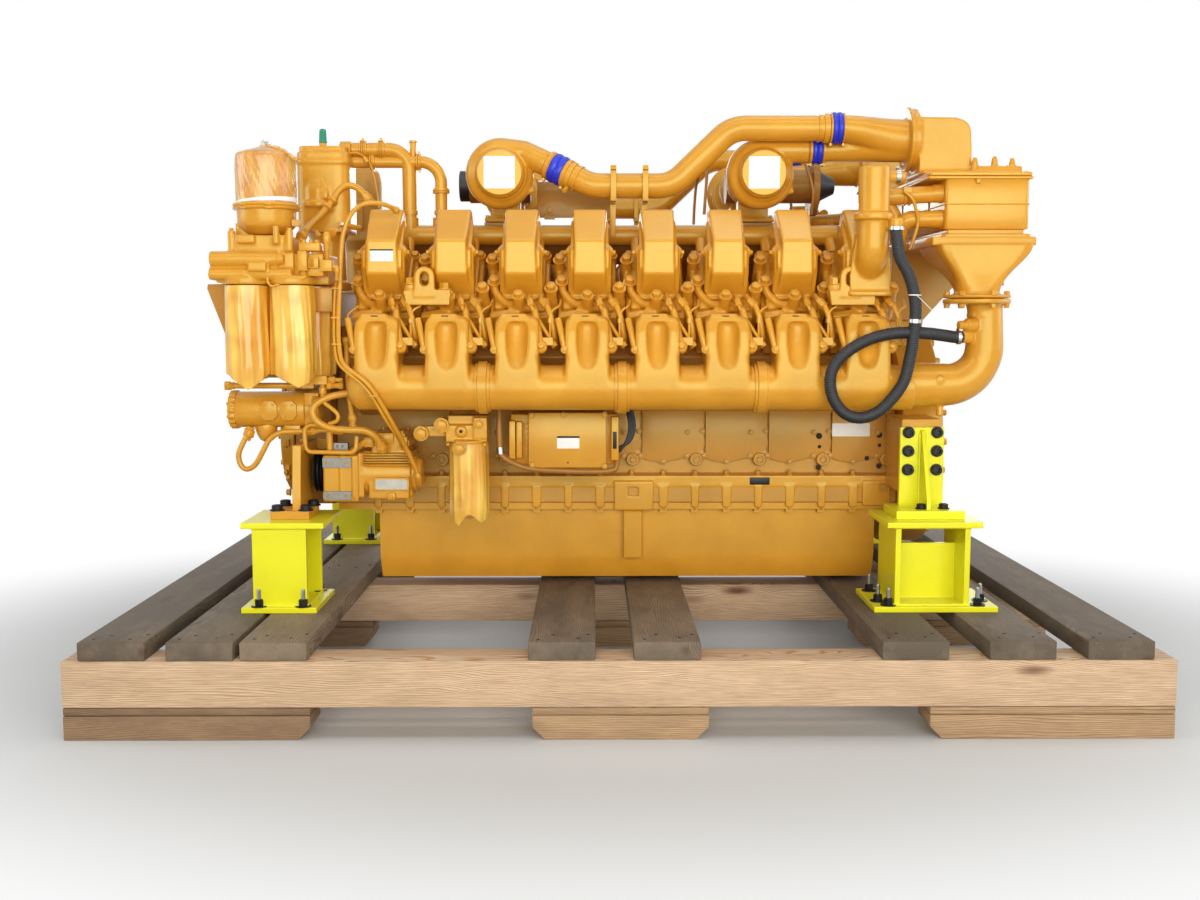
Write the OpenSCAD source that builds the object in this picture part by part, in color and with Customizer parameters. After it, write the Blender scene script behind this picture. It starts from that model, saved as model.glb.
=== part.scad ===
// Sixteen cylinder V diesel engine on four stands and a timber shipping skid.
// Millimetres. X runs along the crankshaft, with the flywheel at +X. Z is up.
// The origin is the middle of the skid at floor level.

/* [Timber skid] */
// Length of the skid along the crankshaft
skid_l = 3520; // [3400:10:3800]
// Width of the skid
skid_w = 2440; // [2300:10:2700]
// Height of the runner blocks
runner_h = 80; // [70:5:130]
// Length of each end runner block
runner_end_l = 780; // [600:10:860]
// Length of each middle runner block
runner_mid_l = 560; // [400:10:700]
// Thickness of the packing boards on the runner blocks
shim_t = 25; // [18:1:40]
// Height of the long beams
beam_h = 150; // [120:5:200]
// Width of the long beams
beam_w = 150; // [120:5:200]
// Thickness of the deck boards
board_t = 60; // [45:1:75]
// Width of a deck board
board_w = 212; // [180:2:230]

/* [Stands] */
// Height of the four stands above the deck
stand_h = 315; // [260:5:360]
// Distance from the engine centre to the middle of a stand
stand_y = 670; // [650:5:720]
// Place of the free end stands along the engine
stand_left_x = -1170; // [-1190:5:-1150]
// Place of the flywheel end stands along the engine
stand_right_x = 1090; // [1080:5:1110]
// Depth of a stand column
stand_d = 260; // [220:5:280]
// Width of a free end column
box_w = 187; // [160:1:220]
// Width of a flywheel end column
column_w = 260; // [220:5:280]
// Plate thickness of the stands
plate_t = 20; // [12:1:25]

/* [Block] */
// Distance between cylinders
cyl_pitch = 240; // [238:1:244]
// Height of the crankshaft above the stands
crank_rise = 240; // [240:5:280]
// Half the width of the crankcase
case_half_w = 330; // [320:5:345]
// Half the width of the pan rail
rail_half_w = 365; // [360:5:385]
// Height of the pan rail
rail_h = 103; // [80:1:120]
// Distance from the crankshaft up a cylinder to the deck
deck_rise = 620; // [616:1:630]
// Half the width of a cylinder deck
deck_half_w = 170; // [165:1:175]
// Clearance between the oil pan and the deck boards
pan_gap = 20; // [10:1:40]

/* [Heads and covers] */
// Height of a cylinder head
head_h = 180; // [175:1:185]
// Gap between neighbouring heads
head_gap = 14; // [6:1:24]
// Height of a rocker cover
cover_h = 190; // [150:2:200]
// Width of a rocker cover along the engine
cover_w = 124; // [110:2:150]

/* [Intake manifolds] */
// Outer diameter of a manifold
intake_d = 157; // [140:1:165]
// Distance from the engine centre to a manifold
intake_y = 720; // [715:1:730]
// Height of a manifold above the crankshaft
intake_rise = 219; // [210:1:225]
// Width of one branch along the engine
branch_w = 170; // [150:2:190]
// Place of the riser at the flywheel end
intake_riser_x = 1270; // [1260:2:1290]

/* [Charge cooler] */
// Place of the cooler's inner side along the engine
cooler_x = 1150; // [1140:2:1160]
// Length of the cooler along the engine
cooler_l = 295; // [280:5:310]
// Half the length of the cooler across the engine
cooler_half_w = 620; // [600:5:640]
// Height of the cooler's core
cooler_h = 168; // [160:1:190]
// Overhang of the cooler's flanges
cooler_lip = 10; // [6:1:16]

/* [Turbochargers] */
// Place of the free end pair along the engine
turbo_left_x = -423; // [-440:1:-400]
// Place of the flywheel end pair along the engine
turbo_right_x = 531; // [520:1:540]
// Height of the turbochargers above the crankshaft
turbo_rise = 980; // [975:1:1000]
// Distance from the engine centre to a compressor
compressor_y = 400; // [395:1:410]
// Diameter of a compressor's air inlet cap
inlet_cap_d = 160; // [140:1:170]
// Diameter of the charge air pipes
charge_d = 90; // [80:1:96]

/* [Exhaust] */
// Diameter of an exhaust manifold
exhaust_d = 130; // [110:1:140]
// Diameter of the exhaust outlet bore
outlet_bore_d = 120; // [100:1:130]
// Bolt circle of the exhaust outlet flange
outlet_pcd = 190; // [180:1:200]
// Diameter of the exhaust outlet bolt holes
outlet_hole_d = 14; // [10:1:16]

/* [Flywheel end] */
// Outer diameter of the flywheel housing
housing_d = 880; // [860:5:900]
// Inner diameter of the flywheel housing
housing_bore_d = 790; // [780:5:800]
// Length of the flywheel housing
housing_l = 150; // [130:5:160]
// Diameter of the flywheel
flywheel_d = 740; // [700:5:760]
// Thickness of the flywheel
flywheel_t = 70; // [50:1:80]
// Bolt circle on the flywheel for the driven machine
coupling_pcd = 600; // [560:5:640]
// Diameter of the flywheel's coupling holes
coupling_hole_d = 18; // [14:1:22]
// Diameter of the hole in the middle of the flywheel
pilot_d = 100; // [80:1:140]

/* [Free end] */
// Thickness of the gear case
gear_case_t = 120; // [100:5:130]
// Half the width of the gear case
gear_half_w = 430; // [420:5:440]
// Diameter of the crankshaft damper
damper_d = 480; // [400:10:540]
// Diameter of an oil filter canister
oil_filter_d = 146; // [130:1:148]
// Length of an oil filter canister
oil_filter_l = 310; // [260:5:340]
// Diameter of the centrifugal oil filter
centrifuge_d = 209; // [190:1:220]
// Diameter of the thermostat housing
thermostat_d = 196; // [180:2:200]

/* [Pipes and hose] */
// Diameter of the coolant galleries in the vee
gallery_d = 72; // [64:1:76]
// Diameter of the coolant risers
riser_d = 107; // [100:1:112]
// Diameter of the coolant crossover pipes
crossover_d = 52; // [44:1:56]
// Diameter of the corrugated vent hose
hose_d = 42; // [36:1:46]

/* [Hidden] */
$fn = 64;
clear = 0.3;
root2 = sqrt(2);
bank_tilt = 45;
cyl_per_bank = 8;
deck_z = runner_h + shim_t + beam_h + board_t;
stand_top = deck_z + stand_h;
crank_z = stand_top + crank_rise;
row_x = [for (i = [0:cyl_per_bank - 1]) (i - (cyl_per_bank - 1) / 2) * cyl_pitch];
// The bores stand a little towards the flywheel from the middle of their bays.
cyl_x = [for (x = row_x) x + 14];
case_x0 = row_x[0] - 220;
case_x1 = row_x[cyl_per_bank - 1] + 226;
rail_top = crank_z - 136;
rail_bottom = rail_top - rail_h;
valley_z = crank_z + 430;
head_in = 200;
head_top = deck_rise + head_h;
cover_top = head_top + cover_h;
intake_z = crank_z + intake_rise;
turbo_z = crank_z + turbo_rise;

// A point of the front bank's cross-section: s up the cylinder, p towards the vee.
function bank_point(s, p) = [(p - s) / root2, crank_z + (s + p) / root2];
function mirrored(points) = [for (i = [len(points) - 1:-1:0]) [-points[i][0], points[i][1]]];
function unit(v) = v / norm(v);

// The long hose, from the coolant riser round its loop to the intake riser.
HOSE = [
    [930, -820, 1625], [933, -826, 1590], [944, -830, 1530], [975, -832, 1470],
    [995, -832, 1400], [1000, -832, 1340], [994, -832, 1260], [984, -832, 1190],
    [965, -834, 1115], [925, -836, 1055], [875, -838, 1010], [815, -840, 992],
    [760, -840, 1012], [724, -840, 1065], [716, -838, 1130], [738, -836, 1182],
    [790, -834, 1228], [860, -832, 1262], [940, -828, 1278], [1030, -818, 1278],
    [1105, -792, 1270], [1150, -768, 1264], [1180, -760, 1262],
];

// ---------------------------------------------------------------- helpers

// A box between two corners.
module block(a, b) {
    translate(a) cube(b - a);
}

// A cross-section in Y and Z, run along X from x0 to x1.
module along_x(x0, x1) {
    translate([x0, 0, 0]) rotate([90, 0, 90]) linear_extrude(x1 - x0) children();
}

// An outline in X and Z, run along Y from y0 to y1.
module along_y(y0, y1) {
    translate([0, y1, 0]) rotate([90, 0, 0]) linear_extrude(y1 - y0) children();
}

// A round bar along X.
module rod_x(x0, x1, y, z, d) {
    translate([x0, y, z]) rotate([0, 90, 0]) cylinder(d = d, h = x1 - x0);
}

// A round bar along Y.
module rod_y(y0, y1, x, z, d) {
    translate([x, y0, z]) rotate([-90, 0, 0]) cylinder(d = d, h = y1 - y0);
}

// A round bar along Z.
module rod_z(z0, z1, x, y, d) {
    translate([x, y, z0]) cylinder(d = d, h = z1 - z0);
}

// The front cylinder bank's own frame: y runs towards the vee, z up the cylinders.
module front_bank() {
    translate([0, 0, crank_z]) rotate([bank_tilt, 0, 0]) children();
}

module both_sides() {
    children();
    mirror([0, 1, 0]) children();
}

// A round bar from a to b.
module bar(a, b, d) {
    w = unit(b - a);
    u = unit(cross(abs(w[2]) < 0.9 ? [0, 0, 1] : [1, 0, 0], w));
    v = cross(w, u);
    multmatrix([[u[0], v[0], w[0], a[0]], [u[1], v[1], w[1], a[1]], [u[2], v[2], w[2], a[2]]])
        cylinder(d = d, h = norm(b - a));
}

// A quarter or less of a round pipe at the corner b of the path a, b, c.
module bend(a, b, c, d, r) {
    into = unit(b - a);
    out = unit(c - b);
    turn = acos(into * out);
    start = b - into * (r * tan(turn / 2));
    side = unit(out - into * (into * out));
    centre = start + side * r;
    up = cross(-side, into);
    multmatrix([
        [-side[0], into[0], up[0], centre[0]],
        [-side[1], into[1], up[1], centre[1]],
        [-side[2], into[2], up[2], centre[2]],
    ])
        rotate_extrude(angle = turn) translate([r, 0]) circle(d = d);
}

// How far a bend of radius r reaches back along the path from its corner i.
function bend_reach(path, i, r) =
    i == 0 || i == len(path) - 1 ? 0
    : r * tan(acos(unit(path[i] - path[i - 1]) * unit(path[i + 1] - path[i])) / 2);

// A round pipe along a path of straight runs, with a bend of radius r at each corner.
module pipe(path, d, r) {
    for (i = [0:len(path) - 2]) {
        w = unit(path[i + 1] - path[i]);
        bar(path[i] + w * bend_reach(path, i, r), path[i + 1] - w * bend_reach(path, i + 1, r), d);
    }
    for (i = [1:1:len(path) - 2]) {
        bend(path[i - 1], path[i], path[i + 1], d, r);
    }
}

// The points of an arc of radius r that rounds the corner b of the path a, b, c.
function corner_arc(a, b, c, r, steps) =
    let (into = unit(b - a), out = unit(c - b), turn = acos(into * out),
         start = b - into * (r * tan(turn / 2)), side = unit(out - into * (into * out)),
         centre = start + side * r)
    [for (k = [0:steps]) centre - side * (r * cos(turn * k / steps)) + into * (r * sin(turn * k / steps))];

function rounded(path, r, steps) = [
    path[0],
    for (i = [1:len(path) - 2]) each corner_arc(path[i - 1], path[i], path[i + 1], r, steps),
    path[len(path) - 1],
];

// A tube of flat sides along a path, square to the headings first and last at its ends.
module sweep(path, d, sides, first, last) {
    rings = len(path);
    ring = function (i)
        let (w = i == 0 ? first : i == rings - 1 ? last : unit(path[i + 1] - path[i - 1]),
             u = unit(cross([0, 1, 0], w)), v = cross(w, u))
        [for (k = [0:sides - 1])
            path[i] + d / 2 * (cos(360 * k / sides) * u + sin(360 * k / sides) * v)];
    walls = [
        for (i = [0:rings - 2]) for (k = [0:sides - 1])
            let (a = i * sides + k, b = i * sides + (k + 1) % sides)
            [a, a + sides, b + sides, b],
    ];
    near_end = [for (k = [0:sides - 1]) k];
    far_end = [for (k = [sides - 1:-1:0]) (rings - 1) * sides + k];
    polyhedron([for (i = [0:rings - 1]) each ring(i)], concat(walls, [near_end], [far_end]));
}

// ---------------------------------------------------------------- skid

beam_rows = [-(skid_w - beam_w) / 2, 0, (skid_w - beam_w) / 2];
runner_chamfer = 40;

// One runner block with its packing board, sloped at the ends that face a fork pocket.
module runner(x0, x1, slope_low, slope_high) {
    along_y(-beam_w / 2, beam_w / 2)
        polygon([
            [x0 + (slope_low ? runner_chamfer : 0), 0], [x1 - (slope_high ? runner_chamfer : 0), 0],
            [x1, runner_chamfer], [x1, runner_h + shim_t], [x0, runner_h + shim_t],
            [x0, runner_chamfer],
        ]);
}

module skid_runners() {
    color("burlywood")
        for (y = beam_rows) translate([0, y, 0]) {
            runner(-skid_l / 2, runner_end_l - skid_l / 2, false, true);
            runner(-runner_mid_l / 2, runner_mid_l / 2, true, true);
            runner(skid_l / 2 - runner_end_l, skid_l / 2, true, false);
        }
}

module skid_beams() {
    color("wheat")
        for (y = beam_rows)
            translate([-skid_l / 2, y - beam_w / 2, runner_h + shim_t]) cube([skid_l, beam_w, beam_h]);
}

// Boards lie in pairs under the stands, two in the middle and one at each end.
board_x = [
    157 - skid_l / 2, stand_left_x - 155, stand_left_x + 77, -186,
    147, stand_right_x - 159, stand_right_x + 180, skid_l / 2 - 179,
];

module skid_deck_boards() {
    color("tan")
        for (x = board_x)
            translate([x - board_w / 2, -skid_w / 2, deck_z - board_t]) cube([board_w, skid_w, board_t]);
}

// ---------------------------------------------------------------- stands and feet

foot_t = 30;
foot_plate_d = stand_d + 50;

// A column of two flanges and a web between two plates, at the front of the free end.
module stand_left() {
    translate([stand_left_x, -stand_y, 0]) {
        block([-130, -foot_plate_d / 2, deck_z], [130, foot_plate_d / 2, deck_z + plate_t]);
        for (side = [-1, 1])
            translate([0, side * (stand_d - plate_t) / 2, 0])
                block([-box_w / 2, -plate_t / 2, deck_z + plate_t],
                      [box_w / 2, plate_t / 2, stand_top - plate_t]);
        block([-plate_t / 2, plate_t - stand_d / 2, deck_z + plate_t],
              [plate_t / 2, stand_d / 2 - plate_t, stand_top - plate_t]);
        block([-125, -foot_plate_d / 2, stand_top - plate_t], [160, foot_plate_d / 2, stand_top]);
    }
}

// The same column turned a quarter, with a window at the top of its web, at the flywheel end.
module stand_right() {
    window_h = 76;
    translate([stand_right_x, -stand_y, 0]) {
        block([-205, -foot_plate_d / 2, deck_z], [225, foot_plate_d / 2, deck_z + plate_t]);
        difference() {
            union() {
                for (side = [-1, 1])
                    translate([side * (column_w - plate_t) / 2, 0, 0])
                        block([-plate_t / 2, -stand_d / 2, deck_z + plate_t],
                              [plate_t / 2, stand_d / 2, stand_top - plate_t]);
                block([plate_t - column_w / 2, -plate_t / 2, deck_z + plate_t],
                      [column_w / 2 - plate_t, plate_t / 2, stand_top - plate_t]);
            }
            block([plate_t - column_w / 2, -plate_t, stand_top - plate_t - window_h],
                  [column_w / 2 - plate_t, plate_t, stand_top - plate_t]);
        }
        block([-165, -foot_plate_d / 2, stand_top - plate_t], [165, foot_plate_d / 2, stand_top]);
    }
}

module stand_front_left() { color("gold") stand_left(); }
module stand_rear_left() { color("gold") mirror([0, 1, 0]) stand_left(); }
module stand_front_right() { color("gold") stand_right(); }
module stand_rear_right() { color("gold") mirror([0, 1, 0]) stand_right(); }

boss_y = stand_y - 70;
bracket_w = 158;

// A foot, a bolted upright plate and a middle gusset, between a stand and the flywheel housing.
module foot_bracket() {
    top = crank_z + 71;
    translate([stand_right_x, 0, 0]) {
        block([-120, -stand_y - 90, stand_top], [120, -boss_y + 40, stand_top + foot_t]);
        block([-bracket_w / 2, -boss_y - plate_t, stand_top + foot_t], [bracket_w / 2, -boss_y, top]);
        along_x(-7, 7)
            polygon([
                [-boss_y - plate_t, stand_top + foot_t], [-boss_y - plate_t, top - 10],
                [-boss_y - plate_t - 12, top - 10], [-stand_y - 62, stand_top + foot_t + 25],
                [-stand_y - 62, stand_top + foot_t],
            ]);
    }
}

module foot_brackets_right() {
    color("gold") both_sides() foot_bracket();
}

// A cast foot from the gear case side down to the free end stand.
module engine_foot() {
    top = crank_z + 16;
    translate([stand_left_x, 0, 0]) {
        block([-40, -stand_y - 80, stand_top], [95, -stand_y + 90, stand_top + foot_t]);
        block([0, -gear_half_w - 20, stand_top + foot_t + 40], [100, -gear_half_w, top]);
        along_x(33, 63)
            polygon([
                [-stand_y - 60, stand_top + foot_t], [-stand_y + 80, stand_top + foot_t],
                [-gear_half_w - 20, stand_top + foot_t + 50], [-gear_half_w - 20, top],
                [-stand_y - 40, top], [-stand_y - 60, stand_top + foot_t + 60],
            ]);
    }
}

module engine_feet_left() {
    color("orange") both_sides() engine_foot();
}

// ---------------------------------------------------------------- oil pan and crankcase

pan_x0 = case_x0 + 160;
pan_x1 = case_x1 - 76;

module oil_pan() {
    pan_z = deck_z + pan_gap;
    flange_z = rail_bottom - 24;
    color("orange") {
        along_x(pan_x0, pan_x1)
            polygon([
                [-case_half_w + 40, pan_z], [case_half_w - 40, pan_z],
                [case_half_w, pan_z + 90], [case_half_w, flange_z],
                [-case_half_w, flange_z], [-case_half_w, pan_z + 90],
            ]);
        along_x(case_x0 + 10, case_x1 - 10)
            polygon([
                [-rail_half_w + 8, flange_z], [rail_half_w - 8, flange_z],
                [rail_half_w - 8, rail_bottom], [-rail_half_w + 8, rail_bottom],
            ]);
        // bolt bosses under the pan's flange
        both_sides() for (x = row_x) for (dx = [-60, 60])
            along_y(-rail_half_w + 9, -case_half_w + 1) translate([x + dx - 13,
                  flange_z - 14]) square([26, 15]);
    }
}

// The crankcase's cross-section: pan rail, side wall and vee floor.
case_side = [
    [-rail_half_w, rail_bottom], [-rail_half_w, rail_top], [-case_half_w, rail_top + 8],
    [-case_half_w, crank_z + 92], [-190, valley_z],
];

// The same over the cylinders, with the front bank's deck.
bank_side = [
    for (i = [0:3]) case_side[i],
    bank_point(deck_rise, -deck_half_w), bank_point(deck_rise, deck_half_w), [-190, valley_z],
];

module crankcase() {
    color("orange") {
        along_x(case_x0, case_x1) polygon(concat(case_side, mirrored(case_side)));
        along_x(row_x[0] - 122, row_x[7] + 122) polygon(concat(bank_side, mirrored(bank_side)));
    }
}

cover_side_z = crank_z - 20;

// A bolted inspection cover opposite each cylinder.
module crankcase_covers() {
    color("darkorange")
        for (x = cyl_x)
            along_y(-case_half_w - 14, -case_half_w)
                translate([x + 31, cover_side_z]) {
                    square([150, 168], center = true);
                    square([186, 120], center = true);
                }
}

module crankcase_covers_front() { crankcase_covers(); }
module crankcase_covers_rear() { mirror([0, 1, 0]) crankcase_covers(); }

// ---------------------------------------------------------------- heads and rocker covers

module cylinder_heads() {
    head_w = cyl_pitch - head_gap;
    color("orange")
        front_bank()
            for (x = cyl_x) translate([x, 0, 0])
                block([-head_w / 2, -deck_half_w, deck_rise], [head_w / 2, head_in, head_top]);
}

module cylinder_heads_front() { cylinder_heads(); }
module cylinder_heads_rear() { mirror([0, 1, 0]) cylinder_heads(); }

cover_out = 54;
cover_front = 80;
cover_shift = 8;
ear_w = 18;

module rocker_covers() {
    color("goldenrod")
        front_bank()
            for (x = cyl_x) translate([cover_shift, 0, 0]) {
                along_x(x - cover_w / 2 - ear_w, x + cover_w / 2 + ear_w)
                    translate([-cover_out - 8, head_top]) square([cover_out + head_in - 2, 14]);
                along_x(x - cover_w / 2, x + cover_w / 2)
                    polygon([
                        [-cover_out, head_top + 14], [head_in - 10, head_top + 14],
                        [head_in + 14, cover_top - 30], [head_in + 14, cover_top - 8],
                        [head_in + 6, cover_top], [24, cover_top + 10],
                        [24 - cover_front, cover_top + 10 - cover_front],
                    ]);
                along_x(x - cover_w / 2 - ear_w, x + cover_w / 2 + ear_w)
                    translate([20, cover_top - 85]) square([30, 40]);
            }
}

module rocker_covers_front() { rocker_covers(); }
module rocker_covers_rear() { mirror([0, 1, 0]) rocker_covers(); }

eye_x = [row_x[0] + 171, row_x[7] - 39];

// A lug with a slot, on a foot bolted to the head's outer edge.
module lifting_eye(x) {
    lug_z = bank_point(head_top, -deck_half_w)[1];
    lug_y = bank_point(head_top, -deck_half_w)[0] - 14;
    front_bank()
        block([x - 60, -deck_half_w + 2, head_top], [x + 60, -cover_out - 14, head_top + 22]);
    along_y(lug_y - 22, lug_y)
        difference() {
            polygon([
                [x - 35, lug_z + 2], [x + 35, lug_z + 2], [x + 35, lug_z + 160],
                [x + 22, lug_z + 180], [x - 22, lug_z + 180], [x - 35, lug_z + 160],
            ]);
            translate([x - 13, lug_z + 100]) square([26, 50]);
        }
    along_x(x - 35, x + 35)
        polygon([
            [lug_y - 1, lug_z + 2], [lug_y + 22, lug_z + 24], [lug_y + 16, lug_z + 34],
            [lug_y - 1, lug_z + 60],
        ]);
}

module lifting_eyes() {
    color("orange") both_sides() for (x = eye_x) lifting_eye(x);
}

// ---------------------------------------------------------------- intake

intake_x0 = row_x[0] - 75;
intake_x1 = row_x[7] + 180;
intake_bend_r = 130;
intake_riser_top = intake_z + 320;

// The branch from a head's outer face round to the manifold, in Y and Z.
function branch_outline(out) = [
    bank_point(deck_rise + 20, -deck_half_w), bank_point(head_top - 8, -deck_half_w),
    [-intake_y - 18, intake_z + 221], [-intake_y - out * 0.85, intake_z + 190],
    [-intake_y - out, intake_z + 130], [-intake_y - out, intake_z],
    [-intake_y, intake_z], [-intake_y + intake_d / 2 - 6, intake_z + 20],
];

module intake_manifold() {
    lobe_w = (branch_w - 10) / 2;
    rod_x(intake_x0, intake_x1, -intake_y, intake_z, intake_d);
    for (x = cyl_x) {
        for (side = [-1, 1])
            along_x(x + side * (5 + lobe_w / 2) - lobe_w / 2, x + side * (5 + lobe_w / 2) + lobe_w / 2)
                polygon(branch_outline(intake_d / 2 - 2));
        along_x(x - 10, x + 10) polygon(branch_outline(intake_d / 2 - 30));
    }
    for (i = [1, 3, 5])
        rod_x((cyl_x[i] + cyl_x[i + 1]) / 2 - 24, (cyl_x[i] + cyl_x[i + 1]) / 2 + 24,
              -intake_y, intake_z, intake_d + 12);
}

module intake_manifold_front() { color("orange") intake_manifold(); }
module intake_manifold_rear() { color("orange") mirror([0, 1, 0]) intake_manifold(); }

vent_z = HOSE[len(HOSE) - 1][2];
vent_y = HOSE[len(HOSE) - 1][1];
vent_x = HOSE[len(HOSE) - 1][0];

module intake_riser() {
    pipe([
        [intake_x1, -intake_y, intake_z], [intake_riser_x, -intake_y, intake_z],
        [intake_riser_x, -intake_y, intake_riser_top - 46],
    ], intake_d - 10, intake_bend_r);
    rod_x(intake_x1, intake_x1 + 26, -intake_y, intake_z, intake_d + 24);
    rod_z(intake_riser_top - 46, intake_riser_top, intake_riser_x, -intake_y, 235);
}

module intake_risers() {
    color("orange") {
        intake_riser();
        rod_x(vent_x, intake_riser_x, vent_y, vent_z, hose_d + 12);
        mirror([0, 1, 0]) intake_riser();
    }
}

// ---------------------------------------------------------------- charge cooler

funnel_h = 168;
funnel_top = intake_riser_top + funnel_h;
lip_t = 29;
core_z = funnel_top + lip_t + 34;
cooler_top = core_z + cooler_h;
lid_top = cooler_top + lip_t;
funnel_w = 200;

// A funnel that turns the cooler's rectangular outlet into the round riser.
module cooler_funnel() {
    hull() {
        translate([intake_riser_x, -intake_y, intake_riser_top]) cylinder(r = 66, h = 2, $fn = 32);
        block([cooler_x - 40, -cooler_half_w, funnel_top - 2],
              [cooler_x + cooler_l - 30, -cooler_half_w + funnel_w, funnel_top]);
    }
    block([cooler_x - cooler_lip - 45, -cooler_half_w - 12, funnel_top],
          [cooler_x + cooler_l + cooler_lip - 2, -cooler_half_w + funnel_w + 20, funnel_top + lip_t]);
}

module cooler_funnels() {
    color("orange") both_sides() cooler_funnel();
}

module charge_cooler() {
    color("orange") {
        block([cooler_x - cooler_lip, -cooler_half_w - cooler_lip, funnel_top + lip_t],
              [cooler_x + cooler_l + cooler_lip, cooler_half_w + cooler_lip, core_z]);
        block([cooler_x, -cooler_half_w, core_z], [cooler_x + cooler_l, cooler_half_w, cooler_top]);
        block([cooler_x - cooler_lip, -cooler_half_w - cooler_lip, cooler_top],
              [cooler_x + cooler_l + cooler_lip, cooler_half_w + cooler_lip, lid_top]);
    }
}

housing_x1 = case_x1 + housing_l;

// A cast pedestal from the top of the flywheel housing to the cooler.
module cooler_support() {
    foot_z = crank_z + housing_d / 2 + 10;
    x0 = case_x1 + 5;
    color("orange") {
        along_y(-180, 180)
            polygon([
                [x0, foot_z], [housing_x1 - 20, foot_z],
                [cooler_x + cooler_l - 20, funnel_top + lip_t - 30],
                [cooler_x + cooler_l - 20, funnel_top + lip_t],
                [x0, funnel_top + lip_t],
            ]);
        block([x0, -300, funnel_top + lip_t - 24], [cooler_x + cooler_l - 20, 300, funnel_top + lip_t]);
    }
}

plenum_flange_x = 1050;
plenum_y = 420;
plenum_z = lid_top + 137;

// The cast air inlet on the cooler's lid, with its round flange and the cone that feeds it.
module inlet_plenum() {
    block([cooler_x - 50, -plenum_y - 130, lid_top], [cooler_x + cooler_l, -plenum_y + 130, lid_top + 12]);
    along_y(-plenum_y - 100, -plenum_y + 100)
        polygon([
            [cooler_x - 50, lid_top + 10], [cooler_x + 130, lid_top + 10], [cooler_x + 118, lid_top + 60],
            [cooler_x + 118, lid_top + 150], [cooler_x + 102, lid_top + 186],
                  [cooler_x + 66, lid_top + 204],
            [cooler_x - 50, lid_top + 204],
        ]);
    rod_x(plenum_flange_x + 36, cooler_x, -plenum_y, plenum_z, 170);
    rod_x(plenum_flange_x, plenum_flange_x + 36, -plenum_y, plenum_z, 230);
    hull() {
        rod_x(cone_x, cone_x + 12, -high_run_y, high_run_z, charge_d + 6);
        rod_x(plenum_flange_x - 2, plenum_flange_x, -plenum_y, plenum_z, 146);
    }
    pipe([[low_join_x, -compressor_y, low_join_z], [plenum_flange_x - 40, -compressor_y, low_join_z]],
         charge_d - 10, 90);
}

module inlet_plenum_front() { color("orange") inlet_plenum(); }
module inlet_plenum_rear() { color("orange") mirror([0, 1, 0]) inlet_plenum(); }

// ---------------------------------------------------------------- turbochargers and charge pipes

volute_r = 88;
volute_tube = 90;
high_run_y = compressor_y + 66;
high_run_z = turbo_z + 158;
mid_run_z = turbo_z - 46;
cone_x = 818;
low_join_x = 762;
low_join_z = turbo_z + volute_r;

// The straight slope from the free end compressor's outlet down to the level run.
slope_start = [turbo_left_x + 60, -compressor_y, turbo_z + volute_r + 2];
slope_end = [turbo_left_x + 335, -high_run_y, mid_run_z];
function on_slope(t) = slope_start + (slope_end - slope_start) * t;
coupling_from = 0.41;
coupling_to = 0.70;

// Corner points of the long charge pipe from the free end compressor.
long_run = [
    on_slope(coupling_to), slope_end,
    [turbo_left_x + 621, -high_run_y, mid_run_z],
    [turbo_left_x + 836, -high_run_y, high_run_z],
    [cone_x - 54, -high_run_y, high_run_z],
];

exhaust_s = deck_rise + 60;
exhaust_p = 376;
exhaust_y = (exhaust_s - exhaust_p) / root2;
exhaust_z = crank_z + (exhaust_s + exhaust_p) / root2;
turbine_y = 132;
foot_h = 12;

// A turbocharger with its compressor at the outside and its turbine over the exhaust manifold.
module turbocharger(x) {
    translate([x, 0, turbo_z]) {
        rod_y(-compressor_y - 78, -compressor_y + 46, 0, 0, inlet_cap_d - 4);
        rod_y(-compressor_y - 84, -compressor_y - 78, 0, 0, inlet_cap_d);
        translate([0, -compressor_y, 0]) rotate([90, 0, 0])
            rotate_extrude() translate([volute_r, 0]) circle(d = volute_tube);
        rod_y(-compressor_y + 46, -compressor_y + 66, 0, 0, 216);
        rod_y(-compressor_y + 66, -turbine_y - 58, 0, 0, 112);
        rod_y(-turbine_y - 58, -turbine_y - 40, 0, 0, 190);
        rod_y(-turbine_y - 40, -turbine_y + 66, 0, 0, 126);
        translate([0, -turbine_y, 0]) rotate([90, 0, 0])
            rotate_extrude() translate([66, 0]) circle(d = 78);
        block([-60, -turbine_y - 40, exhaust_z + exhaust_d / 2 + foot_h - turbo_z],
              [60, -turbine_y + 30, 0]);
        block([-80, -turbine_y - 55, exhaust_z + exhaust_d / 2 + foot_h - turbo_z],
              [80, -turbine_y + 45, exhaust_z + exhaust_d / 2 + foot_h + 18 - turbo_z]);
    }
}

// The free end compressor's outlet points down towards the flywheel end.
module turbocharger_left() {
    turbocharger(turbo_left_x);
    bar(on_slope(-0.2), on_slope(coupling_from), charge_d - 6);
}

// The flywheel end compressor's outlet runs level from the top of its volute.
module turbocharger_right() {
    turbocharger(turbo_right_x);
    rod_x(turbo_right_x, low_join_x - 60, -compressor_y, low_join_z, charge_d - 10);
}

module turbocharger_front_left() { color("sienna") turbocharger_left(); }
module turbocharger_rear_left() { color("sienna") mirror([0, 1, 0]) turbocharger_left(); }
module turbocharger_front_right() { color("sienna") turbocharger_right(); }
module turbocharger_rear_right() { color("sienna") mirror([0, 1, 0]) turbocharger_right(); }

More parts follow.
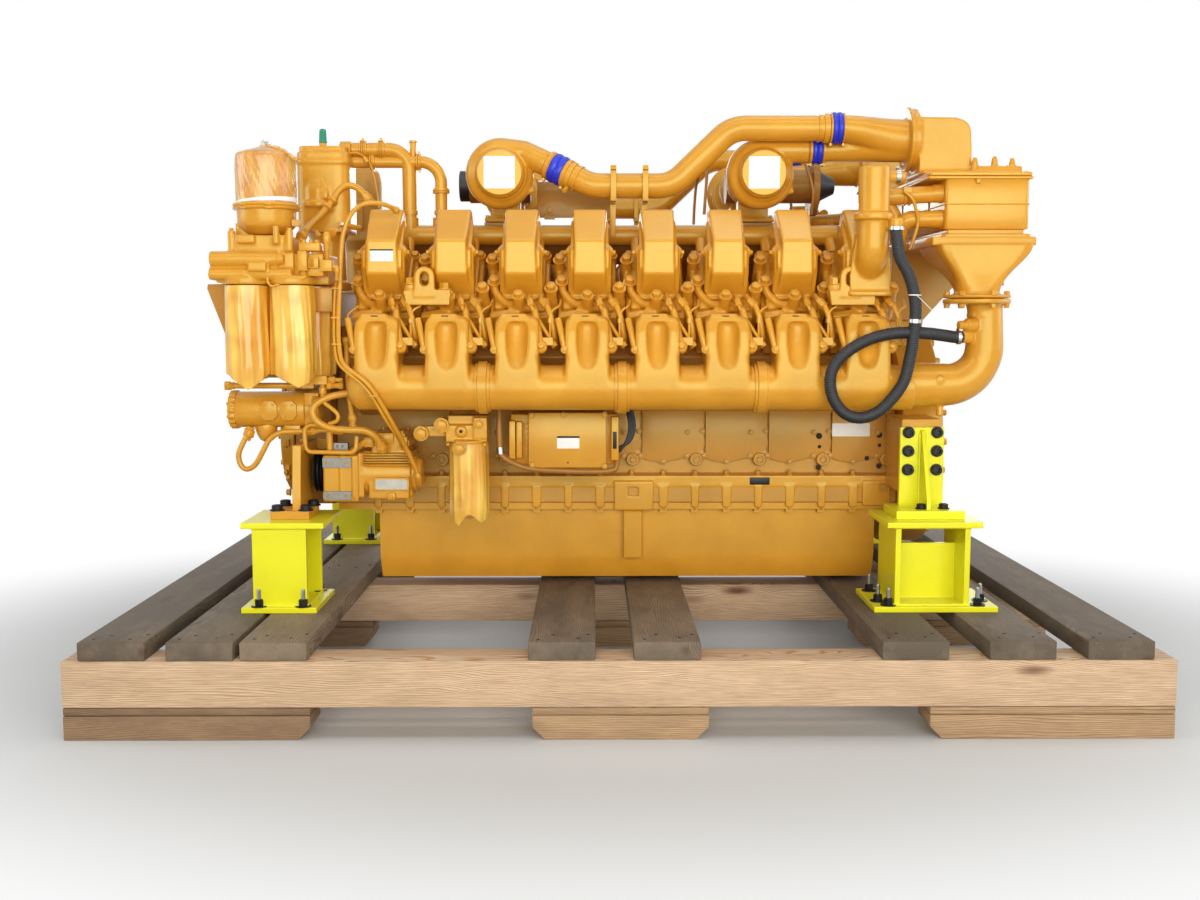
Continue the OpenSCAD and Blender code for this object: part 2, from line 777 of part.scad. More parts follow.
module charge_pipe() {
    sweep(rounded(long_run, 105, 4), charge_d, 20, unit(long_run[1] - long_run[0]), [1, 0, 0]);
    // strap brackets that hang the level run from the vee gallery
    for (x = [long_run[1][0] + 75, long_run[2][0] - 96]) {
        block([x - 12, -high_run_y - charge_d / 2 - 8, mid_run_z - charge_d / 2 - 8],
              [x + 12, -high_run_y + charge_d / 2 + 8, mid_run_z + charge_d / 2 + 8]);
        block([x - 12, -high_run_y + 20, gallery_z - 10],
              [x + 12, -gallery_y - gallery_d / 2 - clear, mid_run_z - charge_d / 2 - 8]);
    }
}

module charge_pipe_front() { color("orange") charge_pipe(); }
module charge_pipe_rear() { color("orange") mirror([0, 1, 0]) charge_pipe(); }

// Silicone sleeves between the compressors, the pipes and the cones.
module charge_couplings() {
    color("royalblue") both_sides() {
        bar(on_slope(coupling_from), on_slope(coupling_to), charge_d + 14);
        rod_x(cone_x - 54, cone_x, -high_run_y, high_run_z, charge_d + 20);
        rod_x(low_join_x - 60, low_join_x, -compressor_y, low_join_z, charge_d + 6);
    }
}

// ---------------------------------------------------------------- exhaust

module exhaust_manifold() {
    along = [row_x[0] - 60, row_x[7] + 60];
    difference() {
        union() {
            rod_x(along[0], along[1], -exhaust_y, exhaust_z, exhaust_d);
            front_bank() for (x = cyl_x) translate([x, 0, 0]) {
                translate([0, head_in, exhaust_s]) rotate([-90, 0, 0]) cylinder(d = 84,
                      h = exhaust_p - head_in);
                block([-62, head_in, deck_rise + 8], [62, head_in + 16, deck_rise + 112]);
            }
        }
        block([along[0], -exhaust_y + 60, crank_z], [along[1], exhaust_y, turbo_z]);
    }
    for (x = [turbo_left_x, turbo_right_x])
        block([x - 80, -turbine_y - 55, exhaust_z],
              [x + 80, -turbine_y + 45, exhaust_z + exhaust_d / 2 + foot_h]);
}

module exhaust_manifolds() {
    color("saddlebrown") both_sides() exhaust_manifold();
}

outlet_x = 800;
collector_d = 2 * (turbine_y - 66);

// A duct between each pair of turbines. The one at the flywheel end has the outlet flange.
module exhaust_collector() {
    color("saddlebrown")
        difference() {
            union() {
                rod_x(turbo_left_x - 150, turbo_left_x + 90, 0, turbo_z, collector_d);
                rod_x(turbo_right_x - 90, outlet_x, 0, turbo_z, collector_d);
                rod_x(outlet_x - 24, outlet_x, 0, turbo_z, outlet_pcd + 44);
                for (x = [turbo_left_x, turbo_right_x]) rod_y(66 - turbine_y, turbine_y - 66, x,
                      turbo_z, 126);
            }
            rod_x(outlet_x - 90, outlet_x + 1, 0, turbo_z, outlet_bore_d);
            for (a = [22.5:45:337.5])
                rotate_about_x(a, turbo_z)
                    rod_x(outlet_x - 25, outlet_x + 1, outlet_pcd / 2, turbo_z, outlet_hole_d);
        }
}

// Turns its children about the line along X at height z on the engine's centre.
module rotate_about_x(a, z) {
    translate([0, 0, z]) rotate([a, 0, 0]) translate([0, 0, -z]) children();
}

module exhaust_cap() {
    color("dimgray") {
        rod_x(outlet_x - 60, outlet_x, 0, turbo_z, outlet_bore_d - 1);
        rod_x(outlet_x, outlet_x + 12, 0, turbo_z, outlet_pcd - 34);
        translate([outlet_x + 12, 0, turbo_z]) rotate([0, 90, 0]) cylinder(d1 = 120, d2 = 60, h = 60);
        rod_x(turbo_left_x - 190, turbo_left_x - 150, 0, turbo_z, collector_d - 12);
    }
}

// ---------------------------------------------------------------- coolant pipes

gallery_s = deck_rise + 158;
gallery_p = 304;
gallery_y = (gallery_s - gallery_p) / root2;
gallery_z = crank_z + (gallery_s + gallery_p) / root2;
crossover_x = [row_x[0] + 73, row_x[0] + 190];
socket_top = gallery_z + 64;

module coolant_gallery() {
    rod_x(row_x[0] + 50, row_x[7] - 20, -gallery_y, gallery_z, gallery_d);
    front_bank() for (x = cyl_x)
        translate([x + (x < 0 ? 60 : -60), head_in, gallery_s]) rotate([-90, 0, 0])
            cylinder(d = 40, h = gallery_p - head_in);
}

module coolant_galleries() {
    color("peru") {
        both_sides() coolant_gallery();
        for (x = crossover_x) rod_z(gallery_z, socket_top, x, -gallery_y, crossover_d + 12);
    }
}

riser_x = row_x[7] + 51;
riser_y = 762;
riser_top = crank_z + 967;
riser_ring_z = crank_z + 806;
riser_outlet_z = riser_top - 88;
hose_start = HOSE[0];

module coolant_riser() {
    difference() {
        union() {
            rod_z(riser_ring_z, riser_top, riser_x, -riser_y, riser_d);
            rod_z(riser_ring_z - 14, riser_ring_z + 14, riser_x, -riser_y, riser_d + 28);
            rod_z(crank_z + 620, riser_ring_z - 14, riser_x, -riser_y, riser_d - 24);
            pipe([
                [riser_x, -riser_y, crank_z + 622], [riser_x, -riser_y, crank_z + 473],
                [riser_x, -riser_y + 140, crank_z + 473],
            ], 48, 60);
            rod_y(-riser_y, -riser_y + riser_outlet, riser_x, riser_outlet_z, 50);
        }
        front_bank() block([riser_x - 200, -deck_half_w - 5, 0], [riser_x + 200, head_in, head_top]);
    }
}

riser_outlet = 78;
cooler_pipe_y = riser_y - 202;
fork_x = cooler_x - 90;

module coolant_risers() {
    color("orange") {
        coolant_riser();
        rod_z(hose_start[2], hose_start[2] + 40, hose_start[0], hose_start[1], hose_d + 10);
        bar([riser_x, -riser_y, hose_start[2] + 22],
            [hose_start[0], hose_start[1], hose_start[2] + 22], 34);
        mirror([0, 1, 0]) coolant_riser();
    }
}

// Pipes from the risers to the cooler's water side. Each forks in two at the cooler.
module cooler_coolant_pipe() {
    z = riser_outlet_z;
    low_z = core_z + 26;
    pipe([
        [riser_x, -riser_y + riser_outlet, z], [riser_x, -cooler_pipe_y, z],
        [cooler_x, -cooler_pipe_y, z],
    ], 50, 60);
    rod_z(low_z - 25, z, fork_x, -cooler_pipe_y, 50);
    rod_x(fork_x, cooler_x, -cooler_pipe_y, low_z, 50);
}

module cooler_coolant_pipes() {
    color("orange") both_sides() cooler_coolant_pipe();
}

thermostat_x = case_x0 - 13;
thermostat_y = gallery_y;
case_front_x0 = case_x0 - gear_case_t;
gear_top = crank_z + 560;
thermostat_top = gear_top + 530;

// One stands over each bank's end of the gear case. Only the front one has a vent on top.
module thermostat_body() {
    translate([thermostat_x, -thermostat_y, 0]) {
        rod_z(gear_top, gear_top + 30, 0, 0, thermostat_d - 30);
        rod_z(gear_top + 30, gear_top + 220, 0, 0, thermostat_d - 70);
        rod_z(gear_top + 220, thermostat_top - 10, 0, 0, thermostat_d);
        translate([0, 0, thermostat_top - 10])
            cylinder(d1 = thermostat_d, d2 = thermostat_d - 20, h = 10);
    }
}

module thermostat_housing() {
    color("orange") {
        thermostat_body();
        rod_z(thermostat_top, thermostat_top + 54, thermostat_x - 6, -thermostat_y - 25, 30);
    }
}

module thermostat_housing_rear() {
    color("orange") mirror([0, 1, 0]) thermostat_body();
}

crossover_z = [thermostat_top - 12, thermostat_top - 56];

// Pipes from the thermostat housing across to the coolant gallery's sockets.
module coolant_crossover_pipes() {
    x0 = thermostat_x + thermostat_d / 2 + clear;
    color("orange")
        for (i = [0, 1])
            pipe([
                [x0, -gallery_y, crossover_z[i]],
                [crossover_x[i], -gallery_y, crossover_z[i]],
                [crossover_x[i], -gallery_y, socket_top],
            ], crossover_d - 8 * i, 60);
}

// ---------------------------------------------------------------- free end

module gear_case() {
    color("orange") {
        along_x(case_front_x0, case_x0)
            polygon([
                [-rail_half_w, rail_bottom], [rail_half_w, rail_bottom],
                [gear_half_w, rail_bottom + 60], [gear_half_w, gear_top - 120],
                [gear_half_w - 90, gear_top], [90 - gear_half_w, gear_top],
                [-gear_half_w, gear_top - 120], [-gear_half_w, rail_bottom + 60],
            ]);
        along_x(case_front_x0 - 40, case_front_x0)
            polygon([
                [-300, crank_z - 180], [300, crank_z - 180], [300, crank_z + 330],
                [180, crank_z + 450], [-180, crank_z + 450], [-300, crank_z + 330],
            ]);
    }
}

module crank_damper() {
    x1 = case_front_x0 - 40;
    color("darkorange") {
        rod_x(x1 - 20, x1, 0, crank_z, 180);
        rod_x(x1 - 75, x1 - 20, 0, crank_z, damper_d);
        rod_x(x1 - 90, x1 - 75, 0, crank_z, 220);
    }
}

filter_x = [stand_left_x - 98, stand_left_x + 56, stand_left_x + 95];
filter_y = [750, 750, 600];
filter_head_z = crank_z + 571;
filter_head_h = 169;
head_block_x = [stand_left_x - 212, stand_left_x + 78];

module oil_filter_head() {
    color("orange") {
        block([head_block_x[0], -835, filter_head_z], [head_block_x[1], -540, filter_head_z + 110]);
        block([head_block_x[0] + 68, -820, filter_head_z + 110],
              [head_block_x[1], -540, filter_head_z + filter_head_h]);
        block([stand_left_x + 20, -700, filter_head_z], [stand_left_x + 175, -530, filter_head_z + 110]);
        block([stand_left_x - 10, -545, filter_head_z + 10],
              [stand_left_x + 120, -gear_half_w - 8, filter_head_z + 110]);
        block([stand_left_x - 10, -gear_half_w - 40, gear_top - 240],
              [stand_left_x + 105, -gear_half_w - clear, filter_head_z + 60]);
    }
}

module oil_filters() {
    color("khaki")
        for (i = [0:2])
            translate([filter_x[i], -filter_y[i], filter_head_z - oil_filter_l]) {
                cylinder(d = oil_filter_d, h = oil_filter_l);
                translate([0, 0, -24]) cylinder(d1 = 60, d2 = oil_filter_d - 10, h = 24);
            }
}

centrifuge_z = filter_head_z + filter_head_h;

module centrifugal_filter() {
    color("khaki") translate([stand_left_x - 35, -705, centrifuge_z]) {
        cylinder(d = 120, h = 80);
        translate([0, 0, 80]) cylinder(d = centrifuge_d + 30, h = 20);
        translate([0, 0, 100]) cylinder(d = centrifuge_d, h = 184);
        translate([0, 0, 284]) cylinder(d1 = centrifuge_d - 10, d2 = 40, h = 36);
    }
}

// The high pressure fuel pump beside the gear case, with its flat-sided barrel.
module fuel_pump() {
    y = 600;
    z = crank_z + 135;
    color("orange") {
        rod_x(stand_left_x - 204, stand_left_x - 171, -y, z, 138);
        rod_x(stand_left_x - 171, stand_left_x + 100, -y, z, 116);
        for (x = [stand_left_x - 96, stand_left_x - 26])
            translate([x, -y, z]) rotate([0, 90, 0]) cylinder(d = 150, h = 44, $fn = 8);
        rod_x(stand_left_x + 60, stand_left_x + 118, -y, z, 140);
        block([stand_left_x + 8, -y + 20, z - 50], [stand_left_x + 96, -gear_half_w, z + 50]);
        rod_z(z - 90, z - 50, stand_left_x - 60, -y, 60);
    }
}

pulley_x = case_x0 - 30;
compressor_z = crank_z - 88;
compressor_drive_y = 560;

module air_compressor() {
    x0 = pulley_x + 35;
    color("orange") {
        rod_x(x0, x0 + 30, -compressor_drive_y, compressor_z, 60);
        block([x0 + 30, -compressor_drive_y - 75, compressor_z - 92],
              [x0 + 180, -rail_half_w - 12, compressor_z + 60]);
        block([x0 + 180, -compressor_drive_y - 60, compressor_z - 110],
              [x0 + 320, -rail_half_w - 12, compressor_z + 30]);
        for (i = [0:5])
            rod_z(compressor_z + 60 + 14 * i, compressor_z + 67 + 14 * i, x0 + 105,
                  -compressor_drive_y + 30, 128);
        rod_z(compressor_z + 50, compressor_z + 140, x0 + 105, -compressor_drive_y + 30, 100);
        block([x0 + 40, -rail_half_w - 14, compressor_z - 92], [x0 + 170, -rail_half_w, rail_top - 4]);
    }
}

module compressor_pulley() {
    color("black") translate([pulley_x, -compressor_drive_y, compressor_z]) rotate([0, 90, 0]) {
        cylinder(d = 157, h = 6);
        translate([0, 0, 6]) cylinder(d1 = 148, d2 = 136, h = 7);
        translate([0, 0, 13]) cylinder(d1 = 136, d2 = 148, h = 7);
        translate([0, 0, 20]) cylinder(d = 157, h = 6);
        translate([0, 0, 26]) cylinder(d = 70, h = 9);
    }
}

fuel_filter_x = row_x[1] + 77;
fuel_filter_z = crank_z + 28;
fuel_filter_y = 610;

module fuel_filter_head() {
    color("orange") {
        block([fuel_filter_x - 77, -fuel_filter_y - 75, fuel_filter_z],
              [fuel_filter_x + 77, -fuel_filter_y + 70, fuel_filter_z + 90]);
        block([fuel_filter_x - 40, -fuel_filter_y + 70, fuel_filter_z + 20],
              [fuel_filter_x + 40, -case_half_w - 14, fuel_filter_z + 62]);
    }
}

module fuel_filter() {
    color("khaki") translate([fuel_filter_x, -fuel_filter_y, fuel_filter_z]) mirror([0, 0, 1]) {
        cylinder(d = 134, h = 260);
        translate([0, 0, 260]) cylinder(d1 = 120, d2 = 50, h = 24);
    }
}

ecu_x0 = -391;
ecu_l = 399;
ecu_h = 196;

module engine_control_unit() {
    z = crank_z - 79;
    color("orange") {
        block([ecu_x0, -560, z], [ecu_x0 + ecu_l, -470, z + ecu_h]);
        block([ecu_x0 + 8, -585, z + 20], [ecu_x0 + 70, -560, z + ecu_h - 16]);
        block([ecu_x0 + ecu_l - 30, -578, z + 10], [ecu_x0 + ecu_l - 4, -560, z + ecu_h - 10]);
        for (x = [ecu_x0 + 50, ecu_x0 + ecu_l - 90])
            block([x, -470, z + 30], [x + 40, -case_half_w - 14 - clear, z + 70]);
    }
}

// ---------------------------------------------------------------- flywheel end

module flywheel_housing() {
    foot_x = stand_right_x;
    color("orange")
        difference() {
            union() {
                rod_x(case_x1, housing_x1, 0, crank_z, housing_d);
                both_sides()
                    block([foot_x - 70, -boss_y, crank_z - 170],
                          [foot_x + 70, -rail_half_w, crank_z + 100]);
                block([case_x1, -180, crank_z + 300], [housing_x1 - 20, 180, crank_z + housing_d / 2 + 10]);
                block([case_x1, -300, rail_bottom - 40], [housing_x1 - 30, 300, crank_z]);
            }
            rod_x(case_x1 + 20, housing_x1 + 1, 0, crank_z, housing_bore_d);
        }
}

module flywheel() {
    x1 = housing_x1 - 15;
    color("dimgray")
        difference() {
            union() {
                rod_x(case_x1 + 20, x1 - flywheel_t, 0, crank_z, 240);
                rod_x(x1 - flywheel_t, x1, 0, crank_z, flywheel_d);
            }
            rod_x(x1 - flywheel_t + 10, x1 + 1, 0, crank_z, pilot_d);
            for (a = [0:45:315])
                rotate_about_x(a, crank_z)
                    rod_x(x1 - flywheel_t + 20, x1 + 1, coupling_pcd / 2, crank_z, coupling_hole_d);
        }
}

// ---------------------------------------------------------------- vent hose

// A point on the smooth curve through the hose's points, between points i and i + 1.
function hose_curve(i, t) =
    let (last = len(HOSE) - 1,
         a = HOSE[max(i - 1, 0)], b = HOSE[i], c = HOSE[min(i + 1, last)], d = HOSE[min(i + 2, last)])
    0.5 * (2 * b + (c - a) * t + (2 * a - 5 * b + 4 * c - d) * t * t
           + (3 * b - a - 3 * c + d) * t * t * t);

hose_path = [
    for (i = [0:len(HOSE) - 2]) for (t = [0, 0.5]) hose_curve(i, t),
    HOSE[len(HOSE) - 1],
];

module vent_hose() {
    color("black") sweep(hose_path, hose_d, 10, [0, 0, -1], [1, 0, 0]);
}

// ---------------------------------------------------------------- nodes

skid_runners();
skid_beams();
skid_deck_boards();
stand_front_left();
stand_front_right();
stand_rear_left();
stand_rear_right();
foot_brackets_right();
engine_feet_left();
oil_pan();
crankcase();
crankcase_covers_front();
crankcase_covers_rear();
cylinder_heads_front();
cylinder_heads_rear();
rocker_covers_front();
rocker_covers_rear();
lifting_eyes();
intake_manifold_front();
intake_manifold_rear();
intake_risers();
cooler_funnels();
charge_cooler();
cooler_support();
inlet_plenum_front();
inlet_plenum_rear();
turbocharger_front_left();
turbocharger_front_right();
turbocharger_rear_left();
turbocharger_rear_right();
charge_pipe_front();
charge_pipe_rear();
charge_couplings();
exhaust_manifolds();
exhaust_collector();
exhaust_cap();
coolant_galleries();
coolant_risers();
cooler_coolant_pipes();
thermostat_housing();
thermostat_housing_rear();
coolant_crossover_pipes();
gear_case();
crank_damper();
flywheel_housing();
flywheel();
oil_filter_head();
oil_filters();
centrifugal_filter();
fuel_pump();
air_compressor();
compressor_pulley();
fuel_filter_head();
fuel_filter();
engine_control_unit();
vent_hose();
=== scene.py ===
# %% [markdown]
# # A sixteen cylinder diesel engine, dressed around its CAD frame
# The frame holds every casting, pipe and plank at its real size. This lesson gives them
# their finish: cast and pressed shapes with soft edges, bolts, hoses, packing film, and
# timber. One bank is modelled and the other is its mirror, as a foundry would make them.

# %% Load the frame
import math
import random

import bmesh
import bpy
from mathutils import Matrix, Vector


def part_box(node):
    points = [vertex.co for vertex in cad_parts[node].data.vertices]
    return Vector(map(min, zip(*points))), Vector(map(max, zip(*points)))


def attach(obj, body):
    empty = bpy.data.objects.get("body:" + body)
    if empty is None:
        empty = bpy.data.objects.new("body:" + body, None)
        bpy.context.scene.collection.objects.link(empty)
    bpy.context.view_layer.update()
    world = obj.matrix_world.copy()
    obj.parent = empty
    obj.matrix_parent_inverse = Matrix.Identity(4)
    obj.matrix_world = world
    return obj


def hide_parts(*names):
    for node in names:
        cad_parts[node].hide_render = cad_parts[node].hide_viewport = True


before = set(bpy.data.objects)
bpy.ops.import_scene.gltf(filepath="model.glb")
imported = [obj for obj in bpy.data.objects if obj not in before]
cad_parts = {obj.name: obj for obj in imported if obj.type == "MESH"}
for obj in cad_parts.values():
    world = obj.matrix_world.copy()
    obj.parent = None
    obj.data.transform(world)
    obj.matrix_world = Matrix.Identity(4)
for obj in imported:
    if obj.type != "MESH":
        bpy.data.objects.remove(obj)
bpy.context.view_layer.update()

MM = 0.001

# %% [markdown]
# ## Camera
# A person stands about four metres from the skid and holds the camera at chest height,
# tipped down by six degrees. A 38 mm lens takes in the whole skid.

# %% Camera
camera_data = bpy.data.cameras.new("camera")
camera_data.lens = 37.68
camera_data.sensor_width = 36.0
camera = bpy.data.objects.new("camera", camera_data)
camera.location = (-0.09, -5.08, 1.325)
camera.rotation_euler = (math.radians(84.05), 0.0, math.radians(-0.365))
bpy.context.scene.collection.objects.link(camera)
bpy.context.scene.camera = camera
print("lens", camera_data.lens, "mm, eye", round(camera.location.z, 3), "m above the floor")

# %% [markdown]
# ## Small tools
# A material is a tree of shader nodes. These short functions each add one node and give back its
# output, so that a finish reads almost like a sum.

# %% Tools for nodes and colours
def linear(hex_colour):
    """An sRGB hex colour as the linear RGBA that shaders use."""
    channels = [int(hex_colour[i:i + 2], 16) / 255 for i in (1, 3, 5)]
    return [c / 12.92 if c <= 0.04045 else ((c + 0.055) / 1.055) ** 2.4 for c in channels] + [1.0]


def set_inputs(tree, node, inputs):
    """Each value is either a constant or another node's output socket."""
    for name, value in inputs.items():
        if isinstance(value, bpy.types.NodeSocket):
            tree.links.new(value, node.inputs[name])
        else:
            node.inputs[name].default_value = value


def add_node(tree, kind, inputs=None, **settings):
    """Adds a node with its settings and inputs."""
    node = tree.nodes.new(kind)
    for name, value in settings.items():
        setattr(node, name, value)
    set_inputs(tree, node, inputs or {})
    return node


def maths(tree, operation, *values):
    """A Math node on numbers or sockets."""
    return add_node(tree, "ShaderNodeMath", dict(enumerate(values)), operation=operation).outputs[0]


def stretched(tree, vector, factors):
    """A vector with each of its parts multiplied."""
    return add_node(tree, "ShaderNodeVectorMath", {0: vector, 1: factors}, operation="MULTIPLY").outputs[0]


def noise_field(tree, vector, scale, detail=2.0, **more):
    """The grey value of a noise texture."""
    inputs = {"Vector": vector, "Scale": scale, "Detail": detail, **more}
    return add_node(tree, "ShaderNodeTexNoise", inputs).outputs["Fac"]


def remap(tree, value, low, high, to_low=0.0, to_high=1.0, ease="LINEAR"):
    """A value carried from one range to another."""
    inputs = {"Value": value, "From Min": low, "From Max": high, "To Min": to_low, "To Max": to_high}
    return add_node(tree, "ShaderNodeMapRange", inputs, interpolation_type=ease).outputs["Result"]


def blend(tree, factor, *colours):
    """Two colours mixed, each a hex colour or a socket."""
    first, second = [linear(c) if isinstance(c, str) else c for c in colours]
    inputs = {"Factor": factor, 6: first, 7: second}
    return add_node(tree, "ShaderNodeMix", inputs, data_type="RGBA").outputs[2]


def bump(tree, height, strength, distance, **under):
    """A bumped normal. under may give it the normal of a first bump."""
    inputs = {"Height": height, "Strength": strength, "Distance": distance, **under}
    return add_node(tree, "ShaderNodeBump", inputs).outputs["Normal"]


def new_material(name):
    """A new material, its tree, its shader and the object's own coordinates."""
    material = bpy.data.materials.new(name)
    material.use_nodes = True
    tree = material.node_tree
    return material, tree, tree.nodes["Principled BSDF"], add_node(tree, "ShaderNodeTexCoord").outputs["Object"]


print("middle grey in linear light:", round(linear("#808080")[0], 3))

# %% [markdown]
# Most pieces start as a *bmesh*, a mesh that code can edit. `finish_piece` turns one into an
# object that rides on the engine's only body. A name that ends in _dressed stands for the CAD
# node of that name.

# %% Tools for pieces
def as_mesh(shape):
    """A mesh from a bmesh, which is used up. A mesh stays as it is."""
    if isinstance(shape, bpy.types.Mesh):
        return shape
    mesh = bpy.data.meshes.new("shape")
    shape.to_mesh(mesh)
    shape.free()
    return mesh


def finish_piece(name, shape, material=None, slot="engine_enamel", smooth=35, flat=False):
    """Makes a shape an object of the engine. flat keeps wide faces level beside a bevel."""
    mesh = as_mesh(shape)
    mesh.name = name
    mesh.materials.clear()
    mesh.materials.append(material or AMBER)
    mesh.shade_smooth()
    mesh.set_sharp_from_angle(angle=math.radians(smooth))
    if flat:
        mesh = with_modifiers(mesh, ("WEIGHTED_NORMAL", {"keep_sharp": True, "weight": 90}))
    piece = bpy.data.objects.new(name, mesh)
    bpy.context.scene.collection.objects.link(piece)
    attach(piece, "root")
    if name.endswith("_dressed"):
        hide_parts(name.removesuffix("_dressed"))
    return piece


def finish_pair(name, shape, *more, **settings):
    """One object of a shape and its mirror image on the other side of the engine."""
    mesh = as_mesh(shape)
    return finish_piece(name, joined(mesh, mirrored(mesh)), *more, **settings)


def finish_sides(name, shape, *more, **settings):
    """Two objects: the front one, and its mirror image as the rear one."""
    mesh = as_mesh(shape)
    rear = mirrored(mesh)
    finish_piece(name.format("front"), mesh, *more, **settings)
    finish_piece(name.format("rear"), rear, *more, **settings)


def with_modifiers(mesh, *modifiers):
    """Applies modifiers, each (type, settings), to a mesh and returns the new mesh."""
    worker = bpy.data.objects.new("worker", mesh)
    bpy.context.scene.collection.objects.link(worker)
    for kind, settings in modifiers:
        modifier = worker.modifiers.new(kind.lower(), kind)
        for key, value in settings.items():
            setattr(modifier, key, value)
    graph = bpy.context.evaluated_depsgraph_get()
    result = bpy.data.meshes.new_from_object(worker.evaluated_get(graph))
    bpy.data.objects.remove(worker)
    return result


def bevelled(shape, width, segments=2, angle=32):
    """A mesh with its sharp edges rounded."""
    return with_modifiers(as_mesh(shape), ("BEVEL", {
        "width": width, "segments": segments, "limit_method": "ANGLE", "angle_limit": math.radians(angle),
        "use_clamp_overlap": True, "miter_outer": "MITER_ARC", }))


def cad_mesh(node):
    """A copy of a CAD node's mesh with its loose triangles joined into whole faces."""
    bm = bmesh.new()
    bm.from_mesh(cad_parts[node].data)
    bmesh.ops.remove_doubles(bm, verts=bm.verts, dist=2e-5)
    bmesh.ops.dissolve_limit(bm, angle_limit=math.radians(0.7), verts=bm.verts, edges=bm.edges)
    return as_mesh(bm)


def softened(node, material, slot, width=0.004, segments=2):
    """Stands in for a CAD node with the same shape and rounded edges."""
    mesh = bevelled(cad_mesh(node), width, segments)
    return finish_piece(node + "_dressed", mesh, material, slot, flat=True)


def mirrored(mesh):
    """The same mesh on the other side of the engine."""
    bm = bmesh.new()
    bm.from_mesh(mesh)
    for v in bm.verts:
        v.co.y = -v.co.y
    bmesh.ops.reverse_faces(bm, faces=bm.faces)
    return as_mesh(bm)


def joined(*meshes):
    """Several meshes as one bmesh."""
    bm = bmesh.new()
    for mesh in meshes:
        bm.from_mesh(mesh)
    return bm


# %% [markdown]
# Shapes are drawn with a handful of strokes: a box, a turned shape, a round bar, an extruded
# outline, and a tube along a path. All but the box are rings of vertices with faces between.

# %% Tools for shapes
def skin(bm, rings, caps=True):
    """Faces from each ring of vertices to the next, with a cap on either end."""
    count = len(rings[0])
    for near, far in zip(rings, rings[1:]):
        for k in range(count):
            m = (k + 1) % count
            bm.faces.new((near[k], near[m], far[m], far[k]))
    if caps:
        bm.faces.new(list(reversed(rings[0])))
        bm.faces.new(rings[-1])


def add_box(bm, low, high):
    """A box between two corners."""
    made = bmesh.ops.create_cube(bm, size=1.0)
    low, high = Vector(low), Vector(high)
    for v in made["verts"]:
        v.co = Vector([(low[i] + high[i]) / 2 + v.co[i] * (high[i] - low[i]) for i in range(3)])


def add_boxes(bm, *boxes):
    """Boxes, each from the six numbers of its two corners."""
    for box in boxes:
        add_box(bm, box[:3], box[3:])


def frame_along(direction):
    """A matrix whose Z axis points along direction."""
    return Vector(direction).to_track_quat("Z", "Y").to_matrix().to_4x4()


def add_lathe(bm, start, direction, profile, sides=32):
    """A turned shape: profile holds (distance along, radius) pairs from start along direction."""
    place = Matrix.Translation(Vector(start)) @ frame_along(direction)
    turns = [2 * math.pi * k / sides for k in range(sides)]
    skin(bm, [[bm.verts.new(place @ Vector((radius * math.cos(a), radius * math.sin(a), along))) for a in turns]
              for along, radius in profile])


def add_rod(bm, start, end, radius, sides=24):
    """A round bar between two points."""
    start, end = Vector(start), Vector(end)
    add_lathe(bm, start, end - start, [(0, radius), ((end - start).length, radius)], sides)


def add_rods(bm, *rods):
    """Round bars, each from the six numbers of its ends, a radius and maybe a number of sides."""
    for rod in rods:
        add_rod(bm, rod[:3], rod[3:6], *rod[6:])


def add_prism(bm, outline, place, depth):
    """An outline of (x, y) points, extruded by depth along its own Z, and set in place by a matrix."""
    near = [bm.verts.new(place @ Vector((x, y, 0.0))) for x, y in outline]
    far = [bm.verts.new(place @ Vector((x, y, depth))) for x, y in outline]
    skin(bm, [near, far])


def smooth_path(points, steps=6):
    """A smooth curve through points (Catmull-Rom), as a denser list of points."""
    points = [Vector(p) for p in points]
    path = []
    last = len(points) - 1
    for i in range(last):
        a, b, c, d = points[max(i - 1, 0)], points[i], points[i + 1], points[min(i + 2, last)]
        for k in range(steps):
            t = k / steps
            path.append(0.5 * (2 * b + (c - a) * t + (2 * a - 5 * b + 4 * c - d) * t * t
                               + (3 * b - a - 3 * c + d) * t ** 3))
    path.append(points[-1])
    return path


def rounded_path(points, radius, steps=6):
    """Straight runs between points, with each corner rounded to an arc."""
    points = [Vector(p) for p in points]
    path = [points[0]]
    for a, b, c in zip(points, points[1:], points[2:]):
        into, out = (b - a).normalized(), (c - b).normalized()
        turn = into.angle(out, 0.0)
        if turn < 0.01:
            path.append(b)
            continue
        r = min(radius, 0.49 * min((b - a).length, (c - b).length) / math.tan(turn / 2))
        start = b - into * (r * math.tan(turn / 2))
        side = (out - into * into.dot(out)).normalized()
        for k in range(steps + 1):
            t = turn * k / steps
            path.append(start + side * (r - r * math.cos(t)) + into * (r * math.sin(t)))
    path.append(points[-1])
    return path


def add_tube(bm, path, radius, sides=12, radii=None):
    """A round tube along a path, without twist. radii may give each point its own radius."""
    path = [Vector(p) for p in path]
    last = len(path) - 1
    headings = [(path[min(i + 1, last)] - path[max(i - 1, 0)]).normalized() for i in range(last + 1)]
    side = headings[0].orthogonal().normalized()
    rings = []
    for i, (point, heading) in enumerate(zip(path, headings)):
        side = (side - heading * side.dot(heading)).normalized()
        other = heading.cross(side)
        r = radii[i] if radii else radius
        turns = [2 * math.pi * k / sides for k in range(sides)]
        rings.append([bm.verts.new(point + r * (math.cos(a) * side + math.sin(a) * other)) for a in turns])
    skin(bm, rings)


sample = bmesh.new()
add_rods(sample, (0, 0, 0, 0, 0, 1, 0.1))
print("a bar has", len(sample.faces), "faces")
sample.free()
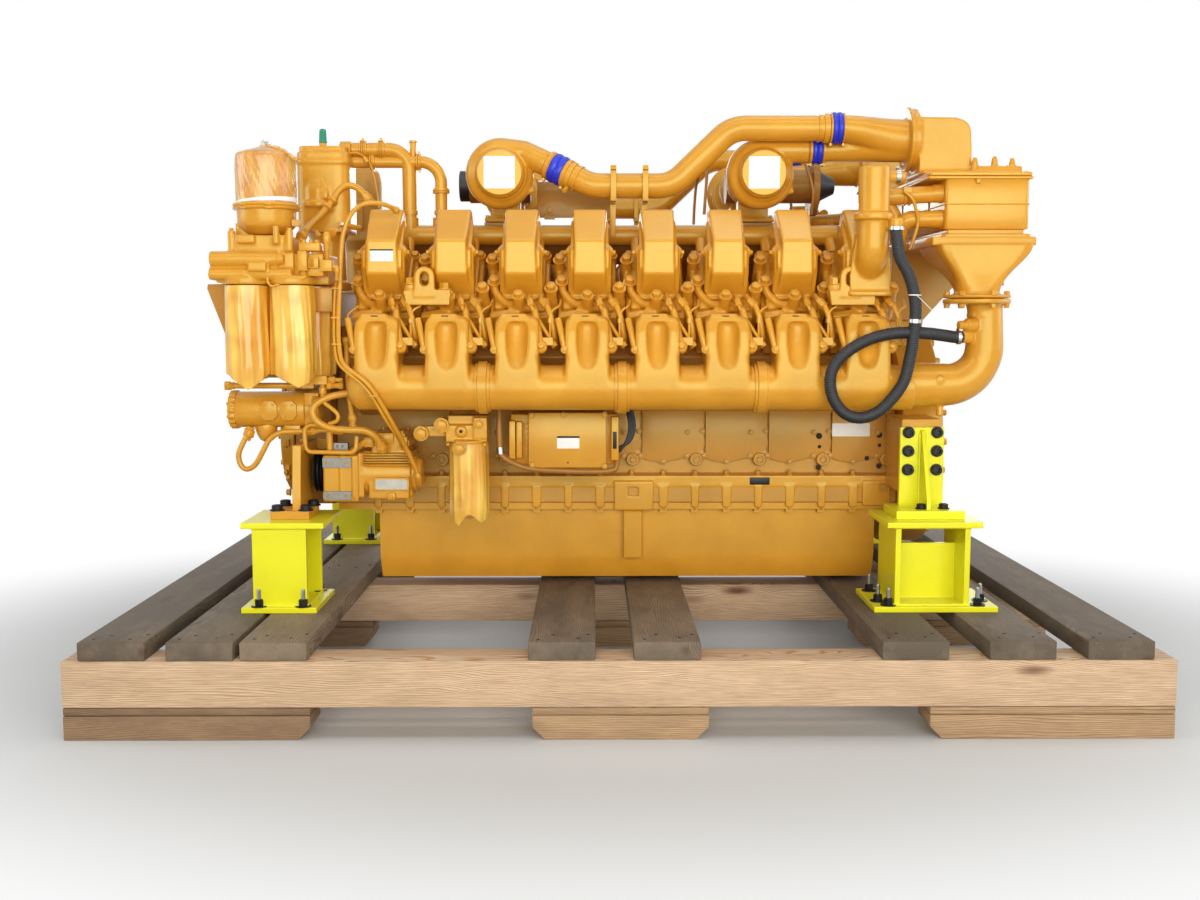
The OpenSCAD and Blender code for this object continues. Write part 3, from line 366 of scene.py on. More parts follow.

# %% [markdown]
# ## Amber enamel
# Inner corners are darkened with the thinner colour, as painted shade.
# The engine was sprayed once, fully assembled, with a high build alkyd enamel. It is glossy on
# pressed covers and orange-peeled on sand castings, darker where it ran thin, and dusty on top.
# Pattern sizes are real: sand casting grain about 2 mm, dust drifts about 150 mm.

# %% Enamel
def enamel(name, colour, thin_and_shade_colour, gloss=0.3, grain=0.35, dust=0.12):
    """Sprayed enamel over a casting or a pressing. grain is the strength of the sand texture."""
    material, tree, shader, place = new_material(name)
    drifts = noise_field(tree, place, 6.5, 5.0, Roughness=0.62)
    shape = add_node(tree, "ShaderNodeNewGeometry").outputs
    upward = add_node(tree, "ShaderNodeSeparateXYZ", {"Vector": shape["Normal"]}).outputs["Z"]
    # the thinner colour shows in drifts, and in inner corners it is painted shade
    corner_shade = remap(tree, shape["Pointiness"], 0.47, 0.4, 0.0, 0.55)
    tone = remap(tree, drifts, 0.35, 0.7, 0.0, 0.38)
    paint = blend(tree, maths(tree, "MAXIMUM", tone, corner_shade), colour, thin_and_shade_colour)
    patchy = maths(tree, "MULTIPLY", remap(tree, upward, 0.55, 1.0, 0.0, dust), drifts)
    sand = bump(tree, noise_field(tree, place, 420.0), grain, 0.0006)
    set_inputs(tree, shader, {
        "Base Color": blend(tree, patchy, paint, "#E9CFA0"),
        "Roughness": maths(tree, "MULTIPLY_ADD", patchy, 1.1, gloss),
        "Coat Weight": 0.15, "Coat Roughness": 0.16, "IOR": 1.5,
        "Specular Tint": linear("#B8F3A8"), "Specular IOR Level": 0.65,
        "Normal": bump(tree, noise_field(tree, place, 95.0, 3.0), 0.3, 0.0012, Normal=sand), })
    return material


AMBER = enamel("amber_enamel_casting", "#D6942A", "#B2721A", grain=0.45)
AMBER_SMOOTH = enamel("amber_enamel_cover", "#D8962A", "#C4821E", gloss=0.23, grain=0.12, dust=0.06)
# a darker, duller copy of the same enamel: painted shade for the crankcase and for plates that sit in shade
AMBER_DULL_SHADED = enamel("amber_enamel_plate", "#C48638", "#9E6826", gloss=0.4, grain=0.3)
# a dark brown copy of the same enamel: painted shade for parts that sit behind or under others
AMBER_DEEP_SHADED = enamel("amber_enamel_hot_casting", "#A86C2C", "#7E4A1E", gloss=0.48, grain=0.6)
LEMON = enamel("lemon_enamel_steel", "#EBE61E", "#DCCB14", grain=0.1, dust=0.1)
FILTER_PAINT = enamel("amber_enamel_canister", "#E2B056", "#C98F3A", grain=0.1)
print("enamels end at material", len(bpy.data.materials))

# %% [markdown]
# ## Plain metals, rubber and plastic
# Small fittings share a few finishes. Each keeps a little noise in its roughness, since a part
# that is handled is never evenly shiny.

# %% Plain finishes
def plain_finish(name, colour, dark, metallic=0.0, rough=0.5, scale=40.0, relief=0.15):
    """A finish with soft variation of colour and gloss, and a fine bump."""
    material, tree, shader, place = new_material(name)
    cloud = noise_field(tree, place, scale, 4.0)
    set_inputs(tree, shader, {
        "Base Color": blend(tree, cloud, colour, dark),
        "Roughness": remap(tree, cloud, 0.0, 1.0, rough - 0.08, rough + 0.1),
        "Metallic": metallic,
        "Normal": bump(tree, noise_field(tree, place, scale * 12), relief, 0.0005), })
    return material


STEEL = plain_finish("machined_steel", "#9A9C9C", "#7C7E80", metallic=1.0, rough=0.34)
ZINC = plain_finish("zinc_plated_clamp", "#C9CCCE", "#A7ABAE", metallic=1.0, rough=0.24)
BLACK_BOLT = plain_finish("black_oxide_bolt", "#26262A", "#17171A", metallic=0.6, rough=0.42)
SILICONE = plain_finish("blue_silicone", "#1F33D6", "#1724A8", rough=0.38, scale=30.0, relief=0.25)
RUBBER = plain_finish("black_rubber", "#1C1E22", "#121317", rough=0.52, scale=60.0, relief=0.3)
PLASTIC = plain_finish("black_moulded_plastic", "#202226", "#15161A", rough=0.44)
GREEN_CAP = plain_finish("green_plastic_cap", "#0F8A66", "#0A7052", rough=0.35)
MACHINED = plain_finish("machined_grey_face", "#8C8A82", "#6E6C64", metallic=0.7, rough=0.42, scale=90.0,
    relief=0.08)
LABEL = plain_finish("blank_paper_label", "#F4F5F3", "#E8E9E6", rough=0.55)
SILVER_LABEL = plain_finish("blank_foil_plate", "#B9B6AC", "#A09D93", metallic=0.3, rough=0.45)
CABLE_TIE = plain_finish("nylon_tie", "#E9E9E4", "#D4D4CE", rough=0.4)
# near black: painted shade for the insides of slots, holes and ports
OPENING_SHADE = plain_finish("shadowed_opening", "#2A1608", "#1C0E05", rough=0.8)
CLEAR_FILM = plain_finish("clear_film_knot", "#DAD8D2", "#B9B6AE", rough=0.12, scale=60.0)
print("plain finishes end at material", len(bpy.data.materials))

# %% [markdown]
# ## Cast shapes
# A casting is hard to draw edge by edge, because every rib and boss runs into the next with a
# fillet. Here its parts are drawn as plain overlapping shapes. A voxel remesh melts them
# together, smoothing turns the steps into fillets, and a decimation brings the faces down.

# %% Melted castings
SCOOP = {"operation": "DIFFERENCE", "solver": "EXACT"}


def cast_shape(bm, voxel=0.004, cuts=None, smooth=6, keep=0.35):
    """One cast surface from overlapping shapes. cuts is a bmesh of shapes to scoop out."""
    melt = ("REMESH", {"mode": "VOXEL", "voxel_size": voxel, "adaptivity": 0.0})
    mesh = with_modifiers(as_mesh(bm), melt)
    if cuts is not None:
        cutter = bpy.data.objects.new("cutter", with_modifiers(as_mesh(cuts), melt))
        bpy.context.scene.collection.objects.link(cutter)
        mesh = with_modifiers(mesh, ("BOOLEAN", {**SCOOP, "object": cutter}), melt)
        bpy.data.objects.remove(cutter)
    steps = [("SMOOTH", {"factor": 0.5, "iterations": smooth})]
    if keep < 1.0:
        steps.append(("DECIMATE", {"ratio": keep}))
    return with_modifiers(mesh, *steps)


print("castings are scooped out with", SCOOP)

# %% [markdown]
# ## Rows and bolts by Geometry Nodes
# Two small node trees serve the whole engine. These helpers start a tree, end it, and run it on
# a mesh. The result is a plain mesh, which can be mirrored and joined like any other.

# %% Tools for node trees
def new_tree(name, result, **inputs):
    """A Geometry Nodes tree with named inputs. Returns the tree, its inputs and its output."""
    tree = bpy.data.node_groups.new(name, "GeometryNodeTree")
    for label, kind in inputs.items():
        tree.interface.new_socket(label.replace("_", " "), in_out="INPUT", socket_type="NodeSocket" + kind)
    tree.interface.new_socket(result, in_out="OUTPUT", socket_type="NodeSocketGeometry")
    return tree, tree.nodes.new("NodeGroupInput").outputs, tree.nodes.new("NodeGroupOutput").inputs


def finish_tree(tree, made, finish, output):
    """Every tree ends by realizing its instances and setting their material."""
    solid = add_node(tree, "GeometryNodeRealizeInstances", {"Geometry": made}).outputs[0]
    painted = add_node(tree, "GeometryNodeSetMaterial", {"Geometry": solid, "Material": finish}).outputs[0]
    tree.links.new(painted, output[0])


def grow(tree, mesh, **values):
    """Runs a tree on a mesh and returns the plain mesh that it makes."""
    worker = bpy.data.objects.new("worker", mesh)
    bpy.context.scene.collection.objects.link(worker)
    modifier = worker.modifiers.new("nodes", "NODES")
    modifier.node_group = tree
    for item in tree.interface.items_tree:
        label = item.name.replace(" ", "_")
        if item.in_out == "INPUT" and label in values:
            modifier[item.identifier] = values[label]
    graph = bpy.context.evaluated_depsgraph_get()
    result = bpy.data.meshes.new_from_object(worker.evaluated_get(graph))
    worker.modifiers.clear()
    bpy.data.objects.remove(worker)
    return result


print("node trees so far:", len(bpy.data.node_groups))

# %% [markdown]
# One tree lays copies of a casting in a row, as eight cylinders ask for. The other puts a hex
# bolt with a washer on every point of a mesh, along an axis and in a size that the point itself
# carries. A bolt is modelled once, and more than five hundred come from it.

# %% Trees for rows and bolts
ROW, given, output = new_tree("row_of_castings", "Row", Casting="Geometry", Count="Int", First_X="Float",
    Pitch="Float", Finish="Material")
line = add_node(ROW, "GeometryNodeMeshLine", {"Count": given["Count"],
    "Start Location": add_node(ROW, "ShaderNodeCombineXYZ", {"X": given["First X"]}).outputs[0],
    "Offset": add_node(ROW, "ShaderNodeCombineXYZ", {"X": given["Pitch"]}).outputs[0]})
copies = add_node(ROW, "GeometryNodeInstanceOnPoints",
    {"Points": line.outputs[0], "Instance": given["Casting"]})
finish_tree(ROW, copies.outputs[0], given["Finish"], output)

BOLTS, given, output = new_tree("hex_bolts", "Bolts", Places="Geometry", Head_Height="Float", Washer="Float",
    Sides="Int", Finish="Material")
depth = given["Head Height"]
head = add_node(BOLTS, "GeometryNodeMeshCylinder",
    {"Vertices": given["Sides"], "Radius": 0.577, "Depth": depth})
half = maths(BOLTS, "MULTIPLY_ADD", depth, 0.5, 0.1)
head = add_node(BOLTS, "GeometryNodeTransform", {"Geometry": head.outputs["Mesh"],
    "Translation": add_node(BOLTS, "ShaderNodeCombineXYZ", {"Z": half}).outputs[0]})
crown = add_node(BOLTS, "GeometryNodeMeshCone", {"Vertices": 12, "Radius Top": 0.4, "Radius Bottom": 0.52,
    "Depth": 0.07})
top = maths(BOLTS, "ADD", depth, 0.1)
crown = add_node(BOLTS, "GeometryNodeTransform", {"Geometry": crown.outputs["Mesh"],
    "Translation": add_node(BOLTS, "ShaderNodeCombineXYZ", {"Z": top}).outputs[0]})
washer = add_node(BOLTS, "GeometryNodeMeshCylinder",
    {"Vertices": 18, "Radius": given["Washer"], "Depth": 0.12})
washer = add_node(BOLTS, "GeometryNodeTransform", {"Geometry": washer.outputs["Mesh"],
    "Translation": (0, 0, 0.06)})
bolt = add_node(BOLTS, "GeometryNodeJoinGeometry")
for part in (head, crown, washer):
    BOLTS.links.new(part.outputs[0], bolt.inputs[0])
axis = add_node(BOLTS, "GeometryNodeInputNamedAttribute", {"Name": "axis"},
    data_type="FLOAT_VECTOR").outputs[0]
size = add_node(BOLTS, "GeometryNodeInputNamedAttribute", {"Name": "size"}, data_type="FLOAT").outputs[0]
aligned = add_node(BOLTS, "FunctionNodeAlignRotationToVector", {"Vector": axis}, axis="Z").outputs[0]
turn = add_node(BOLTS, "FunctionNodeRandomValue", {2: 0.0, 3: 1.05, "Seed": 7}, data_type="FLOAT").outputs[1]
spin = add_node(BOLTS, "FunctionNodeAxisAngleToRotation", {"Axis": (0, 0, 1), "Angle": turn}).outputs[0]
turned = add_node(BOLTS, "FunctionNodeRotateRotation", {"Rotation": aligned, "Rotate By": spin},
    rotation_space="LOCAL").outputs[0]
placed = add_node(BOLTS, "GeometryNodeInstanceOnPoints", {"Points": given["Places"],
    "Instance": bolt.outputs[0], "Rotation": turned, "Scale": size})
finish_tree(BOLTS, placed.outputs[0], given["Finish"], output)


CYLINDERS, PITCH, FIRST_X = 8, 0.24, -0.826
cylinder_x = [FIRST_X + PITCH * i for i in range(CYLINDERS)]


def in_row(mesh, finish, first=FIRST_X):
    """A row of copies along X, one for each of the eight cylinders of a bank, 240 mm apart."""
    return grow(ROW, mesh, Count=CYLINDERS, First_X=first, Pitch=PITCH, Finish=finish)


def bolts(places, finish, head=0.62, washer=0.74, sides=6):
    """Hex bolts at (place, axis, width across flats in metres)."""
    mesh = bpy.data.meshes.new("bolt_places")
    mesh.from_pydata([tuple(place) for place, _, _ in places], [], [])
    mesh.attributes.new("axis", "FLOAT_VECTOR", "POINT")
    mesh.attributes.new("size", "FLOAT", "POINT")
    mesh.attributes["axis"].data.foreach_set("vector",
        [c for _, way, _ in places for c in Vector(way).normalized()])
    mesh.attributes["size"].data.foreach_set("value", [width for _, _, width in places])
    return grow(BOLTS, mesh, Head_Height=head, Washer=washer, Sides=sides, Finish=finish)


test = bolts([((0, 0, 0), (0, 0, 1), 1.0)], STEEL)
print("one bolt, 1 m across flats:", [round(v, 2) for v in test.vertices[0].co], len(test.polygons), "faces")

# %% [markdown]
# ## The bank frame
# Each bank of cylinders leans 45 degrees from the vertical. A shape drawn with X along the
# crankshaft, P towards the vee and S up the cylinder is carried to its place by one matrix.

# %% Bank frame
SLOPE = math.sqrt(0.5)
CRANK_Z = 0.87
BANK = Matrix(((1, 0, 0, 0), (0, SLOPE, -SLOPE, 0), (0, SLOPE, SLOPE, CRANK_Z), (0, 0, 0, 1)))


def bank(x, p, s):
    """A place on the front bank."""
    return BANK @ Vector((x, p, s))


SIDE_PLANE = Matrix(((0, 0, 1, 0), (1, 0, 0, 0), (0, 1, 0, 0), (0, 0, 0, 1)))
FACE_PLANE = Matrix(((1, 0, 0, 0), (0, 0, -1, 0), (0, 1, 0, 0), (0, 0, 0, 1)))


def add_slab(bm, outline, x0, x1):
    """An outline drawn in Y and Z, from x0 to x1."""
    add_prism(bm, outline, Matrix.Translation((x0, 0, 0)) @ SIDE_PLANE, x1 - x0)


def add_face(bm, outline, y0, y1):
    """An outline drawn in X and Z, from y0 out to y1, towards -Y."""
    add_prism(bm, outline, Matrix.Translation((0, y0, 0)) @ FACE_PLANE, y0 - y1)


print("the front bank starts at", [round(v, 3) for v in bank(0, 0, 0)])

# %% [markdown]
# ## The corrugated vent hose
# The one free hose: a corrugated rubber hose, 42 mm across, that leaves the coolant riser,
# hangs in a loop in front of the last cylinders and returns to the intake riser. Its rings are
# real geometry: each ridge is 8 mm from the next and 2 mm high.

# %% Vent hose
HOSE = [(930, -820, 1625), (933, -826, 1590), (944, -830, 1530), (975, -832, 1470), (995, -832, 1400),
    (1000, -832, 1340), (994, -832, 1260), (984, -832, 1190), (965, -834, 1115), (925, -836, 1055),
    (875, -838, 1010), (815, -840, 992), (760, -840, 1012), (724, -840, 1065), (716, -838, 1130),
    (738, -836, 1182), (790, -834, 1228), (860, -832, 1262), (940, -828, 1278), (1030, -818, 1278),
    (1105, -792, 1270), (1150, -768, 1264), (1180, -760, 1262)]
HOSE_D = 0.042
RIDGE_PITCH, RIDGE_H = 0.008, 0.0021


def evenly_spaced(path, step):
    """Points every step along a path, and its length."""
    lengths = [0.0]
    for a, b in zip(path, path[1:]):
        lengths.append(lengths[-1] + (b - a).length)
    count = max(2, round(lengths[-1] / step))
    result, i = [], 0
    for k in range(count + 1):
        target = lengths[-1] * k / count
        while i < len(path) - 2 and lengths[i + 1] < target:
            i += 1
        t = (target - lengths[i]) / max(1e-9, lengths[i + 1] - lengths[i])
        result.append(path[i].lerp(path[i + 1], min(1.0, t)))
    return result, lengths[-1]


hose_line, hose_length = evenly_spaced(smooth_path([Vector(p) * MM for p in HOSE], 10), RIDGE_PITCH / 4)
hose_bm = bmesh.new()
hose_radii = [HOSE_D / 2 - RIDGE_H * (0.5 - 0.5 * math.cos(2 * math.pi * i / 4))
    for i in range(len(hose_line))]
add_tube(hose_bm, hose_line, HOSE_D / 2, 18, hose_radii)
vent_hose = finish_piece("vent_hose_dressed", hose_bm, RUBBER, "corrugated_hose", smooth=60)
print("hose length", round(hose_length, 3))

# %% [markdown]
# ## Timber
# The skid is sawn softwood: clean pine beams, and deck boards that have greyed outdoors.
# Wood is a solid pattern, so the shader draws growth rings round a pith that lies outside each
# plank. Every plank carries its own *grain* coordinates (along, across, up), so the rings come
# out as long figures on its faces and as arcs on its sawn ends. Rings are 5 mm apart.

# %% Wood finish
def timber(name, early, late, stain, stain_amount, ring=0.0052):
    """Sawn softwood. early and late are the colours of a ring, and ring its width in metres."""
    material, tree, shader, _ = new_material(name)
    grain = add_node(tree, "ShaderNodeAttribute", attribute_name="grain").outputs["Vector"]
    tone = add_node(tree, "ShaderNodeAttribute", attribute_name="tone").outputs["Fac"]
    # the trunk bends slowly along its length, and closely round each knot
    drift = noise_field(tree, stretched(tree, grain, (0.9, 6.0, 6.0)), 1.0, 3.0)
    spread = {"Vector": stretched(tree, grain, (2.3, 7.5, 7.5)), "Scale": 1.0, "Randomness": 0.9}
    cells = add_node(tree, "ShaderNodeTexVoronoi", spread).outputs["Distance"]
    knot = remap(tree, cells, 0.2, 0.03, ease="SMOOTHSTEP")
    swirl = remap(tree, cells, 0.5, 0.0, 0.0, 0.02, ease="SMOOTHSTEP")
    # the distance from the pith, counted in rings
    parts = add_node(tree, "ShaderNodeSeparateXYZ", {"Vector": grain}).outputs
    across = maths(tree, "MULTIPLY", parts["Y"], parts["Y"])
    radius = maths(tree, "SQRT", maths(tree, "MULTIPLY_ADD", parts["Z"], parts["Z"], across))
    bent = maths(tree, "ADD", maths(tree, "MULTIPLY_ADD", drift, 0.085, radius), swirl)
    saw = maths(tree, "FRACT", maths(tree, "MULTIPLY", bent, 1.0 / ring))
    band = add_node(tree, "ShaderNodeValToRGB", {"Fac": saw})
    ramp = band.color_ramp.elements
    ramp[0].color, ramp[1].color = (0, 0, 0, 1), (0.1, 0.1, 0.1, 1)
    ramp.new(0.62).color = (0.25, 0.25, 0.25, 1)
    ramp.new(0.86).color = (1, 1, 1, 1)
    fibres = noise_field(tree, stretched(tree, grain, (14.0, 900.0, 900.0)), 1.0, 3.0)
    blotches = noise_field(tree, stretched(tree, grain, (3.0, 9.0, 9.0)), 1.0, 6.0, Roughness=0.7)
    knotted = blend(tree, knot, blend(tree, band.outputs["Color"], early, late), "#6A4022")
    dirt = remap(tree, maths(tree, "ADD", blotches, tone), 0.55, 1.25, 0.0, stain_amount)
    streak = {0: blend(tree, dirt, knotted, stain), "Scale": remap(tree, fibres, 0.36, 0.66, 0.74, 1.1)}
    height = maths(tree, "MULTIPLY_ADD", band.outputs["Color"], 0.5, fibres)
    set_inputs(tree, shader, {
        "Base Color": add_node(tree, "ShaderNodeVectorMath", streak, operation="SCALE").outputs[0],
        "Roughness": 0.74,
        "Normal": bump(tree, height, 0.55, 0.0009), })
    return material


PINE = timber("sawn_pine", "#E2CBAC", "#B4723C", "#8E6C50", 0.62)
PINE_GREY = timber("handled_pine", "#BFA07C", "#8A5E36", "#6E543E", 0.85)
WEATHERED = timber("weathered_softwood", "#A8967E", "#6E5238", "#4C4238", 0.85)
print("woods:", PINE.name, PINE_GREY.name, WEATHERED.name)

# %% [markdown]
# ## The skid
# Three beams stand on runner blocks, and boards lie across them. Planks are drawn one by one
# with a slight bow, a worn arris and their own piece of the grain. The runners are cut back at
# the fork pockets.

# %% Planks
rng = random.Random(41)


def add_plank(bm, low, high, along, tone, bow=0.0, cut_low=False, cut_high=False, steps=24):
    """A plank between two corners. along is 0 or 1, the axis its grain follows."""
    grain = bm.verts.layers.float_vector["grain"]
    shade = bm.verts.layers.float["tone"]
    start = Vector((rng.uniform(0, 40), rng.uniform(-0.05, 0.16), rng.uniform(0.05, 0.14)))
    lean = rng.uniform(-bow, bow)
    chamfer = 0.04
    other = 1 - along
    runs = [low[along] + (high[along] - low[along]) * i / steps for i in range(steps + 1)]
    if cut_low:
        runs.insert(1, low[along] + chamfer)
    if cut_high:
        runs.insert(-1, high[along] - chamfer)
    rings = []
    for i, run in enumerate(runs):
        t = (run - low[along]) / (high[along] - low[along])
        lift = lean * math.sin(math.pi * t)
        ring = []
        for side, up in ((0, 0), (1, 0), (1, 1), (0, 1)):
            place = [0.0, 0.0, 0.0]
            place[along] = run
            cut = not up and ((i == 0 and cut_low) or (i == len(runs) - 1 and cut_high))
            place[other] = (high if side else low)[other] + lift * 0.4
            place[2] = (high if up else low)[2] + (lift if not up else lift * 0.8) + (chamfer if cut else 0.0)
            vert = bm.verts.new(place)
            vert[grain] = start + Vector((place[along], place[other] - low[other], place[2] - low[2]))
            vert[shade] = tone
            ring.append(vert)
        rings.append(ring)
    skin(bm, rings)


def planks():
    """An empty bmesh that can hold a grain and a tone on each vertex."""
    bm = bmesh.new()
    bm.verts.layers.float_vector.new("grain")
    bm.verts.layers.float.new("tone")
    return bm


def finish_planks(name, bm, material, slot, edge=0.004):
    """Planks with worn edges, as one object."""
    bmesh.ops.recalc_face_normals(bm, faces=bm.faces)
    finish_piece(name, bevelled(bm, edge, 2, 40), material, slot, 40)


skid_low, skid_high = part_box("skid_beams")
board_low, board_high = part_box("skid_deck_boards")
BEAM_Y = (skid_low[1], -0.075, skid_high[1] - 0.15)
beams = planks()
for y in BEAM_Y:
    add_plank(beams, (skid_low[0], y, skid_low[2] + 0.001), (skid_high[0], y + 0.15, skid_high[2]), 0, 0.28)
finish_planks("skid_beams_dressed", beams, PINE, "fresh_timber")

runners = planks()
for y in BEAM_Y:
    for x0, x1, low_cut, high_cut in ((skid_low[0], -0.98, False, True), (-0.28, 0.28, True, True),
                                      (0.98, skid_high[0], True, False)):
        dark = 0.55 if x0 < -1 else 0.12
        add_plank(runners, (x0, y, 0.0), (x1, y + 0.15, 0.0785), 0, dark, 0.0, low_cut, high_cut, 12)
        add_plank(runners, (x0, y + 0.002, 0.08), (x1, y + 0.148, 0.1045), 0, dark + 0.1, steps=12)
finish_planks("skid_runners_dressed", runners, PINE_GREY, "weathered_timber")

BOARD_X = [-1.603, -1.325, -1.093, -0.186, 0.147, 0.931, 1.27, 1.581]
boards = planks()
for x in BOARD_X:
    ends = rng.uniform(-0.004, 0.0)
    add_plank(boards, (x - 0.106, board_low[1] + 0.002 - ends, board_low[2] + 0.0005),
        (x + 0.106, board_high[1] - 0.002 + ends, board_high[2]), 1, rng.uniform(0.35, 0.75), 0.0015)
finish_planks("skid_deck_boards_dressed", boards, WEATHERED, "weathered_timber", 0.005)

nail_spots = []
for x in BOARD_X:
    for y in (skid_low[1] + 0.075, 0.0, skid_high[1] - 0.075):
        for dx, dy in ((-0.07, -0.03), (-0.035, 0.025), (0.045, -0.02), (0.078, 0.03)):
            nail_spots.append(((x + dx + rng.uniform(-0.008, 0.008), y + dy + rng.uniform(-0.01, 0.01),
                board_high[2]), (0, 0, 1), 0.009))
finish_piece("skid_nails", bolts(nail_spots, BLACK_BOLT, head=0.02, washer=0.6, sides=8), BLACK_BOLT,
    "bare_steel")
print(len(BOARD_X), "boards,", len(nail_spots), "nails")

# %% [markdown]
# ## Shipping stands
# Four welded steel stands carry the engine on the skid. Each is an I column between two plates,
# with fillet welds round the column, and studs with black nuts through the foot into the boards.

# %% Stands
STAND_Y, DECK_Z, STAND_TOP = 0.67, 0.315, 0.63
LEFT_X, RIGHT_X, PLATE = -1.17, 1.09, 0.02
weld_lines = bmesh.new()


def add_weld(start, end, leg=0.007):
    """A fillet weld: a beaded round bar laid in a corner."""
    start, end = Vector(start), Vector(end)
    count = max(3, round((end - start).length / 0.006))
    line = [start.lerp(end, i / count) for i in range(count + 1)]
    radii = [leg * (0.86 + 0.14 * (i % 2)) for i in range(count + 1)]
    add_tube(weld_lines, line, leg, 6, radii)


def column_welds(x0, x1, y0, y1, z):
    """Welds on the four sides of a column's end."""
    for a, b in (((x0, y0), (x1, y0)), ((x1, y0), (x1, y1)), ((x1, y1), (x0, y1)), ((x0, y1), (x0, y0))):
        add_weld((*a, z), (*b, z))


studs = []
for x, half, feet in ((LEFT_X, 0.0935, [(-0.073, -0.132), (0.08, -0.132), (-0.073, 0.132), (0.08, 0.132)]),
                      (RIGHT_X, 0.13, [(-0.172, -0.062), (-0.15, -0.125), (0.16, -0.125), (0.19, -0.055),
                                       (-0.165, 0.11), (0.17, 0.11)])):
    column_welds(x - half, x + half, -STAND_Y - 0.13, -STAND_Y + 0.13, DECK_Z + PLATE)
    column_welds(x - half, x + half, -STAND_Y - 0.13, -STAND_Y + 0.13, STAND_TOP - PLATE)
    for dx, dy in feet:
        studs.append((x + dx, -STAND_Y + dy, DECK_Z + PLATE))
nuts = bolts([(place, (0, 0, 1), 0.027) for place in studs], BLACK_BOLT, head=0.8, washer=1.02)
rods = bmesh.new()
for x, y, z in studs:
    thread = [(0.02 + 0.0015 * i, 0.0075 - 0.0008 * (i % 2)) for i in range(26)]
    add_lathe(rods, (x, y, z), (0, 0, 1), [(0.0, 0.0075)] + thread + [(0.062, 0.005)], 14)
finish_pair("stand_nuts", nuts, BLACK_BOLT, "bare_steel")
finish_pair("stand_studs", rods, STEEL, "bare_steel")
print(len(studs), "studs on the front side")

# %% [markdown]
# The brackets at the flywheel end are one upright plate with a middle gusset and six black
# capscrews. The free end stands on cast feet with black screws and rubber-edged washers.

# %% Brackets and feet
top_z = CRANK_Z + 0.071
foot_z = STAND_TOP + 0.03
add_weld((RIGHT_X - 0.079, -0.622, foot_z), (RIGHT_X + 0.079, -0.622, foot_z))
add_weld((RIGHT_X - 0.009, -0.622, foot_z + 0.01), (RIGHT_X - 0.009, -0.622, top_z - 0.02), 0.005)
add_weld((RIGHT_X + 0.009, -0.622, foot_z + 0.01), (RIGHT_X + 0.009, -0.622, top_z - 0.02), 0.005)
finish_pair("stand_welds", weld_lines, LEMON, "stand_enamel")
socket_heads = bmesh.new()
for dx in (-0.05, 0.052):
    for z in (top_z - 0.018, top_z - 0.085, top_z - 0.152):
        add_lathe(socket_heads, (RIGHT_X + dx, -0.6205, z), (0, -1, 0), [(0, 0.0215), (0.003, 0.0215),
            (0.0035, 0.018), (0.02, 0.018), (0.022, 0.0155), (0.022, 0.01), (0.012, 0.0095)], 24)
for dx, dy in ((-0.02, -0.035), (0.06, -0.03)):
    add_lathe(socket_heads, (RIGHT_X + dx, -STAND_Y + dy, foot_z), (0, 0, 1), [(0, 0.021), (0.003, 0.021),
        (0.0035, 0.0165), (0.016, 0.0165), (0.018, 0.014), (0.018, 0.009), (0.01, 0.0085)], 20)
for dx, dy in ((-0.02, -0.06), (0.08, -0.06), (-0.02, 0.06), (0.08, 0.06)):
    add_lathe(socket_heads, (LEFT_X + dx, -STAND_Y + dy, foot_z), (0, 0, 1), [(0, 0.026), (0.004, 0.026),
        (0.005, 0.019), (0.018, 0.019), (0.02, 0.016), (0.02, 0.01), (0.012, 0.0095)], 20)
finish_pair("foot_capscrews", socket_heads, BLACK_BOLT, "bare_steel")
for node in ("stand_front_left", "stand_front_right", "stand_rear_left", "stand_rear_right",
             "foot_brackets_right"):
    softened(node, LEMON, "stand_enamel", 0.0025)
softened("engine_feet_left", AMBER, "engine_enamel", 0.008, 3)
print(len(studs) * 2, "studs")

# %% [markdown]
# ## Rocker covers
# Each cylinder has its own deep pressed cover with a sloping top, an upright front face and an
# ear with a screw on each side. The cover is drawn once and a row of eight makes a bank.

# %% Rocker covers
COVER_SIDE = [(-0.052, 0.812), (0.188, 0.812), (0.213, 0.945), (0.212, 0.978), (0.202, 0.99), (0.024, 1.0025),
    (-0.057, 0.9215)]
COVER_HALF = [0.06, 0.062, 0.064, 0.061, 0.059, 0.053, 0.056]
COVER_X = 0.008  # the covers stand this far towards the flywheel from their bores


def add_cover_shell(bm):
    """The side outline, with its own half width at every corner."""
    left = [bm.verts.new((-half, p, s)) for (p, s), half in zip(COVER_SIDE, COVER_HALF)]
    right = [bm.verts.new((half, p, s)) for (p, s), half in zip(COVER_SIDE, COVER_HALF)]
    count = len(left)
    for k in range(count):
        m = (k + 1) % count
        bm.faces.new((left[k], right[k], right[m], left[m]))
    bm.faces.new(left)
    bm.faces.new(list(reversed(right)))
    bmesh.ops.triangulate(bm, faces=bm.faces)


def add_plate_round(bm, x0, x1, p0, p1, s0, s1, corner, turn=5):
    """A plate with rounded corners, flat across S."""
    outline = []
    for cx, cp, start in ((x1 - corner, p1 - corner, 0), (x0 + corner, p1 - corner, 90),
                          (x0 + corner, p0 + corner, 180), (x1 - corner, p0 + corner, 270)):
        for k in range(turn + 1):
            a = math.radians(start + 90 * k / turn)
            outline.append((cx + corner * math.cos(a), cp + corner * math.sin(a)))
    add_prism(bm, outline, Matrix.Translation((0, 0, s0)), s1 - s0)


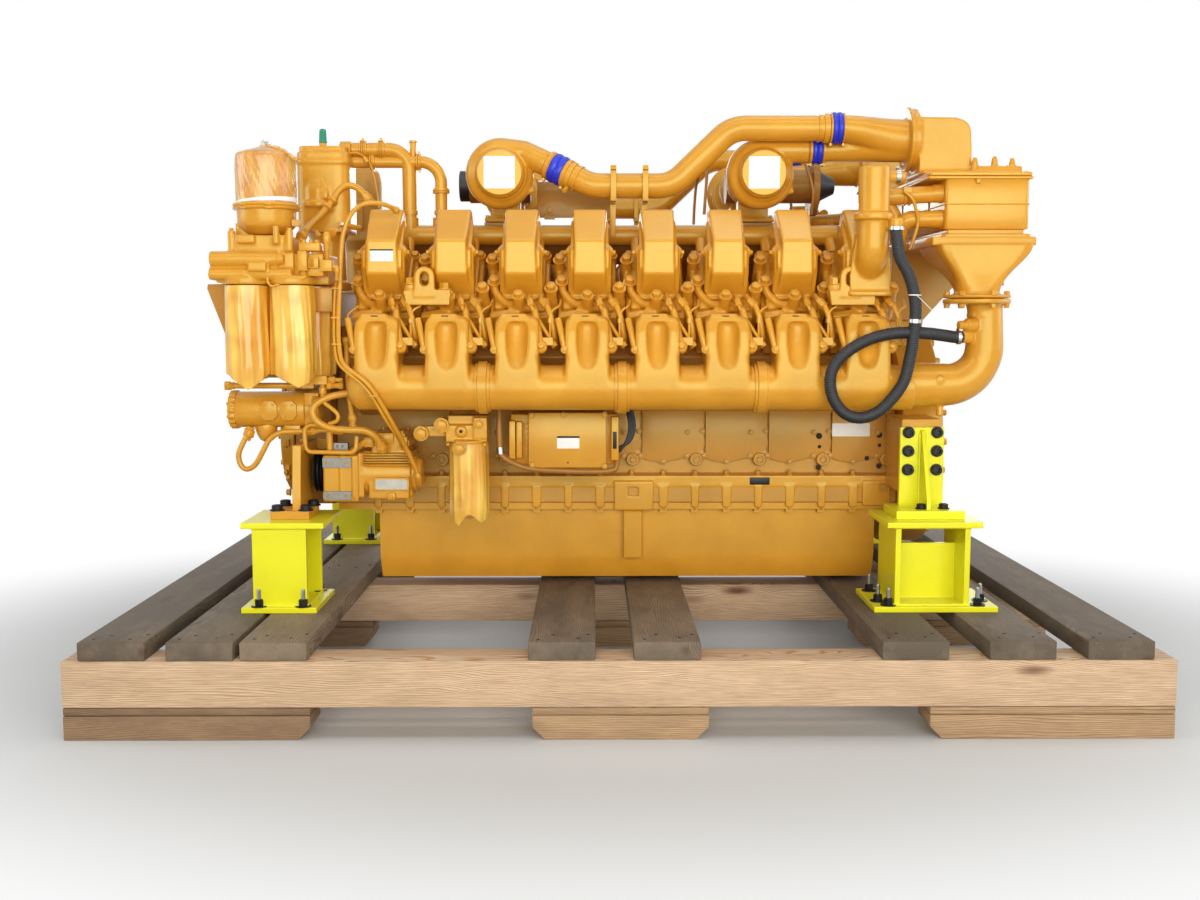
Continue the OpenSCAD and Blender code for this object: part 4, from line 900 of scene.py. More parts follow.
shell = bmesh.new()
add_cover_shell(shell)
bmesh.ops.dissolve_limit(shell, angle_limit=0.01, verts=shell.verts, edges=shell.edges)
shell_mesh = bevelled(shell, 0.016, 5, 20)
cover = joined(shell_mesh)
add_plate_round(cover, -0.071, 0.071, -0.068, 0.2, 0.8, 0.815, 0.03)
for side in (-1, 1):
    add_rod(cover, (side * 0.04, 0.036, 0.936), (side * 0.083, 0.036, 0.936), 0.015)
    add_slab(cover, [(0.056, 0.952), (0.016, 0.952), (-0.03, 0.905), (-0.05, 0.82), (0.06, 0.82)],
        *sorted((side * 0.03, side * 0.076)))
    add_slab(cover, [(0.08, 0.94), (0.01, 0.968), (-0.034, 0.93), (-0.05, 0.82), (0.11, 0.82)],
        *sorted((side * 0.03, side * 0.068)))
    add_slab(cover, [(0.18, 0.955), (0.04, 0.955), (0.03, 0.81), (0.185, 0.81)],
        *sorted((side * 0.03, side * 0.0665)))
cover_mesh = cast_shape(cover, 0.0032, smooth=12, keep=0.3)
cover_mesh.transform(BANK)
cover_row = in_row(cover_mesh, AMBER_SMOOTH, first=FIRST_X + COVER_X)
finish_sides("rocker_covers_{}_dressed", cover_row, AMBER_SMOOTH, "cover_enamel", smooth=60)

ear_screws = []
for x in cylinder_x:
    for side in (-1, 1):
        ear_screws.append((bank(x + COVER_X + side * 0.0815, 0.036, 0.936), (side, 0, 0), 0.013))
finish_pair("rocker_cover_screws", bolts(ear_screws, AMBER, head=0.55, washer=0.8))
print("cover:", len(cover_mesh.polygons), "faces, 16 of them")

# %% [markdown]
# ## Cylinder heads
# A head is a separate casting for each cylinder. Its four front bolts stand on columns at
# different heights, and curved arms tie the columns together. The gaps between heads stay open.

# %% Cylinder heads
HEAD_BOLTS = [  # x, p, height s of the bolt seat, across flats
    (-0.09, -0.004, 0.832, 0.03), (-0.1, 0.096, 0.844, 0.03), (0.112, -0.048, 0.842, 0.03),
    (0.0, -0.11, 0.866, 0.028), (0.09, 0.178, 0.79, 0.024), (-0.09, 0.178, 0.79, 0.024),
]
head = bmesh.new()
add_boxes(head, (-0.104, -0.118, 0.622, 0.104, 0.192, 0.772), (-0.088, -0.1, 0.76, 0.088, 0.19, 0.799),
    (-0.092, -0.164, 0.632, 0.08, -0.1, 0.742))
for x, p, seat, _ in HEAD_BOLTS:
    add_rod(head, (x, p, 0.64), (x, p, seat), 0.0205 if p < 0.1 else 0.017)
# arms from the corner columns to the one in front, with a web below the left arm
add_tube(head, smooth_path([(-0.09, -0.02, 0.812), (-0.072, -0.055, 0.806), (-0.04, -0.092, 0.806),
    (0.0, -0.112, 0.83)], 4), 0.0155)
add_tube(head, [(0.0, -0.112, 0.815), (0.045, -0.112, 0.8), (0.08, -0.085, 0.792),
    (0.112, -0.048, 0.808)], 0.011)
add_tube(head, [(-0.09, -0.004, 0.8), (-0.1, 0.045, 0.785), (-0.1, 0.096, 0.805)], 0.014)
add_box(head, (0.006, -0.112, 0.786), (0.092, -0.095, 0.802))
add_face(head, [(-0.104, 0.8), (-0.05, 0.812), (0.004, 0.812), (0.022, 0.72), (0.012, 0.69), (-0.08, 0.69)],
    -0.118, -0.148)
add_rods(head, (0.112, -0.048, 0.7, 0.112, -0.048, 0.79, 0.0235),
    (0.06, -0.15, 0.66, 0.06, -0.15, 0.735, 0.017))
head_cuts = bmesh.new()
add_tube(head_cuts, [(-0.05, -0.185, 0.745), (-0.052, -0.12, 0.748)], 0.017)
head_mesh = cast_shape(head, 0.0042, head_cuts, smooth=5, keep=0.34)
head_mesh.transform(BANK)
finish_sides("cylinder_heads_{}_dressed", in_row(head_mesh, AMBER), smooth=55)

up_bank = BANK.to_3x3() @ Vector((0, 0, 1))
head_bolts = [(bank(x + bx, p, seat - 0.001), up_bank, width) for x in cylinder_x
              for bx, p, seat, width in HEAD_BOLTS]
finish_pair("cylinder_head_bolts", bolts(head_bolts, AMBER, head=0.6, washer=0.8))
print("head:", len(head_mesh.polygons), "faces,", len(head_bolts) * 2, "bolts")

# %% [markdown]
# ## Intake manifolds
# The manifold is a chain of castings: a thick pipe with eight arched branches that rise and
# bend back to the heads. Each arch has a long hollow in its face, and the pipe is scooped out
# between the arches, so the front reads as one flowing surface.

# %% Intake manifolds
INTAKE_Y, INTAKE_Z, INTAKE_R = -0.72, 1.089, 0.0785
ARCH = [(-0.7985, 1.085), (-0.799, 1.15), (-0.797, 1.22), (-0.79, 1.285), (-0.77, 1.326), (-0.73, 1.338),
    (-0.685, 1.322), (-0.6, 1.245), (-0.63, 1.2), (-0.665, 1.16), (-0.7, 1.12), (-0.71, 1.085)]
intake = bmesh.new()
add_rod(intake, (-0.905, INTAKE_Y, INTAKE_Z), (1.022, INTAKE_Y, INTAKE_Z), INTAKE_R, 40)
add_lathe(intake, (-0.935, INTAKE_Y, INTAKE_Z + 0.006), (1, 0, 0),
    [(0, 0.03), (0.004, 0.052), (0.016, 0.068), (0.04, 0.0785)])
intake_cuts, ribs = bmesh.new(), bmesh.new()
for x in cylinder_x:
    for spread, lift in ((0.076, 0.0), (0.065, 0.01)):
        arch = [(y - lift * 0.2, z + (lift if z > 1.26 and y < -0.65 else 0) - 0.01) for y, z in ARCH]
        add_slab(intake, arch, x - spread, x + spread)
    add_box(intake, (x - 0.06, -0.764, 1.31), (x + 0.034, -0.73, 1.344))
    # the leaning rib with its screw boss, left of the arch
    add_tube(ribs, [(x - 0.101, -0.75, 1.328), (x - 0.077, -0.776, 1.224)], 0.0115, 12)
    add_rod(ribs, (x - 0.077, -0.74, 1.223), (x - 0.077, -0.794, 1.221), 0.014)
    # the hollow in the face of the arch, deep at the top and running out at the bottom
    hollow = [(-0.782, 1.318), (-0.787, 1.292), (-0.797, 1.25), (-0.808, 1.21), (-0.815, 1.182),
        (-0.817, 1.17), (-0.819, 1.16)]
    add_tube(intake_cuts, [(x, y, z) for y, z in hollow], 0.03, 18,
        [0.034, 0.037, 0.037, 0.036, 0.034, 0.029, 0.018])
for x in cylinder_x[:-1]:
    for sideways in (-0.011, 0.011):
        add_lathe(intake_cuts, (x + PITCH / 2 + sideways, -0.836, 1.1), (0.0, 0.26, 1.0),
            [(0.0, 0.014), (0.006, 0.028), (0.03, 0.038), (0.06, 0.042), (0.11, 0.046)], 20)
intake_mesh = cast_shape(intake, 0.0042, intake_cuts, smooth=26, keep=0.4)
intake_mesh = as_mesh(joined(intake_mesh, bevelled(ribs, 0.0025, 2, 40)))
collars = bmesh.new()
for x in (-0.466, 0.014, 0.494):
    add_lathe(collars, (x - 0.0255, INTAKE_Y, INTAKE_Z), (1, 0, 0), [(0, 0.079), (0.0, 0.0845),
        (0.009, 0.085), (0.011, 0.0915), (0.04, 0.0915), (0.042, 0.085), (0.051, 0.0845), (0.051, 0.079)], 48)
intake_mesh = as_mesh(joined(intake_mesh, as_mesh(collars)))
finish_sides("intake_manifold_{}_dressed", intake_mesh, smooth=50)

rib_screws = [((x - 0.077, -0.793, 1.222), (0, -1, 0), 0.015) for x in cylinder_x]
finish_pair("intake_screws", bolts(rib_screws, AMBER))

# dark boxes in the slots on top of the arches, as painted shade
slots = bmesh.new()
for x in cylinder_x:
    add_box(slots, (x - 0.02, -0.7655, 1.331), (x + 0.006, -0.756, 1.3375))
finish_pair("intake_slots", bevelled(slots, 0.003), OPENING_SHADE)
print("intake:", len(intake_mesh.polygons), "faces")

# %% [markdown]
# ## Turbochargers
# Four turbochargers stand between the banks. The compressor housing is a snail: a tube that
# grows as it winds round, then leaves at the top. A blanking disc with a blank paper label closes
# each inlet for transport. The hot side behind it is cast iron.

# %% Turbochargers
TURBO_Z, COMPRESSOR_Y, TURBINE_Y = 1.85, -0.4, -0.132
TURBO_X = {"left": -0.423, "right": 0.531}
SLOPE_START, SLOPE_END = Vector((-0.363, -0.4, 1.94)), Vector((-0.088, -0.466, 1.804))


def add_snail(bm, centre, major, small, large, outlet, sides=20):
    """A volute that winds clockwise as seen from the front and leaves along the outlet points."""
    path, radii, turns = [], [], 40
    for i in range(turns + 1):
        angle = math.radians(90 - 360 * i / turns)
        radius = small + (large - small) * (i / turns) ** 0.9
        reach = major - (large - radius) * 0.4
        path.append(Vector(centre) + Vector((reach * math.cos(angle), 0, reach * math.sin(angle))))
        radii.append(radius)
    for point in outlet:
        path.append(Vector(point))
        radii.append(large)
    add_tube(bm, path, large, sides, radii)


def add_turbo(bm, x, outlet):
    """Compressor, shaft housing and turbine around one axis at x."""
    z = TURBO_Z
    add_snail(bm, (x, COMPRESSOR_Y, z), 0.088, 0.032, 0.0455, outlet)
    add_lathe(bm, (x, COMPRESSOR_Y + 0.052, z), (0, -1, 0), [(0.0, 0.07), (0.002, 0.096), (0.022, 0.098),
        (0.045, 0.094), (0.075, 0.089), (0.082, 0.099), (0.094, 0.099), (0.1, 0.09), (0.118, 0.0875),
        (0.122, 0.081), (0.129, 0.079)], 56)
    add_lathe(bm, (x, COMPRESSOR_Y + 0.075, z), (0, -1, 0), [(0.0, 0.108), (0.004, 0.112), (0.018, 0.112),
        (0.024, 0.104)], 48)
    add_rod(bm, (x, COMPRESSOR_Y + 0.06, z), (x, TURBINE_Y - 0.05, z), 0.052)
    add_box(bm, (x - 0.035, COMPRESSOR_Y + 0.09, z - 0.085), (x + 0.035, TURBINE_Y - 0.07, z + 0.075))
    add_lathe(bm, (x, TURBINE_Y - 0.062, z), (0, 1, 0),
        [(0, 0.08), (0.003, 0.096), (0.016, 0.096), (0.02, 0.075)], 40)
    add_snail(bm, (x, TURBINE_Y, z), 0.066, 0.024, 0.0385, [(x + 0.02, TURBINE_Y, z + 0.062)])
    add_lathe(bm, (x, TURBINE_Y - 0.04, z), (0, 1, 0), [(0, 0.06), (0.1, 0.063), (0.106, 0.06)], 32)
    add_boxes(bm, (x - 0.058, TURBINE_Y - 0.045, 1.7, x + 0.058, TURBINE_Y + 0.03, z),
        (x - 0.079, TURBINE_Y - 0.054, 1.6955, x + 0.079, TURBINE_Y + 0.044, 1.7115))
    # a small drain boss low on the rim
    add_rod(bm, (x + 0.098, COMPRESSOR_Y - 0.004, z - 0.062),
        (x + 0.118, COMPRESSOR_Y - 0.004, z - 0.055), 0.011)


snail_out = {"left": [SLOPE_START + (SLOPE_END - SLOPE_START) * f for f in (0.1, 0.25, 0.41)],
    "right": [(0.59, COMPRESSOR_Y, 1.938), (0.65, COMPRESSOR_Y, 1.938), (0.702, COMPRESSOR_Y, 1.938)]}
discs, labels, turbo_bolts = bmesh.new(), bmesh.new(), []
for name, x in TURBO_X.items():
    snail = bmesh.new()
    add_turbo(snail, x, snail_out[name])
    mesh = cast_shape(snail, 0.0038, keep=0.4)
    finish_sides("turbocharger_{}_" + name + "_dressed", mesh, smooth=50)
    add_lathe(discs, (x, COMPRESSOR_Y - 0.072, TURBO_Z), (0, -1, 0), [(0, 0.078), (0.002, 0.0805),
        (0.0095, 0.0805), (0.0115, 0.0785), (0.0118, 0.074), (0.0118, 0.02)], 64)
    add_box(labels, (x - 0.056, COMPRESSOR_Y - 0.0846, TURBO_Z - 0.057),
        (x + 0.056, COMPRESSOR_Y - 0.0836, TURBO_Z + 0.057))
    for k in range(8):
        a = math.radians(22.5 + 45 * k)
        place = (x + 0.098 * math.cos(a), COMPRESSOR_Y + 0.057, TURBO_Z + 0.098 * math.sin(a))
        turbo_bolts.append((place, (0, -1, 0), 0.011))
    for dx in (-0.068, 0.068):
        for dy in (-0.04, 0.03):
            turbo_bolts.append(((x + dx, TURBINE_Y + dy, 1.7115), (0, 0, 1), 0.014))
finish_pair("turbo_inlet_discs", discs, AMBER_SMOOTH)
finish_pair("turbo_disc_labels", labels, LABEL)
finish_pair("turbo_bolts", bolts(turbo_bolts, AMBER))
print(len(turbo_bolts), "bolts on the two front turbochargers")

# %% [markdown]
# ## Charge air pipes
# Pressed steel pipes carry the hot compressed air to the cooler. Blue silicone sleeves with two
# humps take up the movement between them, each held by two band clamps that were painted over.

# %% Charge pipes, sleeves and clamps
sleeves, bands = bmesh.new(), bmesh.new()


def add_coupling(start, end, radius, bare=0.62):
    """A sleeve from start to end. The middle is bare silicone, the ends are painted and clamped."""
    start, end = Vector(start), Vector(end)
    way, length = (end - start).normalized(), (end - start).length
    edge = length * (1 - bare) / 2
    middle = length * bare
    humps = []
    for i in range(25):
        t = i / 24
        humps.append((t * middle, radius + 0.0045 * abs(math.sin(2 * math.pi * t)) ** 0.7))
    add_lathe(sleeves, start + way * edge, way, humps, 40)
    for place in (start, end - way * edge):
        add_lathe(bands, place, way, [(0, radius - 0.004), (0.0005, radius), (edge - 0.0005, radius),
            (edge, radius - 0.002)], 40)
        band = place + way * edge * 0.2
        add_lathe(bands, band, way, [(0, radius), (0.0005, radius + 0.0028), (edge * 0.6, radius + 0.0028),
            (edge * 0.6 + 0.0005, radius)], 40)
        out = way.cross(Vector((0, 1, 0))).normalized()
        foot = band + way * edge * 0.3 + out * (radius + 0.006) * (1 if out.z < 0 else -1)
        add_rod(bands, foot - Vector((0, 0.016, 0)), foot + Vector((0, 0.016, 0)), 0.0055, 10)


add_coupling(SLOPE_START.lerp(SLOPE_END, 0.41), SLOPE_START.lerp(SLOPE_END, 0.7), 0.05, 0.56)
add_coupling((0.764, -0.466, 2.008), (0.818, -0.466, 2.008), 0.0525, 0.7)
add_coupling((0.702, -0.4, 1.938), (0.762, -0.4, 1.938), 0.0455, 0.62)
finish_pair("charge_couplings_dressed", sleeves, SILICONE, "silicone_sleeve", smooth=60)
finish_pair("charge_coupling_bands", bands)

RUN = [SLOPE_START.lerp(SLOPE_END, 0.7), SLOPE_END, (0.198, -0.466, 1.804), (0.413, -0.466, 2.008),
    (0.764, -0.466, 2.008)]
run_line = rounded_path(RUN, 0.125, 12)
pipe = bmesh.new()
add_tube(pipe, run_line, 0.045, 40)
run_way = (SLOPE_END - SLOPE_START).normalized()
add_lathe(pipe, RUN[0] - run_way * 0.001, run_way, [(0, 0.046), (0.001, 0.0515), (0.016, 0.0515),
    (0.018, 0.047), (0.032, 0.047), (0.033, 0.0495), (0.04, 0.0495), (0.041, 0.045)], 40)
add_lathe(pipe, (0.722, -0.466, 2.008), (1, 0, 0), [(0, 0.0455), (0.001, 0.0495), (0.006, 0.0495),
    (0.007, 0.047), (0.02, 0.047), (0.021, 0.0525), (0.04, 0.0525), (0.041, 0.047)], 40)
lug = RUN[0] + run_way * 0.012
add_rod(pipe, lug + Vector((-0.022, -0.03, -0.045)), lug + Vector((-0.03, -0.046, -0.056)), 0.008, 14)
straps = bmesh.new()
for x in (-0.013, 0.102):
    # a flat strap over the front of the pipe, closed by a bar behind it
    add_boxes(straps, (x - 0.0105, -0.5185, 1.742, x + 0.0105, -0.5125, 1.872),
        (x - 0.0105, -0.5185, 1.852, x + 0.0105, -0.41, 1.858),
        (x - 0.0105, -0.418, 1.628, x + 0.0105, -0.412, 1.858),
        (x - 0.0105, -0.5185, 1.742, x + 0.0105, -0.375, 1.748))
finish_sides("charge_pipe_{}_dressed", joined(as_mesh(pipe), bevelled(straps, 0.0015)), smooth=40)
strap_bolts = [((x, y, z), (0, 0, 1), 0.013) for x in (-0.013, 0.102)
               for y, z in ((-0.5025, 1.858), (-0.424, 1.858), (-0.39, 1.748))]
finish_pair("charge_pipe_bolts", bolts(strap_bolts, AMBER))
print("turbochargers: 4, sleeves: 6")

# %% [markdown]
# ## Charge air cooler and its ducts
# Hot air comes in through two cast elbows on the lid, crosses the cooler box and goes down
# through two funnels to the intake risers. Each funnel changes from a rectangle to a circle
# with an S-shaped side, which a loft of rounded rectangles gives.

# %% Plenum elbows
CONE_Y, CONE_Z, BOX_Y, PLENUM_Z, LID = -0.466, 2.008, -0.42, 1.974, 1.837
plenum = bmesh.new()


def eased(t):
    """From 0 to 1 with a slow start and a slow end."""
    return t * t * (3 - 2 * t)


def add_cone(bm, start, run, radius, growth, sides):
    """A pipe that runs along X while it widens and shifts sideways, both without a corner."""
    path, radii = [], []
    for i in range(13):
        t, ease = i / 12, eased(i / 12)
        path.append((start[0] + run[0] * t, start[1] + run[1] * ease, start[2] + run[2] * ease))
        radii.append(radius + growth * ease)
    add_tube(bm, path, radius, sides, radii)


add_cone(plenum, (0.806, CONE_Y, CONE_Z), (0.252, BOX_Y - CONE_Y, PLENUM_Z - CONE_Z), 0.047, 0.026, 36)
add_cone(plenum, (0.75, -0.4, 1.938), (0.305, -0.018, 0.018), 0.04, 0.022, 32)
add_lathe(plenum, (1.05, BOX_Y, PLENUM_Z), (1, 0, 0), [(0, 0.1), (0.001, 0.1145), (0.014, 0.1145),
    (0.016, 0.1), (0.02, 0.1), (0.021, 0.11), (0.035, 0.11), (0.036, 0.096)], 56)
dome = [(1.082, LID + 0.004), (1.29, LID + 0.004), (1.27, LID + 0.05), (1.267, LID + 0.15),
    (1.258, LID + 0.178), (1.238, LID + 0.196), (1.21, LID + 0.204), (1.082, LID + 0.206)]
XZ = Matrix(((1, 0, 0, 0), (0, 0, 1, 0), (0, 1, 0, 0), (0, 0, 0, 1)))  # drawn in X and Z, deep along Y
add_prism(plenum, dome, Matrix.Translation((0, -0.512, 0)) @ XZ, 0.184)
add_boxes(plenum, (1.086, -0.548, LID, 1.441, -0.292, LID + 0.014),
    (1.29, -0.546, LID, 1.441, -0.294, LID + 0.03))
for x, y, high in ((1.275, -0.53, 0.062), (1.275, -0.31, 0.062), (1.345, -0.53, 0.066), (1.345, -0.31, 0.066),
                   (1.408, -0.53, 0.06), (1.408, -0.31, 0.06), (1.43, -0.42, 0.048)):
    add_lathe(plenum, (x, y, LID), (0, 0, 1), [(0, 0.014), (high - 0.018, 0.012), (high - 0.006, 0.009),
        (high, 0.007)], 16)
finish_sides("inlet_plenum_{}_dressed", cast_shape(plenum, smooth=7, keep=0.4), smooth=50)
print("elbows meet the dome", PLENUM_Z, "m above the floor")

# %% [markdown]
# The cooler itself is a stack of plates with rounded corners: a lid, a gasket edge, the core's
# case with its seam, and a floor. Thin ribs stand on its two long sides.

# %% Cooler box
cooler = bmesh.new()
add_plate_round(cooler, 1.086, 1.455, -0.63, 0.63, 1.813, 1.8225, 0.012)
add_plate_round(cooler, 1.09, 1.452, -0.63, 0.63, 1.824, 1.837, 0.014)
add_plate_round(cooler, 1.15, 1.445, -0.62, 0.62, 1.64, 1.8135, 0.014)
add_plate_round(cooler, 1.162, 1.433, -0.608, 0.608, 1.62, 1.6405, 0.008)
add_plate_round(cooler, 1.14, 1.455, -0.63, 0.63, 1.6065, 1.623, 0.02)
add_plate_round(cooler, 1.1475, 1.4475, -0.6225, 0.6225, 1.7235, 1.7285, 0.009)
for y in (-0.4, -0.2, 0.0, 0.2, 0.4):
    for x in (1.146, 1.4445):
        add_box(cooler, (x, y - 0.006, 1.655), (x + 0.0045, y + 0.006, 1.8))
finish_piece("charge_cooler_dressed", bevelled(cooler, 0.0035, 2, 45), AMBER_SMOOTH, smooth=40)

edge_bolts = []
for z, way in ((1.837, 1), (1.606, -1)):
    for i in range(13):
        y = -0.56 + 1.12 * i / 12
        for x in (1.113, 1.449) if way > 0 else (1.145, 1.449):
            edge_bolts.append(((x, y, z), (0, 0, way), 0.012))
edge_bolts += [((1.262, y, 1.812), (0, 0, -1), 0.018) for y in (-0.624, 0.624)]
finish_piece("charge_cooler_bolts", bolts(edge_bolts, AMBER))
print(len(edge_bolts), "bolts round the cooler")

# %% [markdown]
# A loft joins level sections, each a rounded rectangle. The power in the formula below runs from
# 2, which is an ellipse, to 12, which is almost a rectangle.

# %% Funnels
FUNNEL_Y, RISER_X = -0.72, 1.27


def rounded_ring(half_x, half_y, corner, count=48):
    """A rounded rectangle as points at even angles, so that rings of any shape join one to one."""
    ring = []
    for k in range(count):
        angle = 2 * math.pi * k / count
        c, s = math.cos(angle), math.sin(angle)
        power = 2.0 + 10.0 * max(0.0, 1 - corner)
        scale = (abs(c) ** power + abs(s) ** power) ** (-1 / power)
        ring.append((half_x * c * scale, half_y * s * scale))
    return ring


def add_loft(bm, sections):
    """sections: (centre, half x, half y, roundness 0 to 1), all level."""
    rings = []
    for centre, half_x, half_y, corner in sections:
        rings.append([bm.verts.new((centre[0] + x, centre[1] + y, centre[2]))
                      for x, y in rounded_ring(half_x, half_y, corner)])
    skin(bm, rings)


funnel = bmesh.new()
sections = []
for i in range(17):
    t, ease = i / 16, eased(i / 16)
    width = 0.074 + (0.166 - 0.074) * ease ** 1.5
    depth = 0.07 + (0.15 - 0.07) * ease ** 1.2
    sections.append(((1.238 + 0.02 * ease, FUNNEL_Y + 0.1 * ease, 1.4 + 0.18 * t), width, depth, 1.0 - ease))
add_loft(funnel, sections)
add_lathe(funnel, (1.2385, FUNNEL_Y, 1.396), (0, 0, 1),
    [(0, 0.1), (0.001, 0.114), (0.01, 0.114), (0.014, 0.08)], 48)
lip = bmesh.new()
add_plate_round(lip, 1.076, 1.435, -0.734, -0.408, 1.577, 1.606, 0.008)
funnel_mesh = cast_shape(funnel, smooth=5)
finish_pair("cooler_funnels_dressed", joined(funnel_mesh, bevelled(lip, 0.003, 2, 45)), smooth=50)
softened("cooler_support", AMBER_DULL_SHADED, "engine_enamel", 0.008, 3)
print("funnel:", len(funnel_mesh.polygons), "faces")

# %% [markdown]
# ## Intake risers
# From the end of each manifold a wide elbow turns up to the funnel. The flange between them
# has eight bolts, and the elbow carries the bosses for the sensors and the drain.

# %% Risers
riser = bmesh.new()
riser_line = rounded_path([(1.0, -0.72, 1.099), (RISER_X, -0.72, 1.099), (RISER_X, -0.72, 1.385)], 0.135, 14)
riser_wall = [0.0755 - 0.001 * i for i in range(12)] + [0.0645] * 20
riser_wall = riser_wall[:len(riser_line) - 2] + [0.064, 0.056]
add_tube(riser, riser_line, 0.0655, 40, riser_wall)
add_lathe(riser, (1.2385, -0.72, 1.377), (0, 0, 1),
    [(0, 0.1), (0.001, 0.114), (0.0165, 0.114), (0.0175, 0.1)], 56)
add_lathe(riser, (RISER_X - 0.004, -0.72, 1.33), (0, 0, 1), [(0, 0.056), (0.004, 0.059), (0.012, 0.059),
    (0.015, 0.056), (0.048, 0.062)], 40)
add_rods(riser, (1.215, -0.75, 1.262, 1.165, -0.76, 1.262, 0.02),
    (1.225, -0.76, 1.305, 1.188, -0.772, 1.305, 0.0235), (1.2, -0.768, 1.305, 1.16, -0.778, 1.305, 0.015),
    (1.1, -0.745, 1.12, 1.1, -0.7965, 1.12, 0.0125), (1.118, -0.73, 1.045, 1.118, -0.735, 0.99, 0.012))
finish_pair("intake_risers_dressed", cast_shape(riser, smooth=5, keep=0.38), smooth=50)
flange_bolts = []
for k in range(6):
    a = math.radians(45 + 60 * k)
    for z, way in ((1.4065, 1), (1.377, -1)):
        place = (1.2385 + 0.099 * math.cos(a), -0.72 + 0.099 * math.sin(a), z)
        flange_bolts.append((place, (0, 0, way), 0.018))
flange_bolts.append(((1.306, -0.742, 1.452), (1, -0.3, 0), 0.022))
finish_pair("intake_flange_bolts", bolts(flange_bolts, AMBER))
print(len(flange_bolts), "bolts round a riser's flange")

# %% [markdown]
# ## Coolant pipes
# Behind the covers a gallery pipe runs along each bank. At the flywheel end a wide riser takes
# the coolant from a cast pedestal on the last head, and short elbows lead on to the cooler.

# %% Riser and pedestal
coolant = bmesh.new()
RX, RY = 0.867, -0.762
add_lathe(coolant, (RX, RY, 1.56), (0, 0, 1), [(0, 0.05), (0.02, 0.0525), (0.098, 0.053), (0.099, 0.067),
    (0.102, 0.0685), (0.118, 0.0685), (0.121, 0.067), (0.126, 0.052), (0.226, 0.054), (0.227, 0.0528),
    (0.23, 0.0528), (0.231, 0.054), (0.274, 0.054), (0.277, 0.0525)], 40)
add_tube(coolant, rounded_path([(RX, RY, 1.62), (RX, RY, 1.545), (RX, -0.64, 1.47)], 0.055, 8), 0.0535, 32)
PEDESTAL = [(0.8, 1.418), (0.936, 1.418), (0.94, 1.47), (0.936, 1.53), (0.925, 1.6), (0.82, 1.615),
    (0.806, 1.545), (0.798, 1.47)]
add_face(coolant, PEDESTAL, -0.6, -0.728)
add_plate_round(coolant, 0.792, 0.944, -0.738, -0.6, 1.404, 1.42, 0.02)
add_tube(coolant, rounded_path([(RX, RY, 1.805), (0.958, RY, 1.805), (0.966, -0.7, 1.8)], 0.02, 5), 0.0205, 24)
add_rods(coolant, (0.93, -0.806, 1.64, 0.905, -0.772, 1.64, 0.019),
    (0.93, -0.819, 1.662, 0.93, -0.819, 1.632, 0.0225))
finish_pair("coolant_risers_dressed", cast_shape(coolant, 0.0036, smooth=5, keep=0.4), smooth=50)

elbows = bmesh.new()
upper = rounded_path([(0.88, -0.7, 1.749), (0.88, -0.56, 1.752), (1.15, -0.56, 1.768)], 0.055, 8)
add_tube(elbows, upper, 0.03, 28)
lower = rounded_path([(1.01, -0.52, 1.6), (1.01, -0.556, 1.678), (1.15, -0.56, 1.678)], 0.042, 8)
add_tube(elbows, lower, 0.03, 28)
add_tube(elbows, [(0.95, -0.54, 1.75), (0.99, -0.53, 1.7), (1.01, -0.52, 1.61)], 0.024, 20)
for z in (1.768, 1.678):
    add_lathe(elbows, (1.118, -0.56, z), (1, 0, 0),
        [(0, 0.03), (0.006, 0.0318), (0.026, 0.033), (0.032, 0.0345)], 28)
for x in (1.012, 1.028):
    add_lathe(elbows, (x, -0.56, 1.759), (1, 0, 0.06), [(0, 0.03), (0.0005, 0.0335), (0.009, 0.0335),
        (0.0095, 0.03)], 28)
add_box(elbows, (1.008, -0.596, 1.768), (1.036, -0.578, 1.786))
add_tube(elbows, smooth_path([(1.006, -0.602, 1.772), (1.034, -0.606, 1.748), (1.05, -0.6, 1.712),
    (1.062, -0.59, 1.66), (1.04, -0.58, 1.575)], 6), 0.0062, 10)
finish_pair("cooler_coolant_pipes_dressed", elbows, smooth=40)


def clamp_band(bm, place, way, radius, width=0.012):
    """A worm drive hose clamp: a band with a screw housing."""
    way = Vector(way).normalized()
    place = Vector(place)
    add_lathe(bm, place - way * width / 2, way, [(0, radius), (0.0004, radius + 0.0016),
        (width - 0.0004, radius + 0.0016), (width, radius)], 32)
    out = way.orthogonal().normalized()
    side = way.cross(out)
    foot = place + out * (radius + 0.005)
    add_rod(bm, foot - side * 0.011, foot + side * 0.013, 0.005, 10)
    add_lathe(bm, foot + side * 0.013, side, [(0, 0.0058), (0.006, 0.0058)], 6)


clamps = bmesh.new()
clamp_band(clamps, (0.93, -0.8195, 1.628), (0, 0, 1), 0.0225)
clamp_band(clamps, (0.946, RY, 1.805), (1, 0, 0), 0.021, 0.014)
clamp_band(clamps, (1.168, -0.762, 1.2625), (1, 0, 0), 0.0225)
clamp_band(clamps, (0.998, -0.832, 1.318), (0.05, 0, 1), 0.0225, 0.013)
finish_piece("hose_clamps", clamps, ZINC, "bare_steel")
ties = bmesh.new()
tie_at = Vector((0.9955, -0.832, 1.405))
add_lathe(ties, tie_at - Vector((0, 0, 0.002)), (0.02, 0, 1), [(0, 0.0212), (0.0004, 0.0224), (0.004, 0.0224),
    (0.0044, 0.0212)], 28)
add_tube(ties, [tie_at + Vector((0.0, -0.023, 0)), tie_at + Vector((0.02, -0.03, -0.02)),
    tie_at + Vector((0.05, -0.034, -0.05))], 0.0013, 6)
finish_piece("hose_tie", ties, CABLE_TIE, "pulley_black")
print("coolant pipes done")

# %% [markdown]
# ## Oil filters
# A cast head carries three spin-on canisters and a centrifugal filter. For transport they were
# wrapped in thin film before the engine was painted, so the film is amber too. The film was
# gathered under the head and hangs in long folds that end in ragged points.

